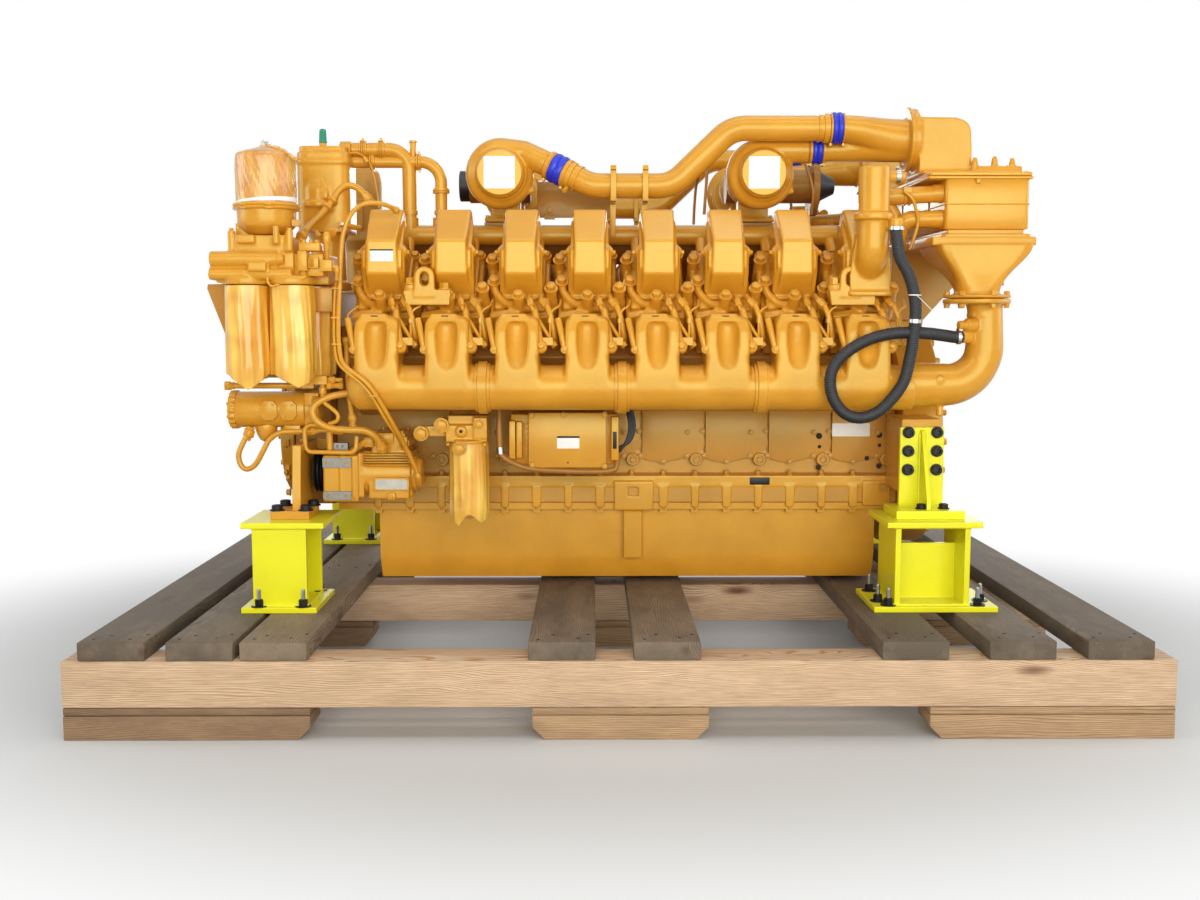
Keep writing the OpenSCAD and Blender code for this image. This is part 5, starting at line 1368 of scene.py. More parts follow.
# %% Film over paint
def film_finish(name, colour, painted_highlight, shade):
    """Thin glossy film with paint on it: broad hanging folds, painted highlights and painted shade."""
    material, tree, shader, place = new_material(name)
    tall = add_node(tree, "ShaderNodeMapping", {"Vector": place, "Scale": (1.0, 1.0, 0.16)}).outputs["Vector"]
    folds = noise_field(tree, tall, 17.0, 1.5, Distortion=0.3)
    # painted highlights: the paler colour follows the noise of the folds
    base = blend(tree, remap(tree, folds, 0.4, 0.68), colour, painted_highlight)
    # painted shade: darker patches from a second noise
    dark = remap(tree, noise_field(tree, place, 11.0, 1.0), 0.5, 0.7, 0.0, 0.55)
    crease = bump(tree, folds, 0.6, 0.012)
    set_inputs(tree, shader, {
        "Base Color": blend(tree, dark, base, shade),
        "Roughness": 0.26, "Coat Weight": 0.3, "Coat Roughness": 0.1,
        "Normal": bump(tree, noise_field(tree, tall, 60.0), 0.25, 0.003, Normal=crease), })
    return material


# for each film: its colour, its painted highlight and its painted shade
FILM = film_finish("painted_film", "#DE9F34", "#F2CB5C", "#C9862A")
FILM_CAN = film_finish("painted_film_can", "#CF9040", "#E0AE55", "#B97C30")


def film_wrap(centre, radius, top, bottom, points, seed, slack=0.012):
    """An open sleeve of film. points are (angle, reach, half width) of the tips of its lower hem."""
    rng = random.Random(seed)
    waves = [(n, rng.uniform(0, 6.28), rng.uniform(0.6, 1.0)) for n in (3, 5, 8, 13)]
    bm = bmesh.new()
    around, rows = 144, 44
    rings = []
    for j in range(rows + 1):
        t = j / rows
        ring = []
        for k in range(around):
            angle = 2 * math.pi * k / around
            # each fold has a sharp crest and a broad trough, and wanders a little on its way down
            fold = sum(a * (1 - abs(math.sin(0.5 * n * angle + p + 0.7 * math.sin(2.2 * t + p)))) ** 1.6
                for n, p, a in waves) / 1.9
            loose = slack * (0.25 + 0.75 * math.sin(math.pi * min(1.0, 0.1 + 0.62 * t)) ** 0.8)
            low = bottom
            for place, reach, half in points:
                gap = abs((angle - place + math.pi) % (2 * math.pi) - math.pi)
                low -= reach * max(0.0, 1 - gap / half)
            z = top + (low - top) * t
            under = max(0.0, bottom + 0.02 - z) / 0.06
            r = (radius + 0.0012 + loose * fold) * (1 - 0.1 * min(1.0, under) ** 1.4)
            ring.append(bm.verts.new((centre[0] + r * math.cos(angle), centre[1] + r * math.sin(angle), z)))
        rings.append(ring)
    for near, far in zip(rings, rings[1:]):
        for k in range(around):
            m = (k + 1) % around
            bm.faces.new((near[k], far[k], far[m], near[m]))
    return with_modifiers(as_mesh(bm), ("SOLIDIFY", {"thickness": 0.0005, "offset": 1.0}))


FILTER_TOP, FILTER_BOTTOM, FILTER_R = 1.441, 1.131, 0.0705
FILTER_AT = [(-1.268, -0.75), (-1.114, -0.75), (-1.075, -0.6)]
canisters = bmesh.new()
for x, y in FILTER_AT:
    add_lathe(canisters, (x, y, FILTER_TOP), (0, 0, -1), [(0, 0.06), (0.004, 0.0695), (0.012, FILTER_R),
        (0.29, FILTER_R), (0.302, 0.066), (0.318, 0.05), (0.33, 0.03), (0.334, 0.012)], 40)
finish_piece("oil_filters_dressed", canisters, FILTER_PAINT, "wrapped_canister", smooth=40)
FRONT = math.radians(-90)
tips = [[(FRONT + 0.2, 0.052, 1.15), (FRONT + 2.6, 0.02, 0.9)],
    [(FRONT + 0.45, 0.044, 1.25), (FRONT + 2.9, 0.02, 0.9)],
    [(FRONT + 0.8, 0.02, 0.9), (FRONT + 2.6, 0.018, 0.9)]]
for number, ((x, y), points) in enumerate(zip(FILTER_AT, tips)):
    seed = 11 + 7 * number
    wrap = film_wrap((x, y), FILTER_R, FILTER_TOP - 0.003, FILTER_BOTTOM + 0.006, points, seed, 0.0085)
    piece = finish_piece(f"oil_filter_film_{number + 1}", wrap, FILM, "wrapped_canister", smooth=60)
print("films:", FILM.name, FILM_CAN.name)

# %% [markdown]
# The head is one casting. Its oil galleries show as round bars along the front, and each screw
# has its own boss. The brass fittings beside it are turned shapes with six sides.

# %% Filter head
head = bmesh.new()
add_boxes(head, (-1.36, -0.792, 1.447, -1.096, -0.545, 1.548), (-1.312, -0.792, 1.54, -1.096, -0.545, 1.596),
    (-1.29, -0.8, 1.55, -1.115, -0.6, 1.606))
add_rod(head, (-1.376, -0.794, 1.526), (-1.15, -0.794, 1.526), 0.027)
for along, r in ((-1.15, 0.0235), (-1.14, 0.02), (-1.128, 0.0165)):
    add_rod(head, (along - 0.012, -0.794, 1.526), (along, -0.794, 1.526), r)
add_rod(head, (-1.38, -0.8, 1.476), (-1.1, -0.8, 1.476), 0.02)
add_box(head, (-1.386, -0.76, 1.456), (-1.35, -0.6, 1.51))
for x, y in FILTER_AT:
    add_lathe(head, (x, y, 1.4415), (0, 0, 1), [(0, 0.0765), (0.02, 0.0765), (0.03, 0.07)], 40)
for x, y, z0, z1, r in ((-1.306, -0.782, 1.54, 1.612, 0.013), (-1.15, -0.806, 1.575, 1.638, 0.011),
                        (-1.109, -0.795, 1.552, 1.616, 0.0135), (-1.306, -0.61, 1.55, 1.612, 0.013),
                        (-1.109, -0.61, 1.55, 1.612, 0.013)):
    add_rod(head, (x, y, z0), (x, y, z1), r)
add_boxes(head, (-1.28, -0.817, 1.578, -1.221, -0.795, 1.607), (-1.243, -0.831, 1.485, -1.182, -0.812, 1.516))
# the arm that carries the head on the gear case, with the outlet to the third filter
add_boxes(head, (-1.15, -0.7, 1.443, -0.998, -0.535, 1.545), (-1.178, -0.545, 1.453, -1.052, -0.44, 1.548),
    (-1.178, -0.468, 1.195, -1.067, -0.432, 1.5))
cuts = bmesh.new()
add_rods(cuts, (-1.249, -0.84, 1.594, -1.249, -0.8, 1.594, 0.004, 12),
    (-1.23, -0.84, 1.5, -1.23, -0.812, 1.5, 0.0042, 12))
head_mesh = cast_shape(head, 0.0034, cuts, smooth=5, keep=0.4)
finish_piece("oil_filter_head_dressed", head_mesh, smooth=50)

# the valve block, its hex fittings and the elbow that hangs from the tee
valves = bmesh.new()
add_boxes(valves, (-1.074, -0.812, 1.553, -1.004, -0.74, 1.58), (-1.079, -0.812, 1.486, -1.048, -0.76, 1.553),
    (-1.048, -0.8, 1.495, -1.012, -0.75, 1.533), (-1.005, -0.806, 1.485, -0.966, -0.76, 1.524),
    (-1.1, -0.78, 1.47, -1.0, -0.6, 1.545))
valve_mesh = bevelled(valves, 0.003)
fittings = bmesh.new()
for x, z, r in ((-1.064, 1.588, 0.0085), (-1.04, 1.588, 0.006), (-1.02, 1.587, 0.0085)):
    add_lathe(fittings, (x, -0.78, z - 0.009), (0, 0, 1), [(0, r), (0.012, r), (0.013, r * 0.8)],
        6 if r > 0.007 else 16)
add_lathe(fittings, (-1.066, -0.79, 1.486), (0, 0, -1),
    [(0, 0.013), (0.012, 0.013), (0.013, 0.016), (0.027, 0.016)], 6)
add_lathe(fittings, (-1.179, -0.812, 1.524), (0, 0, -1), [(0, 0.0062), (0.03, 0.0062), (0.031, 0.0115),
    (0.046, 0.0115), (0.047, 0.007)], 6)
add_lathe(fittings, (-1.099, -0.812, 1.46), (-1, 0, -0.25), [(0, 0.0095), (0.018, 0.0095), (0.019, 0.0055)], 6)
add_rod(fittings, (-1.099, -0.812, 1.46), (-1.062, -0.8, 1.464), 0.01, 12)
add_lathe(fittings, (-0.985, -0.785, 1.524), (0, 0, 1), [(0, 0.0075), (0.03, 0.0075), (0.031, 0.0115),
    (0.058, 0.0115), (0.059, 0.0135), (0.085, 0.0135), (0.086, 0.011), (0.094, 0.009)], 6)
add_rod(fittings, (-0.966, -0.785, 1.5), (-0.948, -0.785, 1.5), 0.0075, 12)
add_lathe(fittings, (-0.953, -0.785, 1.5), (0, 0, -1),
    [(0, 0.009), (0.018, 0.009), (0.019, 0.0065), (0.04, 0.0065)], 6)
for k in range(5):
    add_rod(fittings, (-1.044 + 0.004 * k, -0.803, 1.5), (-1.044 + 0.004 * k, -0.803, 1.529), 0.0016, 6)
finish_piece("filter_valves", joined(valve_mesh, bevelled(fittings, 0.0008, 1)))
loop = bmesh.new()
add_tube(loop, smooth_path([(-1.179, -0.812, 1.48), (-1.18, -0.814, 1.452), (-1.168, -0.816, 1.436),
    (-1.145, -0.815, 1.441), (-1.118, -0.812, 1.455)], 6), 0.0042, 12)
finish_piece("filter_loop_pipe", loop, AMBER_SMOOTH)
guard = bmesh.new()
add_box(guard, (-1.084, -0.7, 1.35), (-0.988, -0.62, 1.432))
add_face(guard, [(-1.432, 1.446), (-1.12, 1.452), (-1.12, 1.12), (-1.32, 1.12), (-1.372, 1.262),
    (-1.434, 1.43)], -0.64, -0.652)
finish_piece("filter_guard_plate", bevelled(guard, 0.003), AMBER_DULL_SHADED)
print("filter head:", len(head_mesh.polygons), "faces")

# %% [markdown]
# ## Centrifugal filter
# The bowl bolts to the top of the head. A clamp ring holds the steel can, whose film was tied
# above in a knot of clear film and taped round its foot in white.

# %% Centrifugal filter
CX, CY = -1.205, -0.705
bowl = bmesh.new()
add_lathe(bowl, (CX, CY, 1.6105), (0, 0, 1), [(0, 0.062), (0.006, 0.07), (0.02, 0.086), (0.03, 0.0955),
    (0.045, 0.0985), (0.084, 0.0995), (0.085, 0.112), (0.093, 0.1135), (0.094, 0.109), (0.0965, 0.109),
    (0.0975, 0.1135), (0.105, 0.112), (0.1065, 0.1)], 64)
for x, y in ((-1.306, -0.782), (-1.109, -0.795)):
    add_rod(bowl, (x, y, 1.6), (x, y, 1.62), 0.013)
add_boxes(bowl, (CX - 0.1, CY - 0.03, 1.6105, CX - 0.05, CY + 0.03, 1.65),
    (-1.085, -0.745, 1.64, -1.112, -0.715, 1.662))
for angle in (-118, -72, 10):
    a = math.radians(angle)
    c, s = math.cos(a), math.sin(a)
    for lift in (-0.0035, 0.008):
        add_rod(bowl, (CX + 0.111 * c - 0.012 * s, CY + 0.111 * s + 0.012 * c, 1.703 + lift - 0.002),
            (CX + 0.111 * c + 0.012 * s, CY + 0.111 * s - 0.012 * c, 1.703 + lift - 0.002), 0.0055, 10)
finish_piece("centrifugal_filter_dressed", bevelled(bowl, 0.0012, 1), smooth=40)
can = bmesh.new()
add_lathe(can, (CX, CY, 1.716), (0, 0, 1), [(0, 0.094), (0.004, 0.0985), (0.15, 0.0985), (0.166, 0.095),
    (0.172, 0.088), (0.186, 0.04), (0.193, 0.015)], 56)
finish_piece("centrifuge_can", can, FILTER_PAINT, "wrapped_canister", smooth=40)
print("the bowl stands over", (CX, CY))

# %% [markdown]
# The film lies tight on the can, in short slanting creases that three sines of different pitch
# give. It is drawn up to a knot, and one tail of it hangs from there.

# %% Film on the can
def can_film(seed):
    """Film over a can: tight on the sides with short slanting creases, drawn up to a knot."""
    bm = bmesh.new()
    around, rings = 150, []
    profile = [(1.712, 0.1005), (1.735, 0.1005), (1.76, 0.1003), (1.785, 0.1003), (1.81, 0.1003),
        (1.835, 0.1003), (1.86, 0.1002), (1.876, 0.0985), (1.885, 0.0925), (1.8905, 0.08), (1.8955, 0.064),
        (1.9, 0.048), (1.905, 0.032), (1.91, 0.019), (1.915, 0.012)]
    dense = smooth_path([(r, 0.0, z) for z, r in profile], 4)
    for j, spot in enumerate(dense):
        ring = []
        for k in range(around):
            a = 2 * math.pi * k / around
            lean = a + 3.4 * (spot.z - 1.71)
            crease = (0.5 * math.sin(13 * lean + seed) + 0.35 * math.sin(31 * lean + 40 * spot.z)
                      + 0.3 * math.sin(57 * a - 70 * spot.z))
            low = 0.01 * math.sin(a + 0.6) + 0.004 * math.sin(5 * a)
            z = spot.z + (low if j == 0 else low * max(0.0, 1 - j / 8))
            r = spot.x + 0.0016 * crease * (0.35 if spot.z > 1.885 else 1.0)
            ring.append(bm.verts.new((CX + r * math.cos(a), CY + r * math.sin(a), z)))
        rings.append(ring)
    skin(bm, rings, caps=False)
    return with_modifiers(as_mesh(bm), ("SOLIDIFY", {"thickness": 0.0005, "offset": 1.0}))


piece = finish_piece("centrifuge_film", can_film(3), FILM_CAN, "wrapped_canister", smooth=60)
tape = bmesh.new()
tape_rings = []
for k in range(61):
    a = math.radians(-150 + 150 * k / 60)
    z = 1.7225 + 0.007 * math.sin(a + 2.1)
    half = 0.0035 + 0.005 * (k / 60)
    section = ((0.102, -half), (0.1034, -half), (0.1034, half), (0.102, half))
    tape_rings.append([tape.verts.new((CX + r * math.cos(a), CY + r * math.sin(a), z + dz))
                       for r, dz in section])
skin(tape, tape_rings)
finish_piece("centrifuge_tape", tape, LABEL, "wrapped_canister")
knot = bmesh.new()
rng = random.Random(5)
for _ in range(16):
    spot = Vector((CX + rng.uniform(-0.011, 0.011), CY + rng.uniform(-0.01, 0.01),
        1.918 + rng.uniform(-0.01, 0.01)))
    way = Vector((rng.uniform(-1, 1), rng.uniform(-1, 1), rng.uniform(-1, 1))).normalized()
    add_rod(knot, spot, spot + way * 0.01, 0.0055, 8)
knot_mesh = cast_shape(knot, 0.002, smooth=3, keep=0.6)
finish_piece("centrifuge_knot", knot_mesh, CLEAR_FILM, "wrapped_canister", smooth=60)
tail = bmesh.new()
tail_path = smooth_path([(CX + 0.01, CY - 0.004, 1.912), (CX + 0.045, CY - 0.03, 1.903),
    (CX + 0.08, CY - 0.05, 1.886), (CX + 0.105, CY - 0.06, 1.868), (CX + 0.125, CY - 0.062, 1.858)], 5)
add_tube(tail, tail_path, 0.005, 10,
    [0.006 - 0.003 * math.sin(i * 0.6) * (i % 3 == 0) for i in range(len(tail_path))])
finish_piece("centrifuge_film_tail", tail, FILM_CAN, "wrapped_canister", smooth=60)
head_bolts = [((x, y, 1.6185), (0, 0, 1), 0.015)
              for x, y in ((-1.306, -0.782), (-1.109, -0.795), (-1.306, -0.61), (-1.109, -0.61))]
finish_piece("filter_head_bolts", bolts(head_bolts, AMBER))
print("film wraps: 4")

# %% [markdown]
# ## Fuel pump
# The high pressure pump is a barrel beside the gear case with flat octagonal covers. Its front
# cap has a scalloped edge, which keeps the cap's bolts within the outline.

# %% Fuel pump
PY, PZ = -0.6, 1.005
pump = bmesh.new()
add_lathe(pump, (-1.366, PY, PZ), (1, 0, 0), [(0, 0.06), (0.002, 0.064), (0.261, 0.064), (0.262, 0.052),
    (0.288, 0.052), (0.289, 0.07), (0.312, 0.07), (0.314, 0.066)], 40)
add_boxes(pump, (-1.105, -0.648, 0.945, -1.055, -0.44, 1.066), (-1.3, -0.6, 0.945, -1.11, -0.47, 1.062))
add_lathe(pump, (-1.255, -0.6, 0.95), (0.15, 0, -1),
    [(0, 0.04), (0.03, 0.036), (0.05, 0.028), (0.06, 0.014)], 24)
add_box(pump, (-1.18, -0.64, 0.918), (-1.125, -0.48, 0.95))
for x in (-1.226, -1.158):
    add_face(pump, [(x + 0.029 * sx, PZ + dz) for sx, dz in ((-0.55, -0.034), (0.55, -0.034), (1, -0.019),
        (1, 0.019), (0.55, 0.034), (-0.55, 0.034), (-1, 0.019), (-1, -0.019))], -0.6, -0.673)
scallop = []
for k in range(144):
    a = 2 * math.pi * k / 144
    r = 0.0668 + 0.0022 * math.cos(18 * a)
    scallop.append((r * math.cos(a), r * math.sin(a)))
add_prism(pump, scallop, Matrix.Translation((-1.373, PY, PZ)) @ SIDE_PLANE, 0.024)
add_lathe(pump, (-1.373, PY, PZ), (-1, 0, 0), [(0, 0.055), (0.0015, 0.053), (0.0016, 0.03), (0.006, 0.026)], 40)
finish_piece("fuel_pump_dressed", bevelled(pump, 0.0018), smooth=40)
pump_bolts = [((x + dx, PY - 0.073, PZ + dz), (0, -1, 0), 0.0075) for x in (-1.226, -1.158)
    for dx in (-0.016, 0.016) for dz in (-0.02, 0.02)]
pump_bolts += [((-1.3738, PY + 0.046 * math.cos(a), PZ + 0.046 * math.sin(a)), (-1, 0, 0), 0.01)
    for a in [math.radians(30 + 60 * k) for k in range(6)]]
print(len(pump_bolts), "bolts on the pump")

# %% [markdown]
# ## Air compressor
# A single cylinder compressor hangs low on the gear case and is driven by a V belt pulley. Its
# unused mounting faces were masked during painting, so they show bare grey metal.

# %% Compressor
comp = bmesh.new()
AX_Y, AX_Z = -0.545, 0.77
add_lathe(comp, (-1.052, AX_Y, AX_Z), (1, 0, 0), [(0, 0.034), (0.01, 0.04), (0.02, 0.06), (0.03, 0.062)], 40)
add_boxes(comp, (-1.05, -0.628, 0.676, -0.925, -0.375, 0.842), (-0.925, -0.62, 0.69, -0.905, -0.38, 0.85))
add_lathe(comp, (-0.93, AX_Y, AX_Z), (1, 0, 0), [(0, 0.076), (0.19, 0.074), (0.191, 0.064), (0.193, 0.062)], 40)
add_boxes(comp, (-0.89, -0.618, 0.684, -0.745, -0.4, 0.77), (-0.905, -0.605, 0.8, -0.74, -0.4, 0.846),
    (-0.88, -0.6, 0.84, -0.76, -0.41, 0.918), (-0.91, -0.59, 0.868, -0.745, -0.42, 0.896))
add_rod(comp, (-0.96, -0.6, 0.845), (-0.89, -0.6, 0.9), 0.013)
for x, z in ((-0.752, 0.842), (-0.752, 0.7), (-0.9, 0.842)):
    add_rod(comp, (x - 0.012, -0.585, z), (x + 0.016, -0.585, z), 0.0125)
for x in (-0.985, -0.94):
    add_box(comp, (x - 0.004, -0.632, 0.69), (x + 0.004, -0.6, 0.838))
comp_mesh = cast_shape(comp, 0.0034, smooth=4, keep=0.42)
fins = bmesh.new()
for k in range(5):
    z = 0.806 + 0.0095 * k
    add_box(fins, (-0.915, -0.632, z), (-0.738, -0.395, z + 0.004))
add_lathe(fins, (-0.738, AX_Y, AX_Z), (1, 0, 0), [(0, 0.066), (0.014, 0.066), (0.015, 0.056), (0.03, 0.054),
    (0.034, 0.048)], 12)
add_boxes(fins, (-0.868, -0.633, 0.716, -0.742, -0.615, 0.762), (-0.82, -0.633, 0.684, -0.793, -0.615, 0.706))
for x0, x1, z in ((-0.905, -0.87, 0.9), (-0.78, -0.75, 0.9), (-0.86, -0.8, 0.912)):
    add_box(fins, (x0, -0.612, z - 0.03), (x1, -0.585, z + 0.008))
finish_piece("air_compressor_dressed", joined(comp_mesh, bevelled(fins, 0.001, 1)), smooth=45)
plates, plate_cuts = bmesh.new(), bmesh.new()
for x0, x1, z0, z1 in ((-1.05, -0.948, 0.798, 0.834), (-1.05, -0.948, 0.682, 0.714),
                       (-1.012, -0.958, 0.862, 0.888)):
    add_box(plates, (x0, -0.6335, z0), (x1, -0.61, z1))
    for x in (x0 + 0.018, x1 - 0.018):
        add_rod(plate_cuts, (x, -0.64, (z0 + z1) / 2), (x, -0.622, (z0 + z1) / 2), 0.005, 14)
cutter = bpy.data.objects.new("cutter", as_mesh(plate_cuts))
bpy.context.scene.collection.objects.link(cutter)
plate_mesh = with_modifiers(bevelled(plates, 0.0008, 1), ("BOOLEAN", {**SCOOP, "object": cutter}))
bpy.data.objects.remove(cutter)
finish_piece("compressor_machined_faces", plate_mesh, MACHINED, "bare_steel")
name_plate = bmesh.new()
add_box(name_plate, (-0.861, -0.6342, 0.721), (-0.749, -0.6325, 0.757))
finish_piece("compressor_plate", name_plate, SILVER_LABEL, "bare_steel")
pump_bolts += [((x, -0.633, z), (0, -1, 0), 0.007) for x in (-0.862, -0.748) for z in (0.72, 0.758)]
pump_bolts += [((x, y, 0.918), (0, 0, 1), 0.012) for x in (-0.868, -0.772) for y in (-0.588, -0.424)]
pump_bolts += [((-0.734, AX_Y + 0.058 * math.cos(a), AX_Z + 0.058 * math.sin(a)), (1, 0, 0), 0.01)
    for a in [math.radians(30 + 60 * k) for k in range(6)]]
pump_bolts += [((-0.807, -0.633, 0.695), (0, -1, 0), 0.01), ((-0.98, -0.632, 0.85), (0, -1, 0), 0.01)]
finish_piece("pump_bolts", bolts(pump_bolts, AMBER))

pulley = bmesh.new()
add_lathe(pulley, (-1.0885, -0.5595, 0.7815), (1, 0, 0), [(0, 0.024), (0.002, 0.026), (0.003, 0.06),
    (0.0045, 0.0775), (0.0075, 0.078), (0.0135, 0.066), (0.019, 0.078), (0.0215, 0.078), (0.0265, 0.066),
    (0.0315, 0.078), (0.033, 0.076), (0.0334, 0.03)], 56)
add_lathe(pulley, (-1.089, -0.5595, 0.7815), (-1, 0, 0), [(0, 0.018), (0.0005, 0.018), (0.0008, 0.016)], 6)
finish_piece("compressor_pulley_dressed", pulley, BLACK_BOLT, "pulley_black", smooth=30)
print("pump and compressor done")

# %% [markdown]
# ## Small pipes and hoses of the pump side
# Fuel and oil lines run between the pumps, the filters and the gear case. They are steel pipes
# of 8 to 20 mm and short hoses, all painted over with the engine, with hex nuts at their ends.

# %% Pipes and nuts
pipes, nuts = bmesh.new(), bmesh.new()


def add_line(points, radius, start_nut=True, end_nut=True, corner=None):
    """A pipe through points with a hex nut at each end. corner rounds straight runs."""
    line = smooth_path(points, 8) if corner is None else rounded_path(points, corner, 7)
    add_tube(pipes, line, radius, 14)
    for place, other, wanted in ((line[0], line[1], start_nut), (line[-1], line[-2], end_nut)):
        if wanted:
            way = (other - place).normalized()
            add_lathe(nuts, place - way * 0.002, way, [(0, radius * 1.3), (0.001, radius * 1.62),
                (radius * 1.9, radius * 1.62), (radius * 2.0, radius * 1.35), (radius * 3.2, radius * 1.3)], 6)


# high pressure rail above the pump, with the tee that feeds it
add_line([(-1.368, -0.69, 1.094), (-1.09, -0.69, 1.094)], 0.0105, True, False)
add_line([(-1.015, -0.69, 1.094), (-0.962, -0.68, 1.094)], 0.0085)
add_boxes(nuts, (-1.088, -0.708, 1.099, -1.012, -0.672, 1.128), (-1.1, -0.7, 1.085, -1.06, -0.672, 1.103))
add_lathe(nuts, (-1.012, -0.69, 1.114), (1, 0, 0), [(0, 0.01), (0.006, 0.01), (0.007, 0.0135),
    (0.026, 0.0135), (0.027, 0.008), (0.052, 0.008)], 6)
add_lathe(nuts, (-1.03, -0.69, 1.1), (0, 0, -1), [(0, 0.01), (0.012, 0.01), (0.013, 0.0135), (0.036, 0.0135),
    (0.037, 0.009)], 6)
add_line([(-1.03, -0.69, 1.062), (-1.03, -0.692, 1.04), (-0.992, -0.694, 1.008), (-0.978, -0.694, 0.99),
    (-0.984, -0.694, 0.97), (-1.012, -0.69, 0.96)], 0.0075, False, False)
# the U hose under the pump
add_line([(-1.306, -0.64, 0.926), (-1.324, -0.645, 0.893), (-1.341, -0.65, 0.85), (-1.335, -0.65, 0.812),
    (-1.312, -0.65, 0.796), (-1.282, -0.65, 0.814), (-1.256, -0.65, 0.858), (-1.23, -0.648, 0.903),
    (-1.192, -0.645, 0.926), (-1.15, -0.64, 0.929), (-1.09, -0.63, 0.93)], 0.0095, False, True)
add_lathe(nuts, (-1.3, -0.632, 0.945), (-0.3, -0.1, -1), [(0, 0.016), (0.01, 0.016), (0.011, 0.021),
    (0.036, 0.021), (0.037, 0.014), (0.05, 0.0125)], 6)
add_line([(-1.085, -0.64, 0.93), (-1.04, -0.64, 0.934), (-0.985, -0.636, 0.926), (-0.955, -0.63, 0.938)],
    0.009, True, False)
# the bent pipe loop in front of the compressor's inlet
add_line([(-1.04, -0.652, 0.953), (-1.106, -0.652, 0.953), (-1.103, -0.656, 0.858), (-0.925, -0.656, 0.855),
    (-0.922, -0.652, 0.912)], 0.0082, True, False, corner=0.024)
add_line([(-1.02, -0.64, 0.952), (-1.02, -0.64, 0.865)], 0.011, False, False)
print("stiff pipes have", len(pipes.faces), "faces")

# %% [markdown]
# Hoses swing in wide curves, since they have no bend of their own. The thin grease lines share
# one long way round the manifold and are clipped to each other.

# %% Hoses and grease lines
# the thick hose that swings round to the compressor's head
add_line([(-0.885, -0.67, 1.064), (-0.945, -0.676, 1.066), (-1.01, -0.69, 1.054), (-1.052, -0.7, 1.03),
    (-1.064, -0.704, 1.004), (-1.05, -0.704, 0.972), (-1.008, -0.7, 0.947), (-0.95, -0.69, 0.939),
    (-0.893, -0.68, 0.936), (-0.856, -0.668, 0.916), (-0.838, -0.65, 0.882), (-0.834, -0.635, 0.862)], 0.0125)
# the steep pipe beside the manifold's end
add_line([(-0.952, -0.64, 1.26), (-0.95, -0.65, 1.162), (-0.942, -0.66, 1.04), (-0.934, -0.655, 0.966)], 0.0098)
add_lathe(nuts, (-0.936, -0.656, 0.99), (0.05, 0, -1), [(0, 0.0105), (0.002, 0.016), (0.018, 0.016),
    (0.02, 0.012), (0.034, 0.012), (0.035, 0.015), (0.048, 0.015)], 6)
# the short hose from the thermostat to the filter head
arch = [(-1.11, -0.62, 1.61), (-1.094, -0.56, 1.65), (-1.062, -0.48, 1.705), (-1.031, -0.44, 1.755),
    (-1.01, -0.43, 1.79), (-0.978, -0.43, 1.809), (-0.945, -0.43, 1.8), (-0.918, -0.43, 1.775),
    (-0.902, -0.42, 1.75)]
add_line(arch, 0.0125)
for f in (0.36, 0.44):
    spot = Vector(arch[2]).lerp(Vector(arch[3]), (f - 0.3) * 6)
    way = Vector(arch[3]) - Vector(arch[2])
    add_lathe(nuts, spot, way, [(0, 0.013), (0.001, 0.019), (0.012, 0.019), (0.013, 0.013)], 20)
add_line([(-1.15, -0.47, 1.632), (-1.12, -0.5, 1.64), (-1.08, -0.52, 1.64), (-1.066, -0.52, 1.62)], 0.006)
add_line([(-0.985, -0.7, 1.62), (-0.975, -0.64, 1.65), (-0.965, -0.56, 1.655), (-0.925, -0.5, 1.65)], 0.01,
    True, False)
# the long grease line: over the cover, down beside the heads and round the manifold to the compressor
long_line = [(-0.768, -0.64, 1.7), (-0.8, -0.69, 1.716), (-0.852, -0.72, 1.72), (-0.89, -0.722, 1.705),
    (-0.92, -0.722, 1.67), (-0.94, -0.722, 1.62), (-0.949, -0.724, 1.56), (-0.955, -0.735, 1.43),
    (-0.956, -0.76, 1.33), (-0.95, -0.79, 1.24), (-0.93, -0.815, 1.172), (-0.862, -0.822, 1.118),
    (-0.825, -0.815, 1.07), (-0.785, -0.77, 0.985), (-0.745, -0.69, 0.88), (-0.716, -0.655, 0.8),
    (-0.706, -0.64, 0.76)]
add_line(long_line, 0.008)
second = [(x - 0.0155, y + 0.002, z) for x, y, z in long_line[7:11]]
second += [(x - 0.0105, y - 0.004, z - 0.0095) for x, y, z in long_line[11:14]]
second += [(-0.765, -0.688, 0.9), (-0.762, -0.64, 0.87)]
add_line([(-0.953, -0.785, 1.462)] + second, 0.0052)
clips, clip_half = bmesh.new(), Vector((0.0165, 0.0095, 0.003))
for k in (0, 1, 2, 5):
    middle = (Vector(long_line[k + 7]) + Vector(second[k])) / 2
    add_box(clips, middle - clip_half, middle + clip_half)
finish_piece("line_clips", bevelled(clips, 0.0015, 1))
# thin control pipe between the first two covers
add_line([(-0.935, -0.7, 1.3), (-0.935, -0.705, 1.335), (-0.922, -0.706, 1.352),
    (-0.898, -0.706, 1.368)], 0.0036)
pipe_mesh = as_mesh(pipes)
finish_piece("pump_side_pipes", pipe_mesh, smooth=50)
finish_piece("pump_side_nuts", bevelled(nuts, 0.0009, 1))
print("pump side pipes:", len(pipe_mesh.polygons), "faces")

# %% [markdown]
# ## Thermostat housing and crossover pipes
# The housing stands on the gear case. A rounded belly with a flange shows at its front, and a
# boss on top has a green protective cap. Two pipes cross from it to the vee, held by clamps
# with ribbed rubber rings.

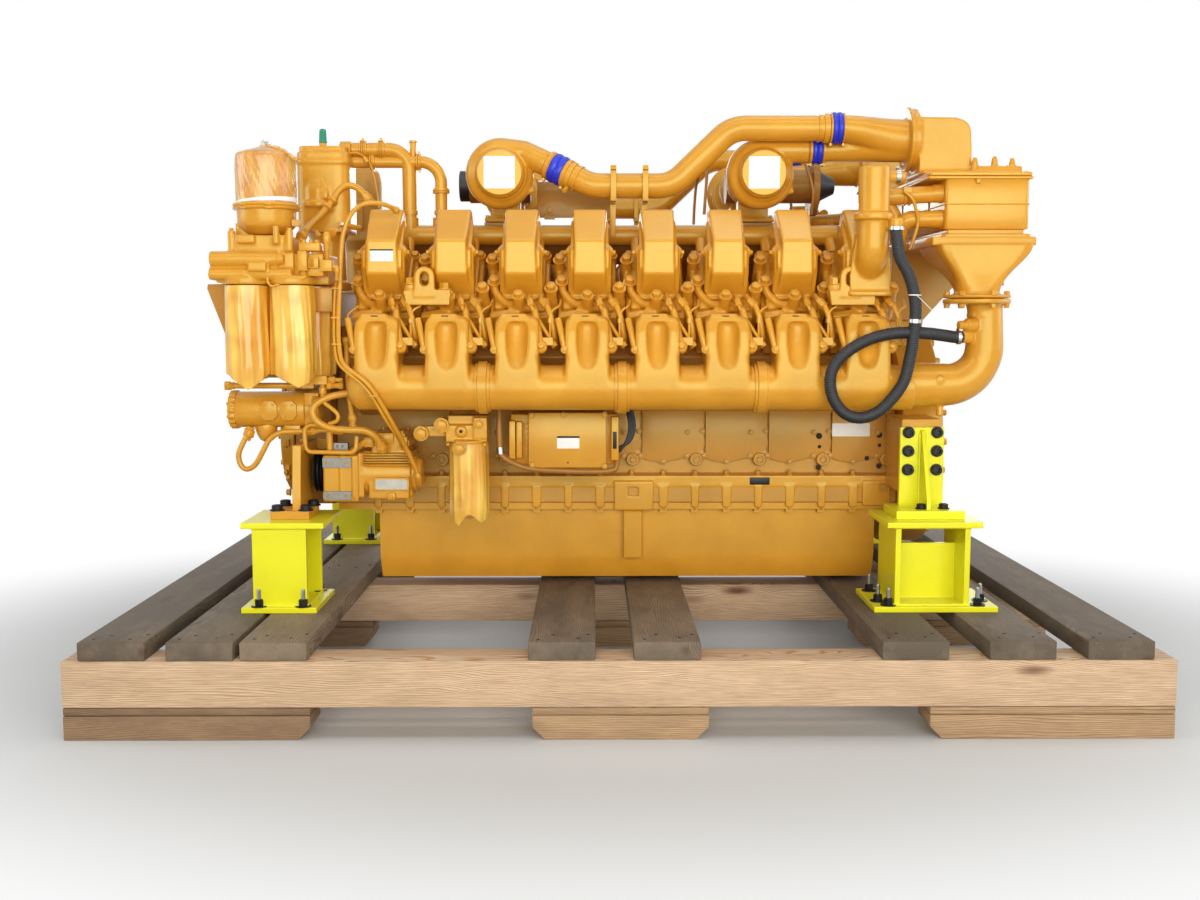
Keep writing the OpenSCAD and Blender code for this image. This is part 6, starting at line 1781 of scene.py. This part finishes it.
# %% Thermostat housing
TX, TY = -1.073, -0.335
housing = bmesh.new()
add_plate_round(housing, -1.17, -0.976, -0.43, -0.238, 1.64, 1.93, 0.045)
add_lathe(housing, (TX, TY, 1.4305), (0, 0, 1), [(0, 0.084), (0.03, 0.084), (0.034, 0.066), (0.18, 0.064),
    (0.23, 0.085)], 40)
add_plate_round(housing, -1.16, -0.986, -0.42, -0.248, 1.9, 1.952, 0.03)
add_plate_round(housing, -1.172, -0.974, -0.433, -0.236, 1.888, 1.902, 0.04)
add_lathe(housing, (-1.095, -0.388, 1.665), (0, 0, 1), [(0, 0.03), (0.01, 0.04), (0.06, 0.048),
    (0.068, 0.062), (0.086, 0.062), (0.09, 0.055), (0.13, 0.056), (0.16, 0.048), (0.18, 0.03),
    (0.188, 0.01)], 40)
add_rods(housing, (-1.13, -0.448, 1.741, -1.13, -0.425, 1.741, 0.01),
    (-1.055, -0.44, 1.741, -1.055, -0.42, 1.741, 0.01))
add_box(housing, (-1.118, -0.442, 1.76), (-1.05, -0.4, 1.79))
add_lathe(housing, (-1.079, -0.36, 1.944), (0, 0, 1),
    [(0, 0.022), (0.006, 0.0145), (0.028, 0.0145), (0.03, 0.012)], 20)
for z in (1.948, 1.904):
    add_rod(housing, (-1.02, TY, z), (-0.977, TY, z), 0.031)
housing_mesh = cast_shape(housing, 0.0036, keep=0.42)
rear_housing = bmesh.new()
add_lathe(rear_housing, (TX, -TY, 1.4305), (0, 0, 1), [(0, 0.084), (0.03, 0.084), (0.034, 0.066),
    (0.18, 0.064), (0.222, 0.096), (0.47, 0.0975), (0.505, 0.09), (0.524, 0.07), (0.53, 0.04)], 48)
add_box(rear_housing, (TX - 0.03, -TY - 0.112, 1.7), (TX + 0.03, -TY - 0.08, 1.82))
finish_piece("thermostat_housing_rear_dressed", cast_shape(rear_housing, smooth=5, keep=0.4),
    AMBER_DULL_SHADED, smooth=50)
finish_piece("thermostat_housing_dressed", housing_mesh, smooth=50)
cap = bmesh.new()
add_lathe(cap, (-1.079, -0.36, 1.968), (0, 0, 1), [(0, 0.0135), (0.002, 0.015), (0.046, 0.0125), (0.05, 0.01),
    (0.052, 0.006)], 20)
finish_piece("thermostat_cap", cap, GREEN_CAP, "black_plastic")
cross = bmesh.new()
for z, x1, low, r in ((1.948, -0.767, 1.6995, 0.0258), (1.904, -0.65, 1.6995, 0.022)):
    add_tube(cross, rounded_path([(-0.976, TY, z), (x1, TY, z), (x1, TY, low)], 0.075, 12), r, 32)
    add_lathe(cross, (x1, TY, low + 0.012), (0, 0, 1), [(0, r + 0.004), (0.014, r + 0.004), (0.016, r)], 28)


def ribbed_clamp(bm, place, way, radius, rings=3):
    """A hose joint: a rubber-like ring with ribs under a bolted clamp."""
    way = Vector(way).normalized()
    profile = [(0, radius), (0.0005, radius + 0.005)]
    for k in range(rings):
        start = 0.002 + 0.0075 * k
        profile += [(start, radius + 0.0095), (start + 0.004, radius + 0.0095),
            (start + 0.005, radius + 0.006)]
    profile += [(0.0045 + 0.0075 * rings, radius + 0.006), (0.005 + 0.0075 * rings, radius)]
    add_lathe(bm, Vector(place) - way * 0.012, way, profile, 32)
    for lift in (radius + 0.012, -radius - 0.01):
        screw = Vector(place) + Vector((0, 0, lift))
        add_rod(bm, screw - Vector((0, 0.012, 0)), screw + Vector((0, 0.014, 0)), 0.005, 10)


for x in (-0.935, -0.868):
    ribbed_clamp(cross, (x, TY, 1.948), (1, 0, 0), 0.0258)
for x in (-0.9, -0.728):
    ribbed_clamp(cross, (x, TY, 1.904), (1, 0, 0), 0.022, 2)
ribbed_clamp(cross, (-0.65, TY, 1.8), (0, 0, 1), 0.022, 2)
add_lathe(cross, (-0.752, TY, 1.872), (0, 0, 1), [(0, 0.012), (0.1, 0.0115), (0.102, 0.0145), (0.109, 0.0145),
    (0.11, 0.01)], 16)
finish_piece("coolant_crossover_pipes_dressed", cross, smooth=45)
wires = bmesh.new()
add_tube(wires, smooth_path([(-1.0, -0.38, 1.925), (-0.95, -0.385, 1.93), (-0.912, -0.385, 1.905),
    (-0.896, -0.385, 1.87), (-0.88, -0.39, 1.8), (-0.87, -0.4, 1.73)], 6), 0.0032, 8)
add_lathe(wires, (-0.925, -0.385, 1.915), (0.6, 0, -0.9), [(0, 0.006), (0.001, 0.0085), (0.022, 0.0085),
    (0.024, 0.005)], 12)
finish_piece("thermostat_wires", wires)
print("thermostat housing:", len(housing_mesh.polygons), "faces")

# %% [markdown]
# ## Lines on the heads
# Each head carries the same set: a fuel line with its nuts, a bent bracket that clamps it, a
# thicker pipe that goes on into the vee between two branches, and a bright drain pipe. They are
# drawn once, between X of the bore and the next, and the row tree sets them out.

# %% Head lines
lines = bmesh.new()
FUEL_LINE = [(0.036, -0.64, 1.41), (0.039, -0.688, 1.395), (0.048, -0.704, 1.364), (0.077, -0.716, 1.313),
    (0.106, -0.728, 1.267), (0.127, -0.738, 1.238)]
add_tube(lines, smooth_path(FUEL_LINE, 6), 0.0068, 14)
add_rods(lines, (0.04, -0.69, 1.392, 0.046, -0.702, 1.37, 0.0115, 6),
    (0.122, -0.736, 1.244, 0.131, -0.74, 1.231, 0.0115, 6))
add_tube(lines, smooth_path([(0.056, -0.66, 1.372), (0.059, -0.705, 1.352), (0.066, -0.738, 1.307),
    (0.081, -0.768, 1.236)], 6), 0.011, 16, [0.0095] * 6 + [0.0125] * 20)
add_lathe(lines, (0.082, -0.758, 1.226), (0.0, -0.95, 0.3), [(0, 0.021), (0.018, 0.021), (0.023, 0.017)], 24)
add_tube(lines, smooth_path([(0.078, -0.64, 1.406), (0.082, -0.69, 1.39), (0.102, -0.712, 1.367),
    (0.118, -0.722, 1.318), (0.127, -0.716, 1.261), (0.124, -0.68, 1.235), (0.122, -0.64, 1.225)], 6), 0.01, 16)
add_rod(lines, (0.084, -0.692, 1.388), (0.1, -0.711, 1.368), 0.015, 6)
add_box(lines, (0.088, -0.764, 1.236), (0.122, -0.756, 1.262))
finish_pair("head_lines", in_row(as_mesh(lines), AMBER))
drains = bmesh.new()
add_tube(drains, smooth_path([(0.148, -0.66, 1.39), (0.142, -0.706, 1.37), (0.121, -0.722, 1.355),
    (0.112, -0.726, 1.33), (0.112, -0.728, 1.268), (0.116, -0.716, 1.235)], 6), 0.0042, 10)
add_rod(drains, (0.112, -0.7262, 1.328), (0.112, -0.7268, 1.312), 0.009, 6)
finish_pair("drain_pipes", in_row(as_mesh(drains), STEEL))
foot_bolts = [((x + 0.082, -0.7805, 1.233), (0.0, -0.95, 0.3), 0.02) for x in cylinder_x]
finish_pair("line_foot_bolts", bolts(foot_bolts, AMBER))
print(len(foot_bolts), "line feet on each bank")

# %% [markdown]
# ## Lifting eyes
# A thick plate with an oblong eye stands on two screwed bosses at either end of each bank.

# %% Lifting eyes
def arc(x, z, reach_x, reach_z, steps):
    """Half an ellipse, from the -X side over the top. A negative reach_x and reach_z turn it over."""
    turns = [k * math.pi / steps for k in range(steps + 1)]
    return [(x - reach_x * math.cos(a), z + reach_z * math.sin(a)) for a in turns]


eyes, eye_cuts, eye_bolts = bmesh.new(), bmesh.new(), []
for x in (-0.6675, 0.8015):
    lug = arc(x, 1.4705, 0.0345, 0.0345, 10)
    add_face(eyes, [(x - 0.036, 1.4)] + lug + [(x + 0.036, 1.4)], -0.686, -0.722)
    add_face(eyes, [(x - 0.073, 1.424), (x - 0.064, 1.373), (x + 0.086, 1.373), (x + 0.091, 1.426)],
        -0.652, -0.72)
    for dx, low, high in ((-0.051, 1.4, 1.445), (0.066, 1.4, 1.428)):
        add_rod(eyes, (x + dx, -0.69, low), (x + dx, -0.69, high), 0.023)
        eye_bolts.append(((x + dx, -0.69, high), (0, 0, 1), 0.03))
    oblong = arc(x, 1.4705, 0.0145, 0.0165, 8) + arc(x, 1.453, -0.0145, -0.0145, 8)
    add_face(eye_cuts, oblong, -0.6, -0.8)
finish_pair("lifting_eyes_dressed", cast_shape(eyes, 0.003, eye_cuts, smooth=5), smooth=50)
finish_pair("lifting_eye_bolts", bolts(eye_bolts, AMBER))
blank, blank_strip = bmesh.new(), bmesh.new()
add_box(blank, (-0.856, -0.6945, 1.523), (-0.776, -0.6935, 1.56))
add_box(blank_strip, (-0.856, -0.6945, 1.5602), (-0.776, -0.6935, 1.565))
finish_piece("cover_label", bevelled(blank, 0.0003), LABEL)
finish_piece("cover_label_edge", bevelled(blank_strip, 0.0003), BLACK_BOLT, "pulley_black")
print("head lines on", len(cylinder_x), "heads a side")

# %% [markdown]
# ## Crankcase wall and pan rail
# The wall carries a row of cover plates with a scalloped lower seam and a ringed boss at each
# bearing. Below it the pan's flange is screwed on through short rounded ribs, 120 mm apart.

# %% Cover plates on the wall
SEAMS = [0.096 + 0.24 * i for i in range(-4, 4)]
plates, wall_bolts, ring_bosses, wall_holes = bmesh.new(), [], bmesh.new(), bmesh.new()
for seam in SEAMS:
    right = seam + 0.237
    scallop = [(right, 0.99), (right, 0.88), (right + 0.006, 0.862), (right + 0.002, 0.842),
        (right - 0.004, 0.832), (right + 0.008, 0.818), (right + 0.006, 0.802), (right - 0.01, 0.797),
        (right - 0.022, 0.803), (right - 0.052, 0.804), (right - 0.064, 0.799), (right - 0.08, 0.801),
        (right - 0.105, 0.793), (right - 0.142, 0.786), (right - 0.153, 0.778), (right - 0.166, 0.784),
        (right - 0.205, 0.79), (right - 0.2335, 0.801), (right - 0.2335, 0.99)]
    add_face(plates, list(reversed(scallop)), -0.332, -0.3475)
    for dx, z in ((0.0, 0.81), (-0.064, 0.81), (-0.153, 0.788), (-0.006, 0.903), (-0.062, 0.899)):
        wall_bolts.append(((right + dx, -0.347, z), (0, -1, 0), 0.016))
    add_lathe(ring_bosses, (right - 0.029, -0.34, 0.797), (0, -1, 0), [(0, 0.026), (0.016, 0.024),
        (0.019, 0.022), (0.019, 0.0155), (0.012, 0.014), (0.012, 0.008), (0.02, 0.007)], 28)
plate_mesh = bevelled(plates, 0.0025, 2, 25)
finish_sides("crankcase_covers_{}_dressed", plate_mesh, AMBER_DULL_SHADED, smooth=40)
wall_mesh = joined(bolts(wall_bolts, AMBER_DULL_SHADED), as_mesh(ring_bosses))
finish_pair("crankcase_bosses", wall_mesh, AMBER_DULL_SHADED, smooth=40)
# dark discs stand for the wall's holes, as painted shade
for x, z, r in ((0.77, 0.885, 0.012), (0.772, 0.844, 0.007), (0.77, 0.765, 0.01), (0.998, 0.889, 0.012),
                (1.0, 0.849, 0.007), (1.0, 0.77, 0.01), (0.953, 0.8, 0.009)):
    add_rod(wall_holes, (x, -0.344, z), (x, -0.3482, z), r, 20)
finish_piece("crankcase_holes", wall_holes, OPENING_SHADE, "pulley_black", smooth=40)
tag = bmesh.new()
add_box(tag, (0.819, -0.3486, 0.883), (0.962, -0.3474, 0.933))
finish_piece("crankcase_label", bevelled(tag, 0.0004), LABEL)
print(len(wall_bolts), "screws in the wall")

# %% [markdown]
# The pan's rail is cast in one with its ribs, so it is melted together. Each rib ends below in
# half an ellipse, and every second one is a little wider.

# %% Pan rail
rail = bmesh.new()


def rib_outline(x, half, top, low):
    """A short rib with a round lower end."""
    return [(x + half, top)] + arc(x, low + half * 0.55, -half, -half * 0.55, 8) + [(x - half, top)]


BAYS = [-0.9 + 0.12 * k for k in range(16)]
add_face(rail, [(-1.05, 0.736), (1.066, 0.736), (1.066, 0.693), (-1.05, 0.693)][::-1], -0.35, -0.367)
add_face(rail, [(-1.046, 0.654), (1.062, 0.654), (1.062, 0.7), (-1.046, 0.7)], -0.34, -0.3635)
for k, x in enumerate(BAYS):
    add_face(rail, rib_outline(x, 0.0165 if k % 2 else 0.0145, 0.702, 0.614), -0.34, -0.37)
    add_rod(rail, (x, -0.352, 0.73), (x, -0.352, 0.743), 0.01, 16)
add_face(rail, [(-0.006, 0.715), (0.141, 0.715), (0.141, 0.609), (0.134, 0.604), (0.001, 0.604),
    (-0.006, 0.609)][::-1], -0.34, -0.374)
add_face(rail, [(0.934, 0.715), (1.038, 0.715), (1.038, 0.626), (1.032, 0.621), (0.94, 0.621),
    (0.934, 0.626)][::-1], -0.34, -0.374)
add_face(rail, [(0.029, 0.61), (0.1, 0.61), (0.1, 0.42), (0.029, 0.42)][::-1], -0.335, -0.361)
rail_cuts = bmesh.new()
for x0, x1, z0, z1 in ((0.047, 0.085, 0.66, 0.692), (0.997, 1.034, 0.676, 0.706)):
    add_box(rail_cuts, (x0, -0.39, z0), (x1, -0.36, z1))
finish_pair("pan_rail", cast_shape(rail, 0.003, rail_cuts, smooth=3, keep=0.14), smooth=50)
rail_bolts = [((x, -0.352, 0.7425), (0, 0, 1), 0.0165) for x in BAYS]
rail_bolts += [((x, -0.352, 0.615), (0, 0, -1), 0.015) for x in BAYS]
finish_pair("pan_rail_bolts", bolts(rail_bolts, AMBER_DULL_SHADED), AMBER_DULL_SHADED)
pad = bmesh.new()
add_box(pad, (0.507, -0.37, 0.701), (0.582, -0.366, 0.729))
finish_piece("pan_rail_pad", bevelled(pad, 0.002), BLACK_BOLT, "bare_steel")
print("crankcase covers:", len(SEAMS), " rail ribs:", len(BAYS))

# %% [markdown]
# ## Control unit and fuel filter
# The control unit is a cast box with a raised plate, two tall connector blocks and a loom
# that runs along its lower edge. The fuel filter hangs beside it from a ported head, and its
# canister still wears the film that kept the paint off.

# %% Control unit
unit = bmesh.new()
add_boxes(unit, (-0.384, -0.54, 0.8, 0.0, -0.43, 0.982), (-0.319, -0.585, 0.792, -0.039, -0.53, 0.991),
    (-0.021, -0.578, 0.818, 0.006, -0.52, 0.976))
for x0, x1, z0, z1 in ((-0.389, -0.366, 0.823, 0.961), (-0.363, -0.342, 0.826, 0.958)):
    add_box(unit, (x0, -0.576, z0), (x1, -0.53, z1))
for x in (-0.341, -0.075):
    add_boxes(unit, (x, -0.44, 0.821, x + 0.04, -0.3444, 0.861), (x, -0.44, 0.93, x + 0.04, -0.3444, 0.965))
UNIT_SCREWS = ((-0.306, 0.981), (-0.193, 0.983), (-0.045, 0.985), (-0.305, 0.803), (-0.045, 0.798))
for x, z in UNIT_SCREWS:
    add_rod(unit, (x, -0.56, z), (x, -0.59, z), 0.011, 16)
unit_mesh = bevelled(unit, 0.004, 2, 40)
unit_trim = bmesh.new()
for k in range(7):
    add_box(unit_trim, (-0.33, -0.548, 0.832 + 0.019 * k), (-0.322, -0.54, 0.842 + 0.019 * k))
unit_screws = bolts([((x, -0.5895, z), (0, -1, 0), 0.0125) for x, z in UNIT_SCREWS], AMBER)
unit_whole = joined(unit_mesh, unit_screws, bevelled(unit_trim, 0.001))
finish_piece("engine_control_unit_dressed", unit_whole, smooth=40)
plate = bmesh.new()
add_box(plate, (-0.216, -0.5864, 0.862), (-0.135, -0.5848, 0.9))
finish_piece("control_unit_label", bevelled(plate, 0.0005), LABEL)
strip = bmesh.new()
add_boxes(strip, (-0.216, -0.5864, 0.9002, -0.135, -0.5848, 0.907),
    (-0.015, -0.579, 0.86, -0.001, -0.577, 0.922), (-0.18, -0.5865, 0.808, -0.174, -0.5845, 0.814))
finish_piece("control_unit_marks", bevelled(strip, 0.0005), BLACK_BOLT, "pulley_black")
loom = bmesh.new()
add_tube(loom, smooth_path([(-0.424, -0.56, 1.01), (-0.424, -0.572, 0.94), (-0.422, -0.576, 0.864),
    (-0.416, -0.578, 0.838), (-0.385, -0.58, 0.815), (-0.32, -0.58, 0.79), (-0.224, -0.576, 0.781),
    (-0.1, -0.574, 0.777), (-0.019, -0.572, 0.781), (-0.001, -0.566, 0.8), (0.0, -0.552, 0.83)], 7), 0.0105, 18)
finish_piece("control_unit_loom", loom, AMBER_DEEP_SHADED, smooth=60)
tie = bmesh.new()
add_tube(tie, [(-0.4225, -0.5765, 0.866), (-0.4205, -0.577, 0.842)], 0.0128, 20)
finish_piece("control_unit_loom_tie", tie, ZINC, "bare_steel", smooth=60)
bundle = bmesh.new()
for k in range(4):
    add_tube(bundle, smooth_path([(0.028 + 0.007 * k, -0.5 - 0.006 * k, 1.01),
        (0.043 + 0.006 * k, -0.52, 0.97), (0.046 + 0.006 * k, -0.524, 0.925),
        (0.034 + 0.004 * k, -0.524, 0.88), (0.008, -0.52, 0.842 + 0.006 * k)], 6), 0.0052, 10)
finish_piece("control_unit_cables", bundle, RUBBER, "pulley_black", smooth=60)
print(len(UNIT_SCREWS), "screws hold the lid")

# %% [markdown]
# The fuel filter's head is cast, and big hex plugs close its spare ports. Its film is gathered in
# the same way as on the oil filters.

# %% Fuel filter
FX, FY = -0.53, -0.612
fuel_head = bmesh.new()
add_face(fuel_head, [(-0.606, 0.894), (-0.462, 0.894), (-0.462, 0.953), (-0.61, 0.953)], -0.545, -0.66)
add_boxes(fuel_head, (-0.6, -0.64, 0.898, -0.462, -0.54, 0.985),
    (-0.508, -0.664, 0.905, -0.461, -0.56, 0.979), (-0.563, -0.545, 0.91, -0.483, -0.344, 0.958),
    (-0.7, -0.64, 0.911, -0.6, -0.6, 0.948))
add_rods(fuel_head, (-0.621, -0.6, 0.953, -0.621, -0.664, 0.953, 0.023),
    (-0.694, -0.6, 0.923, -0.694, -0.66, 0.923, 0.0235),
    (-0.557, -0.64, 0.872, -0.557, -0.688, 0.872, 0.0195))
add_box(fuel_head, (-0.572, -0.676, 0.872), (-0.542, -0.64, 0.9))
add_rod(fuel_head, (-0.552, -0.65, 0.931), (-0.552, -0.667, 0.931), 0.019)
add_lathe(fuel_head, (FX, FY, 0.8985), (0, 0, -1), [(0, 0.069), (0.012, 0.069), (0.016, 0.064)], 36)
fuel_mesh = cast_shape(fuel_head, 0.003, smooth=4, keep=0.4)
fuel_bolts = bolts([((-0.621, -0.663, 0.953), (0, -1, 0), 0.036),
    ((-0.694, -0.659, 0.923), (0, -1, 0), 0.036), ((-0.557, -0.687, 0.872), (0, -1, 0), 0.034),
    ((-0.49, -0.664, 0.956), (0, -1, 0), 0.026), ((-0.47, -0.655, 0.889), (0, 0, -1), 0.014),
    ((-0.6, -0.65, 0.89), (0, 0, -1), 0.014)], AMBER)
finish_piece("fuel_filter_head_dressed", joined(fuel_mesh, fuel_bolts), smooth=50)
# a dark disc in the open port, as painted shade
port = bmesh.new()
add_rod(port, (-0.552, -0.666, 0.931), (-0.552, -0.6685, 0.931), 0.006, 16)
finish_piece("fuel_filter_port", port, OPENING_SHADE, "pulley_black")
canister = bmesh.new()
add_lathe(canister, (FX, FY, 0.896), (0, 0, -1), [(0, 0.058), (0.004, 0.065), (0.25, 0.065), (0.262, 0.06),
    (0.276, 0.04), (0.282, 0.012)], 40)
finish_piece("fuel_filter_dressed", canister, FILTER_PAINT, "wrapped_canister", smooth=40)
fuel_wrap = film_wrap((FX, FY), 0.065, 0.886, 0.636, [(FRONT - 0.62, 0.044, 0.62), (FRONT + 0.85, 0.036, 0.7),
    (FRONT + 2.8, 0.03, 0.9)], 41, 0.006)
fuel_film = finish_piece("fuel_filter_film", fuel_wrap, FILM, "wrapped_canister", smooth=60)
print("control unit and fuel filter done")

# %% [markdown]
# ## The two ends and what shows behind
# Rings of screws hold the flywheel housing, the flywheel and the damper, and the gear case has
# screws along its rim. Above the exhaust stands a folded heat shield, and thin pipes run behind
# the right hand turbocharger.

# %% Screws of the ends
def ring_of(count, x, radius, way, width):
    """Places of screws on a circle round the crankshaft's axis."""
    turns = [2 * math.pi * k / count for k in range(count)]
    return [((x, radius * math.cos(a), CRANK_Z + radius * math.sin(a)), (way, 0, 0), width) for a in turns]


end_bolts = ring_of(24, 1.216, 0.418, 1, 0.022) + ring_of(8, -1.305, 0.08, -1, 0.022)
end_bolts += ring_of(12, -1.295, 0.205, -1, 0.018)
for side in (-1, 1):
    for k in range(7):
        end_bolts.append(((-1.22, side * 0.405, 0.68 + 0.092 * k), (-1, 0, 0), 0.02))
    for k in range(5):
        end_bolts.append(((-1.26, side * 0.275, 0.74 + 0.105 * k), (-1, 0, 0), 0.018))
end_bolts += [((-1.26, -0.24 + 0.12 * k, 0.715), (-1, 0, 0), 0.018) for k in range(5)]
end_bolts += [((-1.26, -0.15 + 0.1 * k, 1.29), (-1, 0, 0), 0.018) for k in range(4)]
finish_piece("end_screws", bolts(end_bolts, AMBER))
finish_piece("flywheel_screws", bolts(ring_of(10, 1.201, 0.115, 1, 0.024), BLACK_BOLT), BLACK_BOLT,
    "bare_steel")
teeth, TOOTH_COUNT = bmesh.new(), 120
tooth = [(0.3685, -0.004), (0.3735, -0.0022), (0.3735, 0.0022), (0.3685, 0.004)]
for k in range(TOOTH_COUNT):
    turn = Matrix.Rotation(2 * math.pi * k / TOOTH_COUNT, 4, "X")
    spin = Matrix.Translation((1.12, 0, CRANK_Z)) @ turn @ SIDE_PLANE
    add_prism(teeth, tooth, spin, 0.04)
finish_piece("ring_gear_teeth", teeth, STEEL, "bare_steel", smooth=20)
print(len(end_bolts), "screws and", TOOTH_COUNT, "teeth")

# %% [markdown]
# The shield is a folded sheet: its outline is drawn from the side, once along its outer face and
# back along its inner one.

# %% Heat shield and oil pipes
shield = bmesh.new()
fold = [(-0.262, 1.706), (-0.256, 1.8), (-0.235, 1.842), (-0.15, 1.858), (-0.15, 1.854), (-0.233, 1.838),
    (-0.252, 1.799), (-0.258, 1.706)]
add_slab(shield, fold, -0.297, -0.018)
for x in (-0.25, -0.065):
    add_rod(shield, (x, -0.264, 1.735), (x, -0.257, 1.735), 0.011, 20)
    add_slab(shield, [(-0.262, 1.7), (-0.258, 1.7), (-0.258, 1.712), (-0.262, 1.712)], x - 0.02, x + 0.02)
finish_piece("heat_shield", bevelled(shield, 0.0015, 2, 30), AMBER_DEEP_SHADED, "hot_casting", smooth=40)
thin = bmesh.new()
for x, far in ((0.336, 0.01), (0.742, -0.014)):
    add_tube(thin, smooth_path([(x, -0.25, 1.72), (x + 0.004, -0.262, 1.8), (x + far, -0.25, 1.88),
        (x + 2 * far, -0.2, 1.935)], 6), 0.0058, 12)
finish_pair("turbo_oil_pipes", thin, AMBER_DEEP_SHADED, smooth=60)
print("shield and four oil pipes behind the turbochargers")

# %% [markdown]
# ## Castings that keep their CAD shape
# Sand castings have rounded edges of 3 to 6 mm. A bevel on a copy of the CAD mesh gives them,
# and the copy then stands for the CAD solid.

# %% Softened castings
SOFT = {  # node: finish, slot, width of the bevel in metres
    "oil_pan": (AMBER, "engine_enamel", 0.012), "crankcase": (AMBER_DULL_SHADED, "engine_enamel", 0.008),
    "exhaust_manifolds": (AMBER_DEEP_SHADED, "hot_casting", 0.006),
    "exhaust_collector": (AMBER_DEEP_SHADED, "hot_casting", 0.004),
    "exhaust_cap": (PLASTIC, "black_plastic", 0.003), "coolant_galleries": (AMBER, "engine_enamel", 0.003),
    "gear_case": (AMBER_DEEP_SHADED, "engine_enamel", 0.01), "crank_damper": (AMBER, "engine_enamel", 0.005),
    "flywheel_housing": (AMBER, "engine_enamel", 0.006), "flywheel": (STEEL, "bare_steel", 0.003),
}
for node, (material, slot, width) in SOFT.items():
    softened(node, material, slot, width)
print(len(SOFT), "castings softened")

# %% [markdown]
# ## Stage
# The floor and the backdrop are one pale surface. Large soft lamps from above and in front give
# the long soft highlights of a workshop, and the world fills the shadows.

# %% Floor, lamps and world
floor_mesh = bpy.data.meshes.new("floor")
floor_mesh.from_pydata([(-14, -9, 0), (14, -9, 0), (14, 16, 0), (-14, 16, 0)], [], [(0, 1, 2, 3)])
floor = bpy.data.objects.new("floor", floor_mesh)
bpy.context.scene.collection.objects.link(floor)
floor_material, floor_tree, floor_shader, floor_place = new_material("pale_floor")
floor_cloud = noise_field(floor_tree, floor_place, 0.8)
# near the skid the floor is a darker grey than the white around it: painted shade that deepens the skid's real
# shadow
set_inputs(floor_tree, floor_shader, {
    "Base Color": blend(floor_tree, floor_cloud, "#CDD0D2", "#D6D8DA"), "Roughness": 0.7,
})
# away from the skid the floor is lit to plain white, as paper is on a light table
reach = stretched(floor_tree, floor_place, (0.62, 0.8, 0.0))
far = add_node(floor_tree, "ShaderNodeVectorMath", {0: reach}, operation="LENGTH").outputs["Value"]
fade = remap(floor_tree, far, 1.25, 2.3, ease="SMOOTHSTEP")
floor_rays = add_node(floor_tree, "ShaderNodeLightPath").outputs
direct = maths(floor_tree, "MAXIMUM", floor_rays["Is Camera Ray"], floor_rays["Is Glossy Ray"])
white = add_node(floor_tree, "ShaderNodeEmission", {"Color": (1, 1, 1, 1), "Strength": 1.0}).outputs[0]
shown_floor = add_node(floor_tree, "ShaderNodeMixShader", {
    0: maths(floor_tree, "MULTIPLY", fade, direct), 1: floor_shader.outputs[0], 2: white,
})
floor_tree.links.new(shown_floor.outputs[0], floor_tree.nodes["Material Output"].inputs["Surface"])
floor_mesh.materials.append(floor_material)


def add_lamp(name, place, aim, width, height, power, tint="#FFFFFF"):
    """A soft rectangular lamp. Sizes are in metres and power in watts."""
    data = bpy.data.lights.new(name, "AREA")
    data.shape = "RECTANGLE"
    data.size, data.size_y, data.energy = width, height, power
    data.color = linear(tint)[:3]
    lamp = bpy.data.objects.new(name, data)
    lamp.location = place
    lamp.rotation_euler = (Vector(aim) - Vector(place)).to_track_quat("-Z", "Y").to_euler()
    bpy.context.scene.collection.objects.link(lamp)


add_lamp("window_in_front", (0.7, -7.0, 2.2), (0.0, 0.0, 1.1), 8.0, 3.4, 440, "#FFFCF2")
add_lamp("ceiling_strip", (0.2, -2.3, 4.4), (0.0, -0.6, 1.2), 6.5, 0.28, 42, "#FFFEF6")
add_lamp("lamp_above", (0.2, -0.4, 5.2), (0.0, 0.0, 1.0), 4.4, 0.9, 30)
add_lamp("lamp_left", (-5.2, -1.0, 2.6), (-0.2, 0.0, 1.0), 2.6, 2.2, 60)
add_lamp("lamp_right", (5.4, -0.6, 2.6), (0.4, 0.0, 1.0), 2.6, 2.2, 60)
add_lamp("lamp_behind", (0.4, 6.4, 2.8), (0.0, 0.0, 1.0), 6.0, 2.6, 190)

world = bpy.data.worlds.new("studio")
bpy.context.scene.world = world
world.use_nodes = True
sky = world.node_tree
rays = add_node(sky, "ShaderNodeLightPath").outputs
seen = maths(sky, "MAXIMUM", rays["Is Camera Ray"], rays["Is Glossy Ray"])
shown = maths(sky, "MAXIMUM", seen, rays["Is Transmission Ray"])
set_inputs(sky, sky.nodes["Background"], {
    "Strength": remap(sky, shown, 0.0, 1.0, 0.16, 1.0), "Color": (1.0, 1.0, 1.0, 1.0),
})
bpy.context.scene.view_settings.view_transform = "Standard"
print(len(bpy.data.lights), "lamps")

# %% The last call
bpy.context.view_layer.update()
